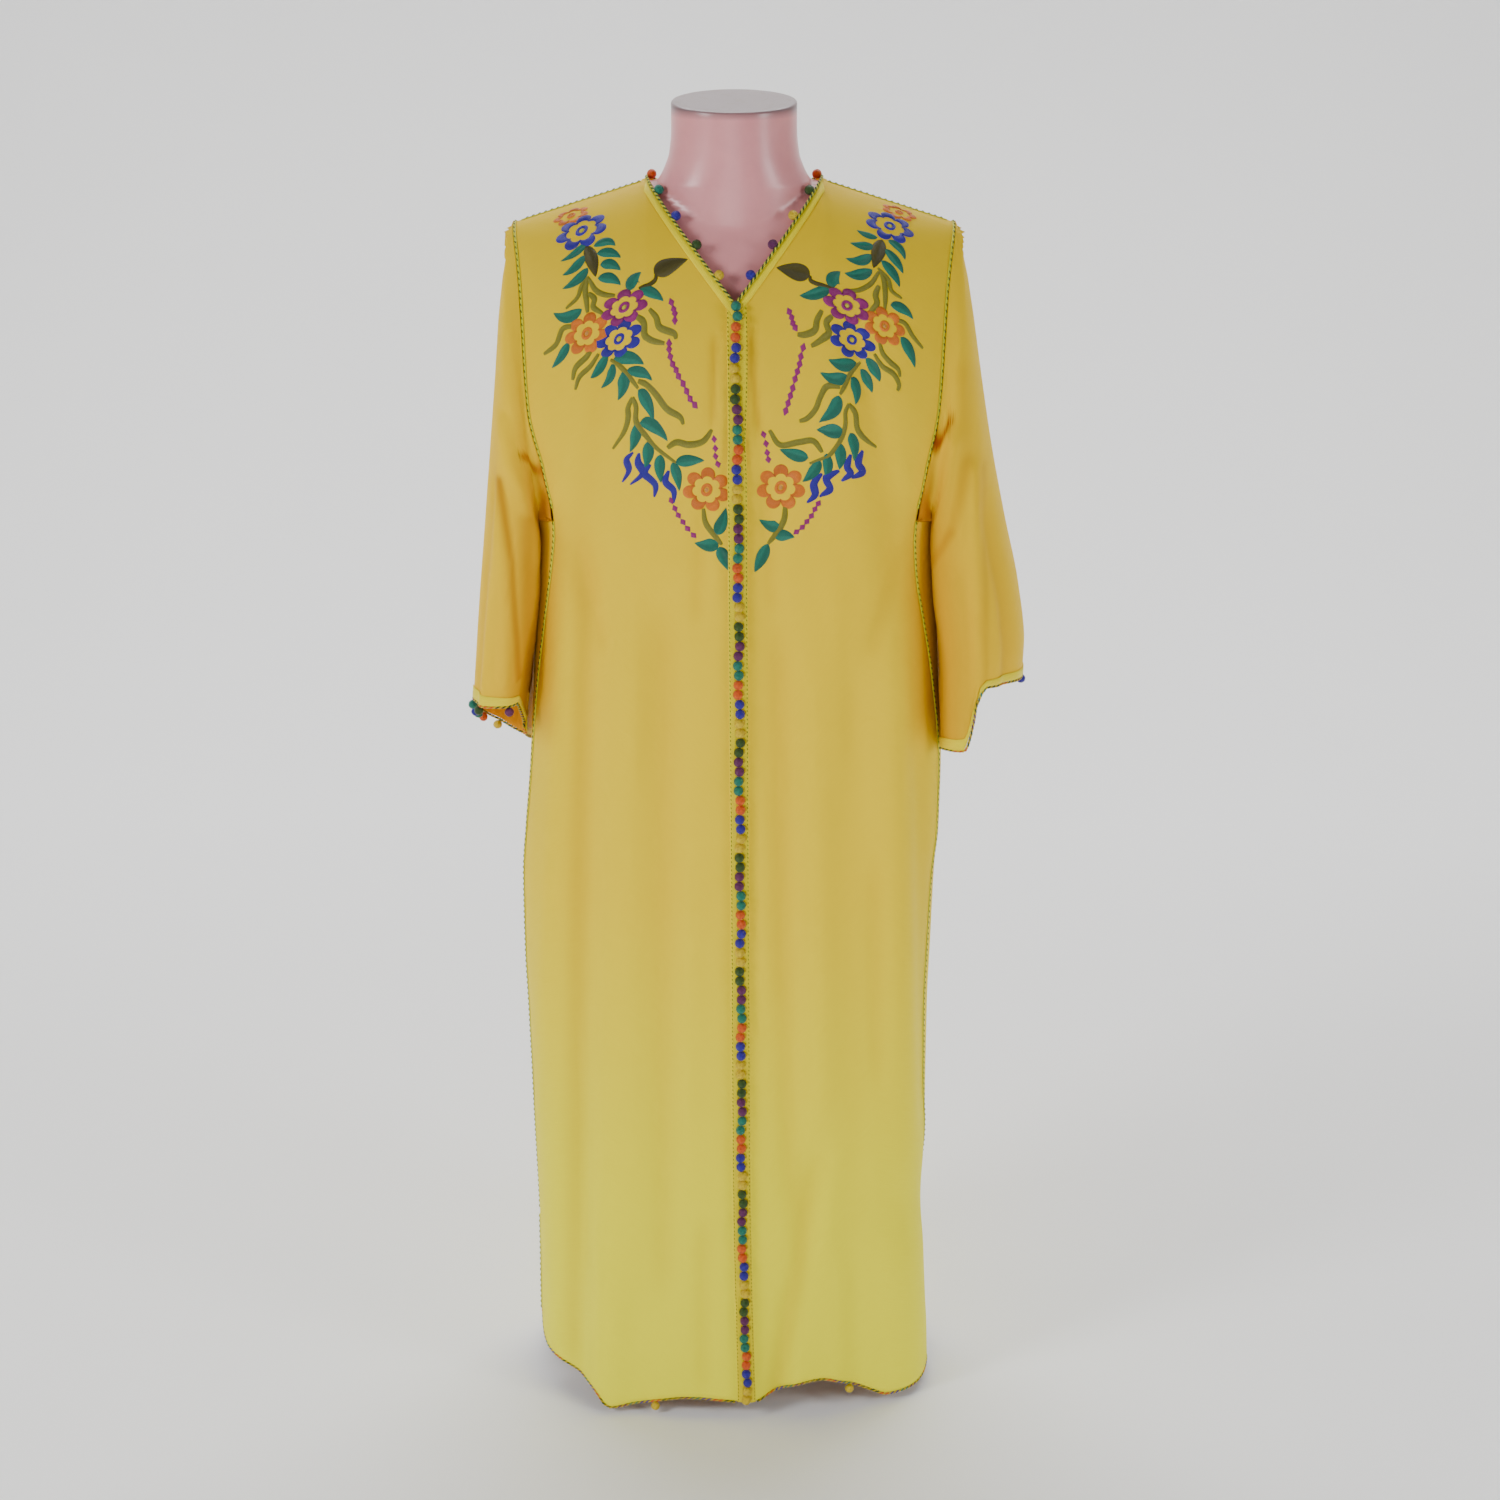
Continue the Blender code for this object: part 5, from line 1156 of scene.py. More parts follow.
def makeBraid():
    # flat braid: fine slanting plaits; painted shade darkens the low points of the weave, and soft uneven
    # patches of soiling darken it too
    colour, dark = (0.97, 0.85, 0.001), (0.80, 0.62, 0.001)
    shine = {"Sheen Weight": 0.08, "Specular IOR Level": 0.2, "Specular Tint": (1.0, 0.85, 0.4)}
    material, tree, shader = startMaterial("yellow_braid", shine)
    weave = useGroup(tree, weaveGroup, {"Pitch": 0.0009})
    wear = useGroup(tree, wearGroup, {"Scale": 60.0})
    shade = mixColour(tree, weave["Height"], dark, colour)
    shade = mixColour(tree, mathNode(tree, "MULTIPLY", wear["Patches"], 0.2), shade, dark)
    setSurface(tree, shader, shade, weave["Height"], (0.45, 0.65), weave["Height"], 0.0002, 0.9)
    return material


def makeFormGloss():
    # painted pink form: semi-gloss with faint blotches, painted shade darkening its top, and chips along its
    # top edge
    shine = {"Coat Weight": 0.25, "Coat Roughness": 0.28, "Subsurface Weight": 0.05}
    material, tree, shader = startMaterial("form_gloss", shine)
    wear = useGroup(tree, wearGroup, {"Scale": 16.0})
    place = objectPlace(tree)
    colour = ramp(tree, wear["Patches"], ((0.30, (0.700, 0.270, 0.290)), (0.75, (0.820, 0.340, 0.350))))
    flake = noiseNode(tree, place, Scale=95.0, Detail=3.0)
    # painted shade on the top of the neck; the same mask places the chips
    topShadeAndChips = mapRange(tree, axes(tree, place)[2], {"From Min": 1.236, "From Max": 1.2435})
    chips = mathNode(tree, "GREATER_THAN", mathNode(tree, "MULTIPLY", flake, topShadeAndChips), 0.60)
    colour = mixColour(tree, mathNode(tree, "MULTIPLY", topShadeAndChips, 0.9), colour, (0.150, 0.110, 0.118))
    colour = mixColour(tree, chips, colour, (0.1878, 0.1070, 0.0887))
    setSurface(tree, shader, colour, wear["Patches"], (0.24, 0.42), flake, 0.0002, 0.12)
    return material


def makeMetal():
    # brushed metal of the stand, paler on its edges
    material, tree, shader = startMaterial("stand_metal", {"Metallic": 0.9})
    grain = noiseNode(tree, stretch(tree, objectPlace(tree), (40.0, 40.0, 900.0)), Scale=3.0, Detail=3.0)
    wear = useGroup(tree, wearGroup, {"Scale": 30.0})
    colour = ramp(tree, grain, ((0.3, (0.42, 0.42, 0.43)), (0.7, (0.62, 0.62, 0.62))))
    colour = mixColour(tree, wear["Edges"], colour, (0.75, 0.75, 0.74))
    setSurface(tree, shader, colour, grain, (0.25, 0.42), grain, 0.0002, 0.15)
    return material


def makeFloor():
    material, tree, shader = startMaterial("pale_floor", {"Specular IOR Level": 0.2})
    wear = useGroup(tree, wearGroup, {"Scale": 1.5})
    colour = ramp(tree, wear["Patches"], ((0.2, (0.93, 0.93, 0.93)), (0.8, (0.96, 0.96, 0.96))))
    setSurface(tree, shader, colour, wear["Patches"], (0.75, 0.9))
    return material


clothMaterial = makeCloth("yellow_crepe", crepeSettings["stops"])
sleeveMaterial = makeCloth("yellow_crepe_sleeve", crepeSettings["sleeveShadedStops"])
braidMaterial = makeBraid()
formMaterial = makeFormGloss()
metalMaterial = makeMetal()
threadColours = {
    "teal": (0.004, 0.200, 0.135), "orange": (0.960, 0.185, 0.001), "flame": (0.950, 0.105, 0.0005),
    "blue": (0.022, 0.010, 0.340), "yellow": (0.950, 0.560, 0.001), "green": (0.030, 0.080, 0.008),
    "purple": (0.125, 0.012, 0.095), "magenta": (0.300, 0.010, 0.170), "olive": (0.240, 0.225, 0.014),
    "darkolive": (0.080, 0.066, 0.002), "lemon": (0.880, 0.820, 0.050), "lime": (0.860, 0.740, 0.001),
    "apricot": (0.960, 0.360, 0.080),
}
threads = {key: makeThread("thread_" + key, value) for key, value in threadColours.items()}
threadNames = list(threadColours)
stageDone("materials")

# Cloth panels. The painted shade on the cloth is deep orange: a mask starts at one value and grows over the
# next
frontSheets = {side: makeSheet(frontPanel(side)) for side in (-1, 1)}
backSheet = makeSheet(backPanel())
sleeveSheets = {side: sleeveSheet(side, frontSheets[side], backSheet) for side in (-1, 1)}
sideNames = {-1: "left", 1: "right"}
clothInner = 0.0003   # the inner layer of the cloth, off the solid's own inner face
shadeSettings = {
    "trough": (0.0010, 0.012), "troughDeep": 0.30, "crease": (0.0003, 0.0026), "creaseDeep": 0.10,
    "puckerX": (-0.030, 0.006), "puckerZ": (0.90, 0.03), "puckerDeep": 0.22,
    "beside": (0.80, 0.16), "besideZ": (0.645, 0.05, 0.90, 0.05), "besideDeep": 0.55,
    "innerTurn": (0.20, 0.14, 0.66, 0.08), "inner": (0.10, 0.15), "innerDeep": 0.35,
    "foldAt": 0.8, "foldHeight": 0.007, "fold": (0.3, 0.3), "foldDeep": 0.25,
    "cornerTurn": (0.30, 0.12, 0.62, 0.08), "corner": (-0.20, 0.14), "cornerDeep": 0.75, "creaseGain": 1.15,
}


def bodyPaintedShade(sheet, face):
    # painted shade in the troughs and creases, and where the sleeves lie against the body
    s = shadeSettings
    x, y, z = np.moveaxis(sheet["points"], -1, 0)
    trough = easeFrom(-foldHeight(x, y, z), *s["trough"]) * s["troughDeep"]
    pucker = easeFrom(-np.abs(x), *s["puckerX"]) * easeFrom(z, *s["puckerZ"])
    crease = easeFrom(-creaseHeight(x, z, face), *s["crease"]) * (s["creaseDeep"] + s["puckerDeep"] * pucker)
    beside = easeFrom(np.abs(x) / halfWidth(x, z), *s["beside"]) * between(z, *s["besideZ"])
    return np.clip(np.maximum(trough, crease) + s["besideDeep"] * beside, 0.0, 1.0)


def sleevePaintedShade(side, sheet):
    # painted shade on the side towards the body, in the folds and creases, and at the armhole's lower end
    s = shadeSettings
    share = np.linspace(0.0, 1.0, len(sheet["points"]))[:, None]
    inner = between(armholeTurns, *s["innerTurn"]) * easeFrom(share, *s["inner"])
    fold = np.maximum(-sleeveFold(side, armholeTurns, s["foldAt"]), 0.0) / s["foldHeight"]
    corner = s["cornerDeep"] * between(armholeTurns, *s["cornerTurn"]) * easeFrom(-share, *s["corner"])
    soft = s["innerDeep"] * inner + s["foldDeep"] * fold * easeFrom(share, *s["fold"])
    return np.clip(np.maximum(np.maximum(soft, corner), s["creaseGain"] * sheet["shade"]), 0.0, 1.0)


pieces = {}


def clothPiece(node, sheet, material, paintedShade):
    pieces[node] = shell("cloth_" + node, sheet, clothInner, clothThickness, material, paintedShade=paintedShade)
    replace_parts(pieces[node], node)


for side, name in sideNames.items():
    clothPiece("front_" + name, frontSheets[side], clothMaterial, bodyPaintedShade(frontSheets[side], "front"))
    clothPiece("sleeve_" + name, sleeveSheets[side], sleeveMaterial, sleevePaintedShade(side, sleeveSheets[side]))
clothPiece("back", backSheet, clothMaterial, bodyPaintedShade(backSheet, "back"))
stageDone("cloth panels")

# Braid bands
braidLow = clothThickness + seatGap
braidHigh = braidLow + braidThickness
neckRows = 3
cuffRows = 3
backOpening = slice(shoulderSteps, shoulderSteps + backNeckSteps + 1)
trims = {key: [] for key in pieces}   # what goes with each panel


def braidBand(name, node, panel, sheet):
    band = shell("braid_" + name, sheet, braidLow, braidHigh, braidMaterial)
    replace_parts(band, node)
    trims[panel].append(band)


for side, name in sideNames.items():
    sheet = frontSheets[side]
    neck = cutSheet(sheet, slice(0, neckRows), slice(0, neckSteps + 1))
    placket = cutSheet(sheet, slice(neckRows - 1, None), slice(0, bandSteps + 1))
    placket["points"][0] += unit(placket["points"][0, 1] - placket["points"][0, 0]) * seamGap
    braidBand("neck_" + name, "neck_band_" + name, "front_" + name, neck)
    braidBand("front_" + name, "placket_band_" + name, "front_" + name, placket)
    cuff = cutSheet(sleeveSheets[side], slice(-cuffRows, None))
    braidBand("cuff_" + name, "cuff_band_" + name, "sleeve_" + name, cuff)
braidBand("neck_back", "neck_band_back", "back", cutSheet(backSheet, slice(0, neckRows), backOpening))
stageDone("braid bands")

# Dress form
formColumns = ("height", "halfWidth", "front", "back", "power")
formSections = (
    (0.560, 0.1500, 0.0830, 0.0920, 2.3),
    (0.620, 0.1580, 0.0880, 0.0960, 2.3),
    (0.700, 0.1500, 0.0840, 0.0900, 2.3),
    (0.790, 0.1290, 0.0790, 0.0770, 2.3),
    (0.860, 0.1330, 0.0860, 0.0780, 2.3),
    (0.940, 0.1500, 0.0960, 0.0870, 2.4),
    (1.010, 0.1640, 0.0980, 0.0910, 2.6),
    (1.070, 0.1750, 0.0975, 0.0920, 2.8),
    (1.128, 0.1900, 0.0960, 0.0900, 2.9),
    (1.170, 0.2000, 0.0960, 0.0900, 2.9),
)
neckColumns = ("height", "halfWidth", "halfDepth")
neckSections = (
    (1.100, 0.0680, 0.0560),
    (1.164, 0.0690, 0.0560),
    (1.170, 0.0655, 0.0560),
    (1.178, 0.0615, 0.0560),
    (1.190, 0.0575, 0.0560),
    (1.210, 0.0556, 0.0560),
    (1.245, 0.0555, 0.0560),
)
formSettings = {
    "points": 96, "shoulderGap": 0.0007, "shoulderEnd": 0.168, "rounding": 14.0, "depthShare": 0.6,
    "neckReach": 0.06, "neckStart": 1.10, "low": 0.560, "top": 1.2345, "tilt": 0.098, "tiltFrom": 1.20,
    "edge": 0.0022, "edgeTurns": (30.0, 60.0, 90.0), "edgeRadius": 0.0555, "capShares": (0.94, 0.6, 0.2),
    "halvings": 36,
}


def formRing(z):
    # a level ring: where each direction meets the body's surface, found by halving, or the neck's oval
    f = formSettings
    turns = np.linspace(0.0, 2 * math.pi, f["points"], endpoint=False)
    body = {name: float(fromTable(formSections, formColumns, name, z)) for name in formColumns[1:]}
    neckWidth, neckDepth = (float(fromTable(neckSections, neckColumns, name, z)) for name in neckColumns[1:])
    below = neckPointHeight - f["shoulderGap"] - z
    width = min(body["halfWidth"], neckPoint + below / shoulderSlope) if below > 0 else neckWidth
    depth = max(neckDepth, f["depthShare"] * width if below > f["neckReach"] else neckDepth)
    direction = unit(np.stack([width * np.cos(turns), depth * np.sin(turns)], axis=-1))
    deep = np.where(direction[:, 1] < 0, body["front"], body["back"])
    low = np.zeros(len(turns))
    high = np.full(len(turns), 2 * width)
    for _ in range(f["halvings"]):
        mid = (low + high) / 2
        x, y = (direction * mid[:, None]).T
        across = np.clip(np.abs(x) / body["halfWidth"], 0.0, 1.0)
        beyond = np.maximum(np.abs(x) - f["shoulderEnd"], 0.0)
        drop = ridgeHeight(x) - f["shoulderGap"] - f["rounding"] * beyond ** 2 - z
        surface = deep * (1.0 - across ** body["power"]) ** (1.0 / body["power"]) * faceFullness(y < 0, drop)
        inside = (below > 0) & (np.abs(y) <= surface) & (np.abs(x) <= width)
        low = np.where(inside, mid, low)
        high = np.where(inside, high, mid)
    neck = 1.0 / np.hypot(direction[:, 0] / neckWidth, direction[:, 1] / neckDepth)
    radius = np.maximum(low, neck) if z > f["neckStart"] else low
    return np.stack([direction[:, 0] * radius, direction[:, 1] * radius, np.full(len(turns), z)], axis=-1)


def buildForm():
    f = formSettings
    spans = ((f["low"], 1.04, 40), (1.05, 1.158, 28), (1.160, 1.19, 16), (1.195, f["top"] - f["edge"], 10))
    rings = [formRing(z) for span in spans for z in np.linspace(*span)]
    last = rings[-1]
    for turn in np.radians(f["edgeTurns"]):
        ring = last.copy()
        ring[:, :2] *= 1.0 - f["edge"] * (1.0 - math.cos(turn)) / f["edgeRadius"]
        ring[:, 2] += f["edge"] * math.sin(turn)
        rings.append(ring)
    for share in f["capShares"]:
        ring = rings[-1].copy()
        ring[:, :2] = last[:, :2] * share
        rings.append(ring)
    rings = np.array(rings)
    lean = ease((rings[:, :, 2] - f["tiltFrom"]) / (f["top"] - f["tiltFrom"]))
    rings[:, :, 2] += lean * f["tilt"] * rings[:, :, 1]
    return loftMesh("form_torso_smooth", rings, formMaterial)


formPiece = buildForm()
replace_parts(formPiece, "form_torso")
formTree = BVHTree.FromObject(formPiece, bpy.context.evaluated_depsgraph_get())

standSettings = {
    "points": 48, "poleRadius": 0.0125, "bevel": 0.0006, "halfLength": 0.142, "halfDepth": 0.070,
    "height": 0.012,
    "base": (
        (0.0, 0.002), (0.0008, 0.0006), (0.002, 0.0), (0.010, 0.0), (0.0114, 0.0006), (0.012, 0.002),
        (0.012, 0.02),
    ),
}


def buildStand():
    # the base's rows are height and inset
    s = standSettings
    turns = np.linspace(0.0, 2 * math.pi, s["points"], endpoint=False)

    def oval(halfX, halfY, z):
        level = np.full(s["points"], z - floorLift)
        return np.stack([halfX * np.cos(turns), halfY * np.sin(turns), level], axis=-1)

    radius = s["poleRadius"]
    bevel = s["bevel"]
    bottom = s["height"] + seatGap
    top = floorLift + formSettings["low"] - seatGap
    inner = radius - bevel
    levels = [(bottom, inner), (bottom + bevel, radius), (top - bevel, radius), (top, inner)]
    pole = loftMesh("stand_pole", [oval(r, r, z) for z, r in levels], metalMaterial)
    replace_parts(pole, "form_pole")
    rings = [oval(s["halfLength"] - inset, s["halfDepth"] - inset, z) for z, inset in s["base"]]
    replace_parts(loftMesh("stand_base", rings, metalMaterial), "form_base")


buildStand()
stageDone("form and stand")


# Small parts copied along lines and gathered into one mesh
class Batch:
    def __init__(self):
        self.points = []
        self.faces = []
        self.colours = []
        self.uvs = []
        self.paintedShades = []
        self.count = 0

    def add(self, points, faces, colour, uvs, paintedShades=None):
        points = np.asarray(points, dtype=float).reshape(-1, 3)
        self.points.append(points)
        self.faces.extend([[index + self.count for index in face] for face in faces])
        self.colours.extend([threadNames.index(colour)] * len(faces))
        self.uvs.append(np.asarray(uvs, dtype=float).reshape(-1, 2))
        self.paintedShades.append(np.zeros(len(points)) if paintedShades is None else np.asarray(paintedShades, dtype=float).ravel())
        self.count += len(points)

    def build(self, name, node=None):
        used = sorted(set(self.colours))
        materials = [threads[threadNames[k]] for k in used]
        indices = [used.index(k) for k in self.colours]
        item = addObject(name, np.concatenate(self.points), self.faces, materials, indices=indices,
                         uvs=np.concatenate(self.uvs), attributes={"paintedShade": np.concatenate(self.paintedShades)})
        if node:
            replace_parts(item, node)
        return item


ballRadius = 0.0045
ballSettings = {
    "sides": 22, "rings": 15, "strands": 9.5, "least": 0.92, "relief": 0.10, "groove": 0.75,
    "axes": ((0.9, 0.3, 0.3), (-0.3, 0.9, 0.35), (-0.4, -0.35, 0.85)),
}


def makeBall():
    # a knotted ball: three families of strands wound over each other, with painted shade in the grooves
    # between them
    b = ballSettings
    lat = np.linspace(0.0, math.pi, b["rings"])[:, None]
    lon = np.linspace(0.0, 2 * math.pi, b["sides"], endpoint=False)[None, :]
    level = np.zeros(lon.shape)
    direction = np.stack([np.sin(lat) * np.cos(lon), np.sin(lat) * np.sin(lon), np.cos(lat) + level], axis=-1)
    along = [direction @ axis for axis in unit(np.array(b["axes"]))]
    relief = np.maximum.reduce([np.cos(b["strands"] * a) * (1.0 - 0.5 * np.abs(a)) for a in along])
    relief = (relief - relief.min()) / (relief.max() - relief.min())
    points = direction * (b["least"] + b["relief"] * relief)[..., None]
    uvs = np.stack([lon / (2 * math.pi) * 0.02 + 0 * lat, lat / math.pi * 0.01 + level], axis=-1)
    return points.reshape(-1, 3), gridFaces(b["rings"], b["sides"], 1), uvs, b["groove"] * (1.0 - relief) ** 2


ballShape = makeBall()


def addBall(batch, centre, colour, axis, radius):
    points, faces, uvs, paintedShades = ballShape
    axis = unit(np.asarray(axis, dtype=float))
    side = unit(np.cross(axis, (0.31, 0.87, 0.38)))
    turn = rng.uniform(0.0, 2 * math.pi)
    first = side * math.cos(turn) + np.cross(axis, side) * math.sin(turn)
    turned = (points * radius) @ np.stack([first, np.cross(axis, first), axis])
    batch.add(np.asarray(centre) + turned, faces, colour, uvs, paintedShades)


def addTube(batch, line, radius, colour, sides=6, flat=1.0, normals=None):
    # a thin round or flattened thread along a line
    line = np.asarray(line, dtype=float)
    ahead = unit(np.gradient(line, axis=0))
    side = unit(np.cross(ahead, np.cross(ahead, (0.21, 0.35, 0.91)) if normals is None else normals))
    up = np.cross(side, ahead)
    radii = np.broadcast_to(radius, len(line))[:, None, None]
    turns = np.linspace(0.0, 2 * math.pi, sides, endpoint=False)
    swing = np.cos(turns)[None, :, None] * side[:, None] + flat * np.sin(turns)[None, :, None] * up[:, None]
    uvs = np.stack(np.broadcast_arrays(polyLengths(line)[:, None], turns * 0.001), axis=-1)
    batch.add(line[:, None] + radii * swing, tubeFaces(len(line), sides), colour, uvs)


def addStitch(batch, middle, along, normal, length, radius, colour):
    # one short stitch: a thread that dips into the cloth at both ends
    shares = np.array([-1.0, -0.72, 0.0, 0.72, 1.0])
    dip = np.outer(np.abs(shares) ** 3, normal) * radius * 1.6
    line = middle + np.outer(shares, along) * length / 2 - dip
    radii = radius * np.array([0.55, 0.9, 1.0, 0.9, 0.55])
    addTube(batch, line, radii, colour, sides=5, normals=np.tile(normal, (len(shares), 1)))


def lineFrames(points, normals, spacing, start=0.0, end=0.0):
    # evenly spaced places on a line with their directions along it and away from the cloth
    length = polyLengths(points)[-1]
    count = max(2, int((length - start - end) / spacing) + 1)
    places = start + np.arange(count) * spacing
    places = places[places <= length - end]
    ahead = unit(pickPlaces(points, unit(np.gradient(points, axis=0)), places))
    return pickPlaces(points, points, places), ahead, unit(pickPlaces(points, normals, places)), places


# Front closing: knotted ball buttons in pairs of one colour, each in its loop
buttonSettings = {
    "count": 116, "groups": 7, "offset": 0.0015, "margin": 0.0035, "lastGap": 0.001, "bunch": 0.017,
    "sway": 0.0007, "seat": 0.94, "tilt": 0.2, "sizes": (0.985, 1.02),
    "first": ("teal", "flame", "blue", "yellow"),
    "then": ("green", "purple", "teal", "flame", "blue", "yellow"),
    "loopRadius": 0.00045, "loopReach": 0.0056, "loopSizes": (0.96, 1.1), "loopHalf": 0.0030,
    "loopRise": 0.0008, "loopTurns": (-1.9, 1.9, 9), "loopColour": "yellow",
}


def addButton(balls, number, colour, foot, up, ahead):
    b = buttonSettings
    side = unit(np.cross(up, ahead))
    side = side if side[0] > 0 else -side
    sway = b["sway"] * math.sin(number * 1.9) + b["sway"] * math.sin(number * 0.63)
    centre = foot + up * (seatGap + ballRadius * b["seat"]) + side * sway
    addBall(balls, centre, colour, side + b["tilt"] * up, ballRadius * rng.uniform(*b["sizes"]))
    reach = b["loopReach"] * rng.uniform(*b["loopSizes"])
    loop = []
    for t in np.linspace(*b["loopTurns"]):
        rise = b["loopRadius"] * 1.1 + b["loopRise"] * max(0.0, math.cos(t))
        across = sway + reach * math.cos(t)
        loop.append(foot + side * across + ahead * (b["loopHalf"] * math.sin(t)) + up * rise)
    addTube(balls, loop, b["loopRadius"], b["loopColour"], sides=5, normals=np.tile(up, (len(loop), 1)))


def buildButtons():
    b = buttonSettings
    share = b["offset"] / placketWidth[1] * bandSteps
    points = liftSheet(frontSheets[1], braidHigh)
    line = points[:, 0] * (1.0 - share) + points[:, 1] * share
    reach = polyLengths(line)[-1] - b["margin"] - ballRadius - b["lastGap"]
    shares = np.arange(b["count"]) / (b["count"] - 1)
    spots = b["margin"] + reach * (shares - b["bunch"] * np.sin(math.pi * shares))
    feet = pickPlaces(line, line, spots)
    ups = unit(pickPlaces(line, frontSheets[1]["normals"][:, 0], spots))
    aheads = unit(pickPlaces(line, unit(np.gradient(line, axis=0)), spots))
    colours = [colour for colour in b["first"] for _ in range(2)]
    while len(colours) < b["count"]:
        colours += [colour for colour in b["then"] for _ in range(2)]
    nodes = ["button_row_{:02d}".format(group + 1) for group in range(b["groups"])]
    ends = np.array([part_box(node)[0][2] for node in nodes])
    groups = [min(int(np.sum(foot[2] + floorLift < ends)), b["groups"] - 1) for foot in feet]
    for group, node in enumerate(nodes):
        balls = Batch()
        for k in range(b["count"]):
            if groups[k] == group:
                addButton(balls, k, colours[k], feet[k], ups[k], aheads[k])
        balls.build("ball_buttons_{:02d}".format(group + 1), node)


buildButtons()
stageDone("ball buttons")

# Neck, cuff and hem cords with their hanging balls
cordSettings = {
    "radius": 0.00130, "pitch": 0.0056, "steps": 9, "strandOffset": 0.46, "strandRadius": 0.56,
    "edgeGap": 0.0004, "neckColours": ("green", "lemon"), "neckStart": 0.003, "neckSeat": 0.8,
    "neckPitch": 0.0345, "neckFirst": 0.028,
    "neckBalls": {-1: ("yellow", "green", "blue", "teal"), 1: ("blue", "purple", "yellow", "green")},
    "backBalls": ("flame", "teal", "blue", "purple", "green", "flame"), "backFirst": 0.013,
    "inward": 0.0046, "raise": 0.0012, "level": 0.3, "backLevel": 1.6, "clear": 0.0004, "shank": 0.0008,
    "rimColours": ("green", "yellow"), "hemReach": 0.0062, "cuffReach": 0.0058, "hangSize": 0.96,
    "neckSize": 0.98,
    "cuffPitch": 0.033, "cuffFirst": 0.010, "cuffEnd": 0.0006,
    "cuffBare": {-1: (0.36, 0.66), 1: (0.02, 0.64)},
    "cuffBalls": ("blue", "teal", "green", "purple", "yellow", "flame", "teal"),
    "hemInset": 0.003, "hemBalls": {-1: 0.090, 1: 0.118}, "backHemBalls": (0.15, 0.37),
    "hemBallColours": ("yellow",),
    "hemRuns": {"length": 0.011, "colours": ("green", "flame", "blue", "teal", "purple", "olive")},
    "cuffRuns": {"length": 0.016, "colours": ("green", "teal", "green", "purple", "green", "flame")},
}


def addTwist(batch, points, normals, colours, start=0.0, end=0.0, runs=None):
    # two strands laid round each other; runs changes the first strand's colour along the way
    c = cordSettings
    step = c["pitch"] / c["steps"]
    radius = c["radius"] * c["strandRadius"]
    foot, ahead, up, places = lineFrames(points, normals, step, start, end)
    side = unit(np.cross(ahead, up))
    for strand, colour in enumerate(colours):
        phase = (places / c["pitch"] * 2 * math.pi + strand * math.pi)[:, None]
        line = foot + c["radius"] * c["strandOffset"] * (np.cos(phase) * side + np.sin(phase) * up)
        if runs is None or strand:
            addTube(batch, line, radius, colour, normals=up)
            continue
        size = max(6, int(runs["length"] / step))
        for k, first in enumerate(range(0, len(line) - 2, size)):
            piece = slice(first, first + size + 1)
            addTube(batch, line[piece], radius, runs["colours"][k % len(runs["colours"])], normals=up[piece])


def neckEdge(name, sheet, columns, colours, behind=False):
    # the balls stand inwards from the neck's edge, clear of the form
    c = cordSettings
    neck = Batch()
    raised = liftSheet(sheet, braidHigh)[:neckRows, columns]
    edge = raised[0]
    normals = sheet["normals"][0, columns]
    addTwist(neck, edge + normals * (seatGap + c["radius"] * c["neckSeat"]), normals, c["neckColours"],
             start=0.0 if behind else c["neckStart"])
    places = c["neckFirst"] + np.arange(len(colours)) * c["neckPitch"]
    if behind:
        places = np.linspace(c["backFirst"], polyLengths(edge)[-1] - c["backFirst"], len(colours))
    spots = pickPlaces(edge, edge, places)
    inward = unit(pickPlaces(edge, edge - raised[-1], places))
    up = unit(pickPlaces(edge, normals, places))
    for spot, direction, normal, colour in zip(spots, inward, up, colours):
        level = unit(np.array([-spot[0], -spot[1] * 0.6, 0.0]))
        direction = unit(direction + c["backLevel" if behind else "level"] * level)
        centre = spot + direction * c["inward"] + normal * c["raise"]
        near = formTree.find_nearest((centre[0], centre[1], centre[2] + floorLift))
        gap = near[3] - ballRadius - c["clear"]
        if gap < 0:
            centre = centre - np.array(near[1]) * gap
        addTube(neck, [spot + normal * 0.0006, centre], c["shank"], colour)
        addBall(neck, centre, colour, direction + 0.3 * normal, ballRadius * c["neckSize"])
    return neck.build("neck_edge_" + name, "neck_cord_" + name)


def rimLine(sheet, height):
    # the middle of an open edge, the way out of it and its normals; a closed edge ends where it starts
    points = liftSheet(sheet, height / 2)
    line = points[-1]
    tangent = unit(around(line) if sheet["closed"] else np.gradient(line, axis=0))
    away = line - points[-2]
    away = unit(away - tangent * np.sum(away * tangent, axis=1, keepdims=True))
    rows = (line, away, sheet["normals"][-1])
    return [np.concatenate([row, row[:1]]) for row in rows] if sheet["closed"] else rows


def rimEdge(kind, name, rim, places, colours, **limits):
    # the whipped cord on an open edge, with a ball hanging at each place
    c = cordSettings
    edge = Batch()
    points, away, normals = rim
    addTwist(edge, points + away * (c["edgeGap"] + c["radius"]), normals, c["rimColours"], **limits)
    for number, place in enumerate(places):
        colour = colours[number % len(colours)]
        down = unit(pickPlaces(points, away, [place])[0])
        foot = pickPlaces(points, points, [place])[0] + down * c["radius"]
        centre = foot + down * c[kind + "Reach"]
        addTube(edge, [foot, centre], c["shank"], colour)
        addBall(edge, centre, colour, down, ballRadius * c["hangSize"])
    return edge.build(kind + "_edge_" + name, kind + "_cord_" + name)


def cuffPlaces(side, points):
    # evenly round the cuff, but for the part that is bare in the photo
    c = cordSettings
    lengths = polyLengths(points)
    places = np.arange(c["cuffFirst"], lengths[-1] - c["cuffFirst"], c["cuffPitch"])
    turns = np.interp(places, lengths, np.linspace(0.0, 1.0, len(lengths)))
    low, high = c["cuffBare"][side]
    return places[(turns <= low) | (turns >= high)]


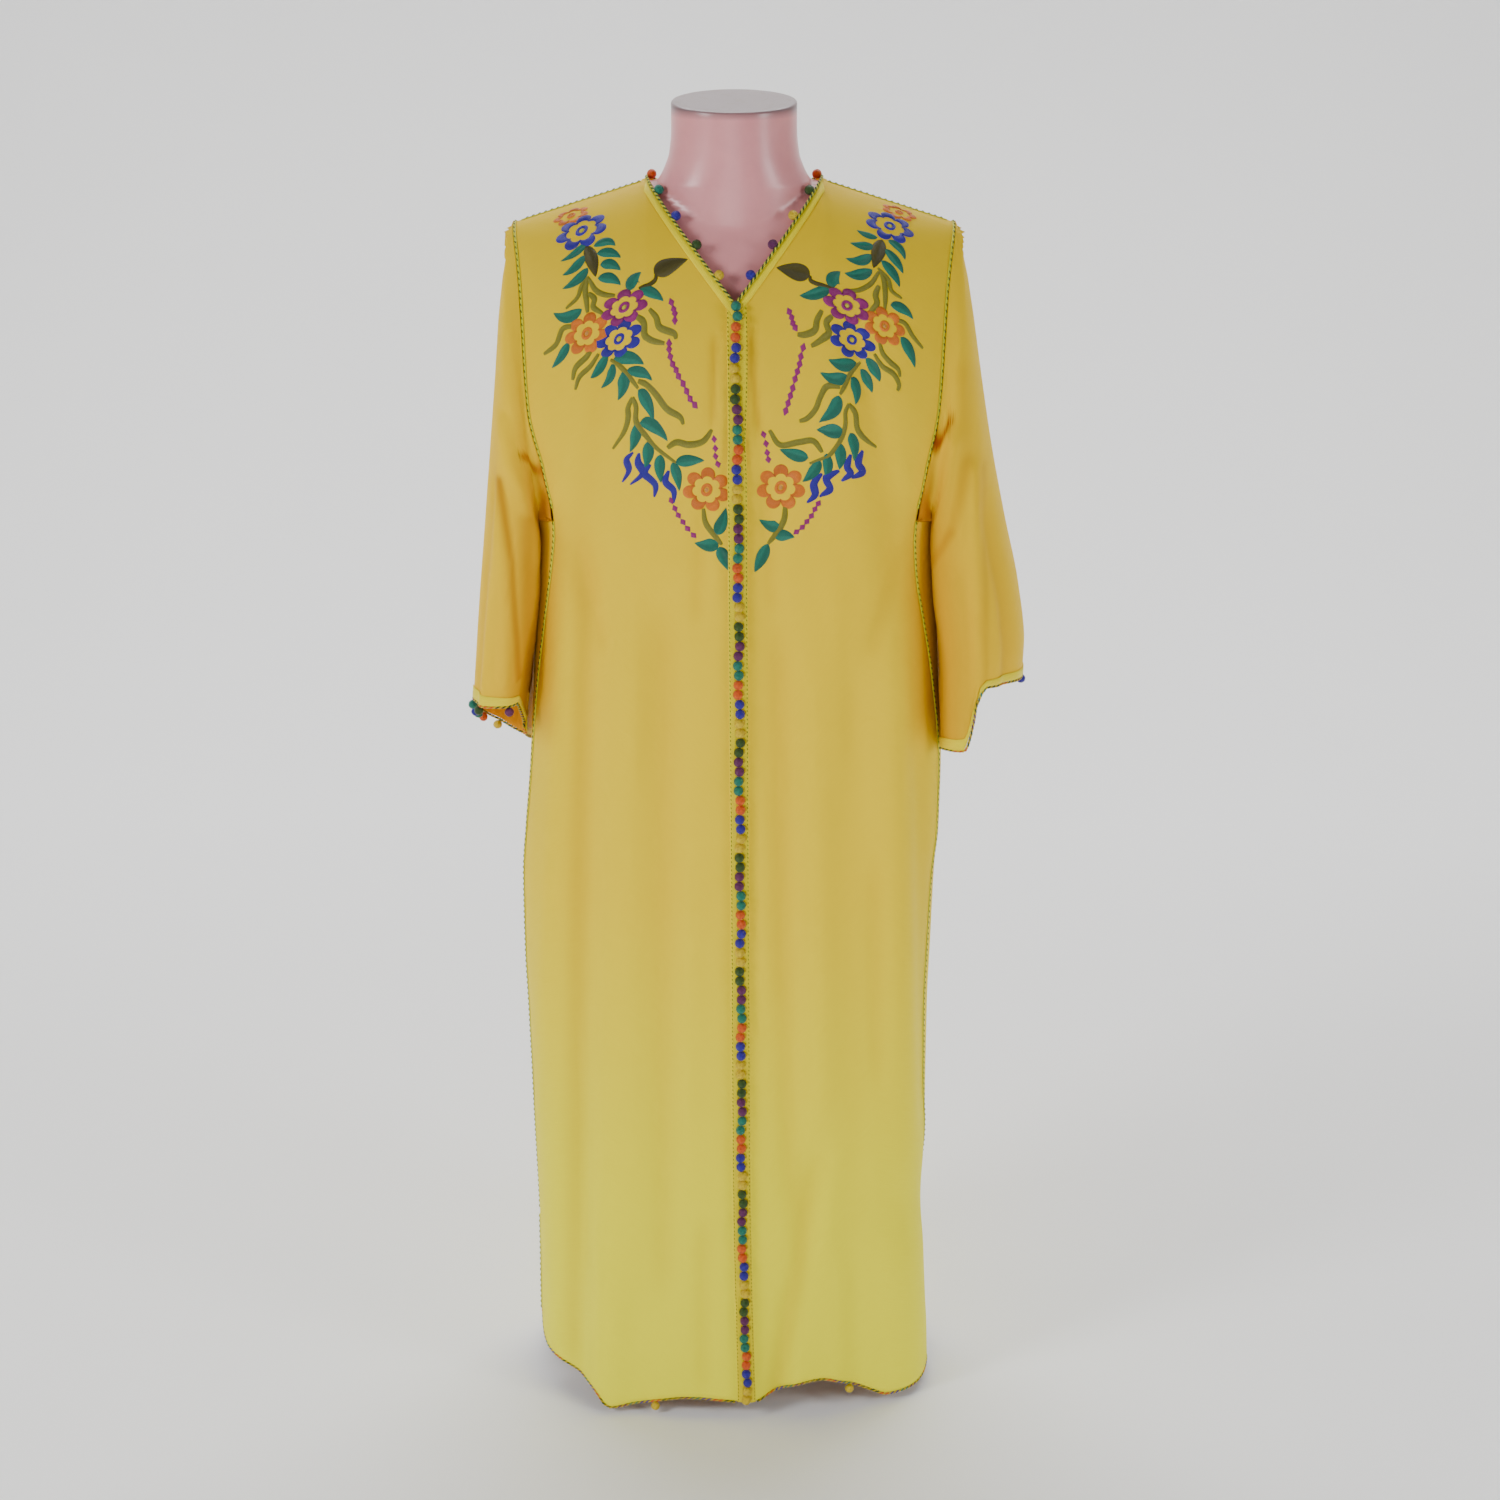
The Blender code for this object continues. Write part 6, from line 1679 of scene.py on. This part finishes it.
def buildEdges():
    c = cordSettings
    inset = {"end": c["hemInset"], "runs": c["hemRuns"]}
    for side, name in sideNames.items():
        sheet = frontSheets[side]
        neck = neckEdge(name, sheet, slice(0, neckSteps + 1), c["neckBalls"][side])
        hem = rimEdge("hem", name, rimLine(sheet, clothThickness), [c["hemBalls"][side]], c["hemBallColours"],
                      start=placketWidth[side] + c["hemInset"], **inset)
        rim = rimLine(sleeveSheets[side], braidHigh)
        cuff = rimEdge("cuff", name, rim, cuffPlaces(side, rim[0]), c["cuffBalls"], end=c["cuffEnd"],
                       runs=c["cuffRuns"])
        trims["front_" + name] += [neck, hem]
        trims["sleeve_" + name].append(cuff)
    neck = neckEdge("back", backSheet, backOpening, c["backBalls"], behind=True)
    rim = rimLine(backSheet, clothThickness)
    places = [share * polyLengths(rim[0])[-1] for share in c["backHemBalls"]]
    hem = rimEdge("hem", "back", rim, places, c["hemBallColours"], start=c["hemInset"], **inset)
    trims["back"] += [neck, hem]


buildEdges()
stageDone("edge cords and balls")

# Seams: a narrow yellow braid under green stitches on the shoulders, armholes, sides and slits
seamSettings = {
    "braidRadius": 0.0015, "braidStep": 0.004, "flat": 0.42, "lift": 0.0004, "armholeLift": 0.0005,
    "armholeInset": 0.0010, "bandInset": 0.0006, "slitHeight": 0.150, "ends": 0.002,
    "seam": {"braid": True, "stitch": 0.0030, "radius": 0.00052, "spacing": 0.0058, "slant": 0.45},
    "band": {"braid": False, "stitch": 0.0020, "radius": 0.00036, "spacing": 0.0040, "slant": 0.25},
}


def seamLine(batch, points, normals, kind="seam"):
    s = seamSettings
    look = s[kind]
    top = 0.0
    if look["braid"]:
        fine = lineFrames(points, normals, s["braidStep"])
        addTube(batch, fine[0], s["braidRadius"], "lime", sides=8, flat=s["flat"], normals=fine[2])
        top = s["braidRadius"] * s["flat"]
    foot, ahead, up, _ = lineFrames(points, normals, look["spacing"], s["ends"], s["ends"])
    for spot, direction, normal in zip(foot, ahead, up):
        lean = unit(direction + look["slant"] * np.cross(normal, direction))
        spot = spot + normal * (top + look["radius"] * 0.5)
        addStitch(batch, spot, lean, normal, look["stitch"], look["radius"], "green")


def buildSeams():
    s = seamSettings
    raisedBack = liftSheet(backSheet, clothThickness + s["lift"])
    shoulder = slice(neckSteps + 1, neckSteps + shoulderSteps)
    for side, name in sideNames.items():
        sheet = frontSheets[side]
        normals = sheet["normals"]
        raised = liftSheet(sheet, clothThickness + s["lift"])
        last = underRow + int(np.argmin(np.abs(sheet["points"][underRow:, -1, 2] - s["slitHeight"])))
        seams = Batch()
        loop, loopNormals, away = armholeLoop(sheet, backSheet, side)
        ring = loop + loopNormals * (clothThickness + s["armholeLift"]) - away * s["armholeInset"]
        for part in (slice(0, underRow - 1), slice(underRow + 2, len(ring))):
            seamLine(seams, ring[part], loopNormals[part])
        for rows, columns in ((slice(underRow, last), -1), (slice(last, None), -2)):
            seamLine(seams, raised[rows, columns], normals[rows, columns])
        backColumn = -2 if side < 0 else 1
        seamLine(seams, raisedBack[last:, backColumn], backSheet["normals"][last:, backColumn])
        seamLine(seams, raised[0, shoulder], normals[0, shoulder])
        bands = Batch()
        braid = liftSheet(sheet, braidHigh)[neckRows:]
        edge = braid[:, bandSteps]
        inset = s["bandInset"] * unit(edge - braid[:, bandSteps - 1])
        seamLine(bands, edge - inset, normals[neckRows:, bandSteps], "band")
        trims["front_" + name].append(seams.build("seam_stitches_" + name))
        trims["front_" + name].append(bands.build("band_stitches_" + name))


buildSeams()
stageDone("seam stitches")

# Embroidery: satin-stitched flowers, leaves, stems and lozenges. The tables hold thousandths of a metre on
# the flat pattern of the front: x and the distance over the cloth from the shoulder line. Leaves and stems
# start with a width, and flowers end with a radius and a turn in degrees
leaves = {
    "teal": (
        (7.9, -122, 93, -111, 92, -103, 99), (7.9, -119, 101, -108, 104, -98, 112),
        (7.9, -116, 113, -107, 115, -98, 123), (7.6, -118, 124, -107, 127, -98, 135),
        (7.3, -129, 86, -138, 94, -151, 98), (8.2, -130, 99, -138, 108, -149, 112),
        (8.2, -127, 112, -136, 120, -149, 124), (11.5, -86, 141, -87, 135, -80, 130),
        (7.9, -82, 144, -70, 147, -61, 153), (8.4, -132, 145, -145, 148, -157, 142),
        (6.9, -144, 167, -150, 175, -159, 182), (8.2, -111, 183, -118, 191, -126, 196),
        (7.8, -107, 191, -108, 199, -117, 205), (10.1, -97, 198, -96, 207, -101, 216),
        (8.0, -105, 188, -90, 190, -78, 197), (6.6, -93, 198, -80, 202, -71, 208),
        (8.6, -83, 213, -75, 223, -70, 235), (9.2, -82, 235, -68, 240, -58, 251),
        (9.4, -86, 235, -86, 246, -91, 257), (9.4, -76, 252, -75, 263, -78, 275),
        (8.9, -64, 263, -65, 275, -64, 288), (8.2, -54, 270, -50, 281, -48, 295),
        (9.7, -51, 270, -39, 268, -26, 268), (9.9, -16, 334, -11, 324, -7, 310),
        (10.9, -14, 341, -23, 344, -35, 342), (9.9, -13, 345, -9, 355, -3, 368),
        (6.3, 125, 82, 115, 83, 107, 81), (7.6, 121, 92, 112, 96, 101, 97),
        (8.0, 119, 102, 110, 111, 97, 113), (8.2, 120, 116, 108, 124, 96, 126),
        (7.9, 134, 82, 144, 86, 149, 97), (8.2, 131, 92, 141, 101, 147, 111),
        (8.4, 128, 105, 138, 113, 144, 124), (11.0, 87, 140, 86, 134, 92, 126),
        (8.4, 83, 143, 70, 148, 57, 149), (7.6, 136, 141, 147, 141, 156, 147),
        (8.1, 145, 163, 153, 171, 158, 182), (8.1, 107, 190, 94, 194, 82, 193),
        (7.7, 98, 200, 87, 205, 75, 203), (8.3, 116, 185, 124, 191, 128, 198),
        (8.5, 111, 194, 118, 200, 122, 207), (8.5, 102, 201, 107, 208, 106, 218),
        (8.9, 91, 215, 87, 225, 74, 236), (10.1, 95, 237, 84, 241, 72, 241),
        (9.2, 101, 238, 105, 247, 105, 261), (9.3, 92, 248, 93, 260, 92, 272),
        (8.3, 81, 261, 82, 272, 80, 284), (9.3, 75, 268, 69, 279, 60, 287),
        (10.2, 65, 266, 53, 263, 40, 258), (9.9, 41, 326, 33, 327, 22, 321),
        (9.6, 35, 336, 44, 335, 53, 337), (10.2, 30, 343, 24, 356, 18, 368),
    ),
    "darkolive": (
        (10.0, -129, 90, -123, 107, -120, 122), (13.1, -69, 132, -57, 126, -40, 120),
        (11.0, 129, 83, 125, 99, 121, 114), (13.1, 66, 134, 53, 130, 37, 127),
    ),
}
stems = {
    "olive": (
        (3.1, -126, 120, -132, 126, -136, 135, -146, 141),
        (4.0, -127, 120, -129, 130, -128, 139, -127, 149),
        (3.4, -126, 122, -120, 133, -112, 139, -103, 142),
        (3.8, -126, 134, -121, 140, -122, 146, -114, 153),
        (3.6, -140, 156, -149, 156, -155, 166, -166, 171),
        (4.4, -73, 159, -67, 165, -64, 172, -52, 176, -50, 180),
        (4.4, -86, 161, -78, 168, -77, 177, -71, 181, -60, 183),
        (3.7, -124, 174, -128, 180, -138, 186, -141, 194),
        (3.2, -119, 181, -126, 188, -135, 193, -139, 201), (3.0, -108, 188, -100, 193, -91, 202, -83, 212),
        (4.1, -83, 207, -74, 212, -66, 219, -58, 227, -47, 232, -44, 237),
        (3.9, -88, 217, -92, 223, -92, 229, -95, 237, -106, 250),
        (3.7, -88, 217, -85, 224, -85, 234, -77, 246, -68, 257, -51, 270),
        (5.0, -58, 257, -50, 252, -39, 254, -27, 251, -19, 241),
        (4.3, -27, 311, -25, 324, -17, 335, -11, 343), (3.1, 126, 116, 119, 128, 109, 136, 100, 139),
        (4.0, 127, 115, 131, 126, 131, 146), (3.1, 125, 113, 134, 120, 137, 129, 146, 133),
        (4.2, 126, 128, 123, 136, 124, 143, 118, 151), (4.4, 76, 160, 72, 167, 70, 174, 62, 177, 55, 177),
        (4.4, 85, 162, 80, 168, 82, 175, 75, 181, 67, 185), (3.1, 141, 151, 149, 152, 156, 160, 165, 167),
        (3.3, 127, 171, 130, 178, 137, 183, 143, 186, 145, 191),
        (3.3, 123, 180, 130, 187, 139, 190, 144, 196, 143, 201),
        (3.0, 111, 189, 101, 199, 96, 208, 92, 214),
        (3.7, 92, 209, 81, 211, 75, 219, 71, 227, 64, 233, 57, 235),
        (3.1, 100, 219, 97, 225, 97, 233, 94, 243, 88, 255, 80, 265, 66, 271),
        (4.1, 100, 219, 106, 224, 108, 234, 116, 240, 126, 244),
        (4.6, 77, 261, 69, 251, 56, 252, 40, 254, 31, 241), (4.3, 45, 307, 44, 321, 37, 334, 30, 343),
    ),
    "darkolive": (
        (2.7, -67, 131, -68, 137, -74, 141, -82, 142), (2.7, 66, 134, 67, 138, 76, 141, 87, 141),
    ),
    "blue": (
        (5.2, -88, 258, -94, 263, -92, 273, -98, 282), (5.7, -83, 260, -84, 268, -80, 279, -91, 286),
        (5.7, -73, 272, -78, 280, -69, 290, -70, 301), (5.7, -57, 277, -60, 287, -53, 295, -53, 306),
        (6.3, 77, 280, 70, 289, 71, 299, 64, 306), (6.3, 92, 273, 81, 283, 84, 292, 75, 301),
        (5.9, 102, 256, 99, 268, 102, 273, 94, 282), (6.6, 113, 250, 109, 262, 113, 269, 103, 277),
    ),
}
flowers = (
    ("orange", -143, 41, 15, 10),
    ("blue", -133, 70, 21.5, 5),
    ("magenta", -95, 153, 20, 0),
    ("orange", -128, 164, 18.5, 12),
    ("blue", -100, 175, 19, 20),
    ("orange", -24, 294, 20, 5),
    ("orange", 145, 32, 15, -10),
    ("blue", 136, 62, 20.5, -5),
    ("magenta", 98, 151, 20, 8),
    ("orange", 131, 158, 17.5, -12),
    ("blue", 103, 175, 18.5, -10),
    ("orange", 41, 292, 20.5, 0),
)
diamondChains = (
    (-54, 154, -52, 159, -51, 162, -51, 167),
    (-56, 183, -56, 187, -55, 192, -53, 197, -50, 201, -48, 205, -44, 210, -41, 215, -38, 220, -34, 224),
    (-17, 249, -16, 257, -16, 264, -14, 271),
    (-55, 304, -52, 311, -49, 317, -45, 323, -41, 329, -36, 335),
    (48, 161, 50, 165, 51, 169, 53, 172),
    (60, 186, 58, 192, 57, 197, 55, 202, 53, 207, 51, 213, 49, 218, 47, 223, 45, 228),
    (26, 245, 28, 253, 29, 261, 30, 267),
    (74, 307, 71, 312, 68, 318, 64, 323, 60, 328, 55, 332),
)
embroiderySettings = {
    "rise": 0.00095, "sunk": 0.0001, "step": 0.0004, "leafRows": 15, "leafColumns": 9, "vein": 0.00035,
    # leafShade, stemShade and petalShades set painted shade on the satin
    "leafSlant": 0.6, "leafShade": 0.50, "stemRows": 7, "stemColumns": 5, "stemSlant": 0.8, "stemShade": 0.22,
    "stemTaper": (0.35, 1.3), "blueTaper": (0.7, 1.2), "lozenge": (0.0070, 0.0054),
    "cluster": (120.0, 200.0), "otherScale": (1.07, 1.02),
    "clusterScale": {"magenta": (1.06, 0.68), "blue": (1.14, 0.72), "orange": (1.04, 0.82)},
    "petals": 7, "petalSteps": 14, "ringColumns": 7, "petalShades": (0.42, 0.0, 0.10, 0.0, 0.30, 0.0, 0.12),
    "innerRing": (0.105, 0.27), "middle": (0.0, 0.095), "middleSteps": 28, "middleColumns": 5,
}


def onCloth(x, span, rise):
    # points over the pattern of the front, raised off the cloth
    step = embroiderySettings["step"]
    here = patternPoint(x, span, "front")
    across = patternPoint(x + step, span, "front") - here
    down = patternPoint(x, span + step, "front") - here
    normal = unit(np.cross(across, down))
    normal = np.where(normal[..., 1:2] > 0, -normal, normal)
    return here + normal * (clothThickness + rise)[..., None]


def satinStrip(batch, spine, widths, colour, columns, vein=0.0, slant=0.0, shade=0.0):
    # a domed strip along a spine in the pattern; the stitches slant away from the spine. Painted shade
    # darkens one half of the strip and the groove of its vein
    e = embroiderySettings
    ahead = unit(np.gradient(spine, axis=0))
    side = np.stack([-ahead[:, 1], ahead[:, 0]], axis=-1)
    c = np.linspace(-1.0, 1.0, columns)[None, :]
    wide = widths[:, None]
    flat = spine[:, None] + side[:, None] * (c * wide)[..., None]
    share = np.clip(wide / (widths.max() + 1e-9), 0.0, 1.0)
    rise = e["rise"] * np.sqrt(np.maximum(0.0, 1.0 - c ** 2)) * np.sqrt(share) - e["sunk"]
    rise = rise - vein * np.exp(-(c / 0.2) ** 2) * share
    lengths = polyLengths(spine)[:, None] + slant * np.abs(c) * wide
    uvs = np.stack(np.broadcast_arrays(lengths, c * 0.004), axis=-1)
    groove = 0.45 * (vein > 0) * np.exp(-(c / 0.13) ** 2)
    paintedShades = np.broadcast_to(shade * (c < -0.05) + groove, rise.shape)
    batch.add(onCloth(flat[..., 0], flat[..., 1], rise), gridFaces(*rise.shape), colour, uvs, paintedShades)


def smoothSpine(values, rows):
    # an even curve through the points of a row of the table
    points = np.array(values, dtype=float).reshape(-1, 2) / 1000.0
    if len(points) == 3:
        t = np.linspace(0.0, 1.0, rows)[:, None]
        middle = 2 * points[1] - (points[0] + points[2]) / 2
        return points[0] * (1 - t) ** 2 + middle * 2 * t * (1 - t) + points[2] * t * t
    padded = np.concatenate([2 * points[:1] - points[1:2], points, 2 * points[-1:] - points[-2:-1]])
    out = []
    for k in range(len(points) - 1):
        a, b, c, d = padded[k:k + 4]
        for t in np.linspace(0.0, 1.0, rows, endpoint=k == len(points) - 2):
            curved = (2 * a - 5 * b + 4 * c - d) * t ** 2 + (3 * b - a - 3 * c + d) * t ** 3
            out.append(0.5 * (2 * b + (c - a) * t + curved))
    return np.array(out)


def addLeaf(batch, colour, row):
    e = embroiderySettings
    spine = smoothSpine(row[1:], e["leafRows"])
    t = np.linspace(0.0, 1.0, len(spine))
    widths = row[0] / 2000.0 * np.sin(math.pi * t ** 0.8) ** 0.8 * (1.0 - 0.22 * t) * 1.2 + 0.00035
    satinStrip(batch, spine, widths, colour, e["leafColumns"], e["vein"], e["leafSlant"], e["leafShade"])


def addStem(batch, colour, row):
    e = embroiderySettings
    taper, scale = e["blueTaper" if colour == "blue" else "stemTaper"]
    spine = smoothSpine(row[1:], e["stemRows"])
    t = np.linspace(0.0, 1.0, len(spine))
    widths = row[0] / 2000.0 * scale * np.sin(math.pi * (0.06 + 0.90 * t)) ** taper + 0.0001
    satinStrip(batch, spine, widths, colour, e["stemColumns"], 0.0, e["stemSlant"], e["stemShade"])


def flowerRing(batch, colour, place, radial, turns, rise, along, paintedShades=None):
    # a ring of satin stitch round a flower's middle
    x, span, wide, tall = place
    flatX = x + wide * radial * np.sin(turns)[:, None]
    flatSpan = span - tall * radial * np.cos(turns)[:, None]
    uvs = np.stack(np.broadcast_arrays(along[:, None], radial), axis=-1)
    batch.add(onCloth(flatX, flatSpan, rise), gridFaces(*radial.shape, 0), colour, uvs, paintedShades)


def addFlower(batch, colour, x, span, radius, turn):
    e = embroiderySettings
    clustered = e["cluster"][0] < span < e["cluster"][1]
    place = (x / 1000.0, span / 1000.0, *(e["clusterScale"][colour] if clustered else e["otherScale"]))
    size = radius / 1000.0
    count = e["petals"] * e["petalSteps"]
    angle = np.linspace(0.0, 2 * math.pi, count, endpoint=False)
    lobe = np.abs(np.cos(e["petals"] * angle / 2))
    outer = size * (0.64 + 0.36 * lobe ** 0.6)
    inner = size * (0.47 + 0.11 * lobe ** 0.7)
    c = np.linspace(0.0, 1.0, e["ringColumns"])
    radial = inner[:, None] + (outer - inner)[:, None] * c
    dome = np.sqrt(np.maximum(0.0, 1.0 - (2 * c - 1) ** 2)) * (0.45 + 0.55 * lobe[:, None] ** 0.4)
    rise = e["rise"] * (1.7 if colour == "magenta" else 1.15) * dome - e["sunk"]
    # painted shade: some petals darker than others as the light falls on their satin, and all darker in the
    # notches between petals
    petal = (np.arange(count) + e["petalSteps"] // 2) // e["petalSteps"] % e["petals"]
    shades = np.array(e["petalShades"])[petal] + 0.55 * np.exp(-(lobe / 0.16) ** 2)
    paintedShades = np.broadcast_to(np.clip(shades, 0, 1)[:, None], radial.shape)
    flowerRing(batch, colour, place, radial, angle + math.radians(turn), rise, angle * size * 0.75, paintedShades)

    turns = np.linspace(0.0, 2 * math.pi, e["middleSteps"], endpoint=False)
    c = np.linspace(0.0, 1.0, e["middleColumns"])
    middleColour = "apricot" if colour == "orange" else "lemon"
    oval = (1.0 + 0.12 * np.cos(2 * turns - 0.6))[:, None]
    for (low, high), ringColour in ((e["innerRing"], colour), (e["middle"], middleColour)):
        bulge = (2 * c - 1 if low > 0 else c) ** 2
        rise = e["rise"] * np.sqrt(np.maximum(0.0, 1.0 - bulge))[None, :] - e["sunk"]
        radial = size * (low + (high - low) * c) * oval
        flowerRing(batch, ringColour, place, radial, turns, rise, turns * size * 0.2)


def addLozenges(batch, row):
    long, wide = embroiderySettings["lozenge"]
    points = np.array(row, dtype=float).reshape(-1, 2) / 1000.0
    t = np.linspace(-0.5, 0.5, 7)
    widths = wide / 2 * (1.0 - np.abs(2 * t)) + 0.0003
    for spot, direction in zip(points, unit(np.gradient(points, axis=0))):
        satinStrip(batch, spot + np.outer(t, direction) * long, widths, "magenta", 5)


def buildEmbroidery():
    for side, name in sideNames.items():
        batch = Batch()
        for table, add in ((leaves, addLeaf), (stems, addStem)):
            for colour, rows in table.items():
                for row in rows:
                    if row[1] * side > 0:
                        add(batch, colour, row)
        for flower in flowers:
            if flower[1] * side > 0:
                addFlower(batch, *flower)
        for row in diamondChains:
            if row[0] * side > 0:
                addLozenges(batch, row)
        trims["front_" + name].append(batch.build("embroidery_" + name))


buildEmbroidery()
stageDone("embroidery")

# Floor, light and camera
floorSettings = {"half": 6.0, "front": -6.0, "bendFrom": 1.6, "bendRadius": 1.6, "height": 6.0}
lights = (   # name, place, aim, size, power
    ("key", (-2.4, -1.7, 2.0), (0.0, 0.0, 0.7), (0.8, 1.0), 52.0),
    ("fill", (2.4, -1.6, 1.5), (0.0, 0.0, 0.6), (0.7, 1.0), 25.0),
    ("low", (-0.2, -2.6, 0.5), (0.0, 0.0, 0.1), (1.2, 0.5), 13.0),
    ("backdrop", (0.0, 3.0, 4.4), (0.0, 3.2, 0.0), (6.0, 2.6), 400.0),
)
worldStrength = 0.20
cameraSettings = {"lens": 64.8, "sensor": 36.0, "place": (0.014, -2.43, 1.460), "pitch": 71.5}


def buildFloor():
    # a floor that bends up into a wall behind
    f = floorSettings
    bend = np.linspace(0.0, math.pi / 2, 17)
    depth = [f["front"], *(f["bendFrom"] + f["bendRadius"] * np.sin(bend)), f["bendFrom"] + f["bendRadius"]]
    height = [0.0, *(f["bendRadius"] - f["bendRadius"] * np.cos(bend)), f["height"]]
    points = [(x, y, z - floorLift) for y, z in zip(depth, height) for x in (-f["half"], f["half"])]
    faces = [(2 * k, 2 * k + 1, 2 * k + 3, 2 * k + 2) for k in range(len(depth) - 1)]
    addObject("studio_floor", points, faces, [makeFloor()], body=None)


def areaLight(name, place, aim, size, power):
    data = bpy.data.lights.new(name, "AREA")
    data.shape = "RECTANGLE"
    data.size, data.size_y = size
    data.energy = power
    lamp = bpy.data.objects.new(name, data)
    bpy.context.collection.objects.link(lamp)
    lamp.location = place
    direction = np.array(aim) - np.array(place)
    pitch = math.atan2(math.hypot(direction[0], direction[1]), -direction[2])
    lamp.rotation_euler = (pitch, 0.0, math.atan2(direction[1], direction[0]) - math.pi / 2)


def buildLight():
    world = bpy.data.worlds.new("studio_world")
    bpy.context.scene.world = world
    world.use_nodes = True
    inputs = {"Color": (1.0, 1.0, 1.0), "Strength": worldStrength}
    fill(world.node_tree, world.node_tree.nodes["Background"], inputs)
    for light in lights:
        areaLight(*light)


def buildCamera():
    data = bpy.data.cameras.new("photo_camera")
    data.lens = cameraSettings["lens"]
    data.sensor_width = cameraSettings["sensor"]
    camera = bpy.data.objects.new("photo_camera", data)
    bpy.context.collection.objects.link(camera)
    camera.location = cameraSettings["place"]
    camera.rotation_euler = (math.radians(cameraSettings["pitch"]), 0.0, 0.0)
    bpy.context.scene.camera = camera


buildFloor()
buildLight()
buildCamera()
stageDone("stage, light and camera")


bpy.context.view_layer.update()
stageDone("sizes")
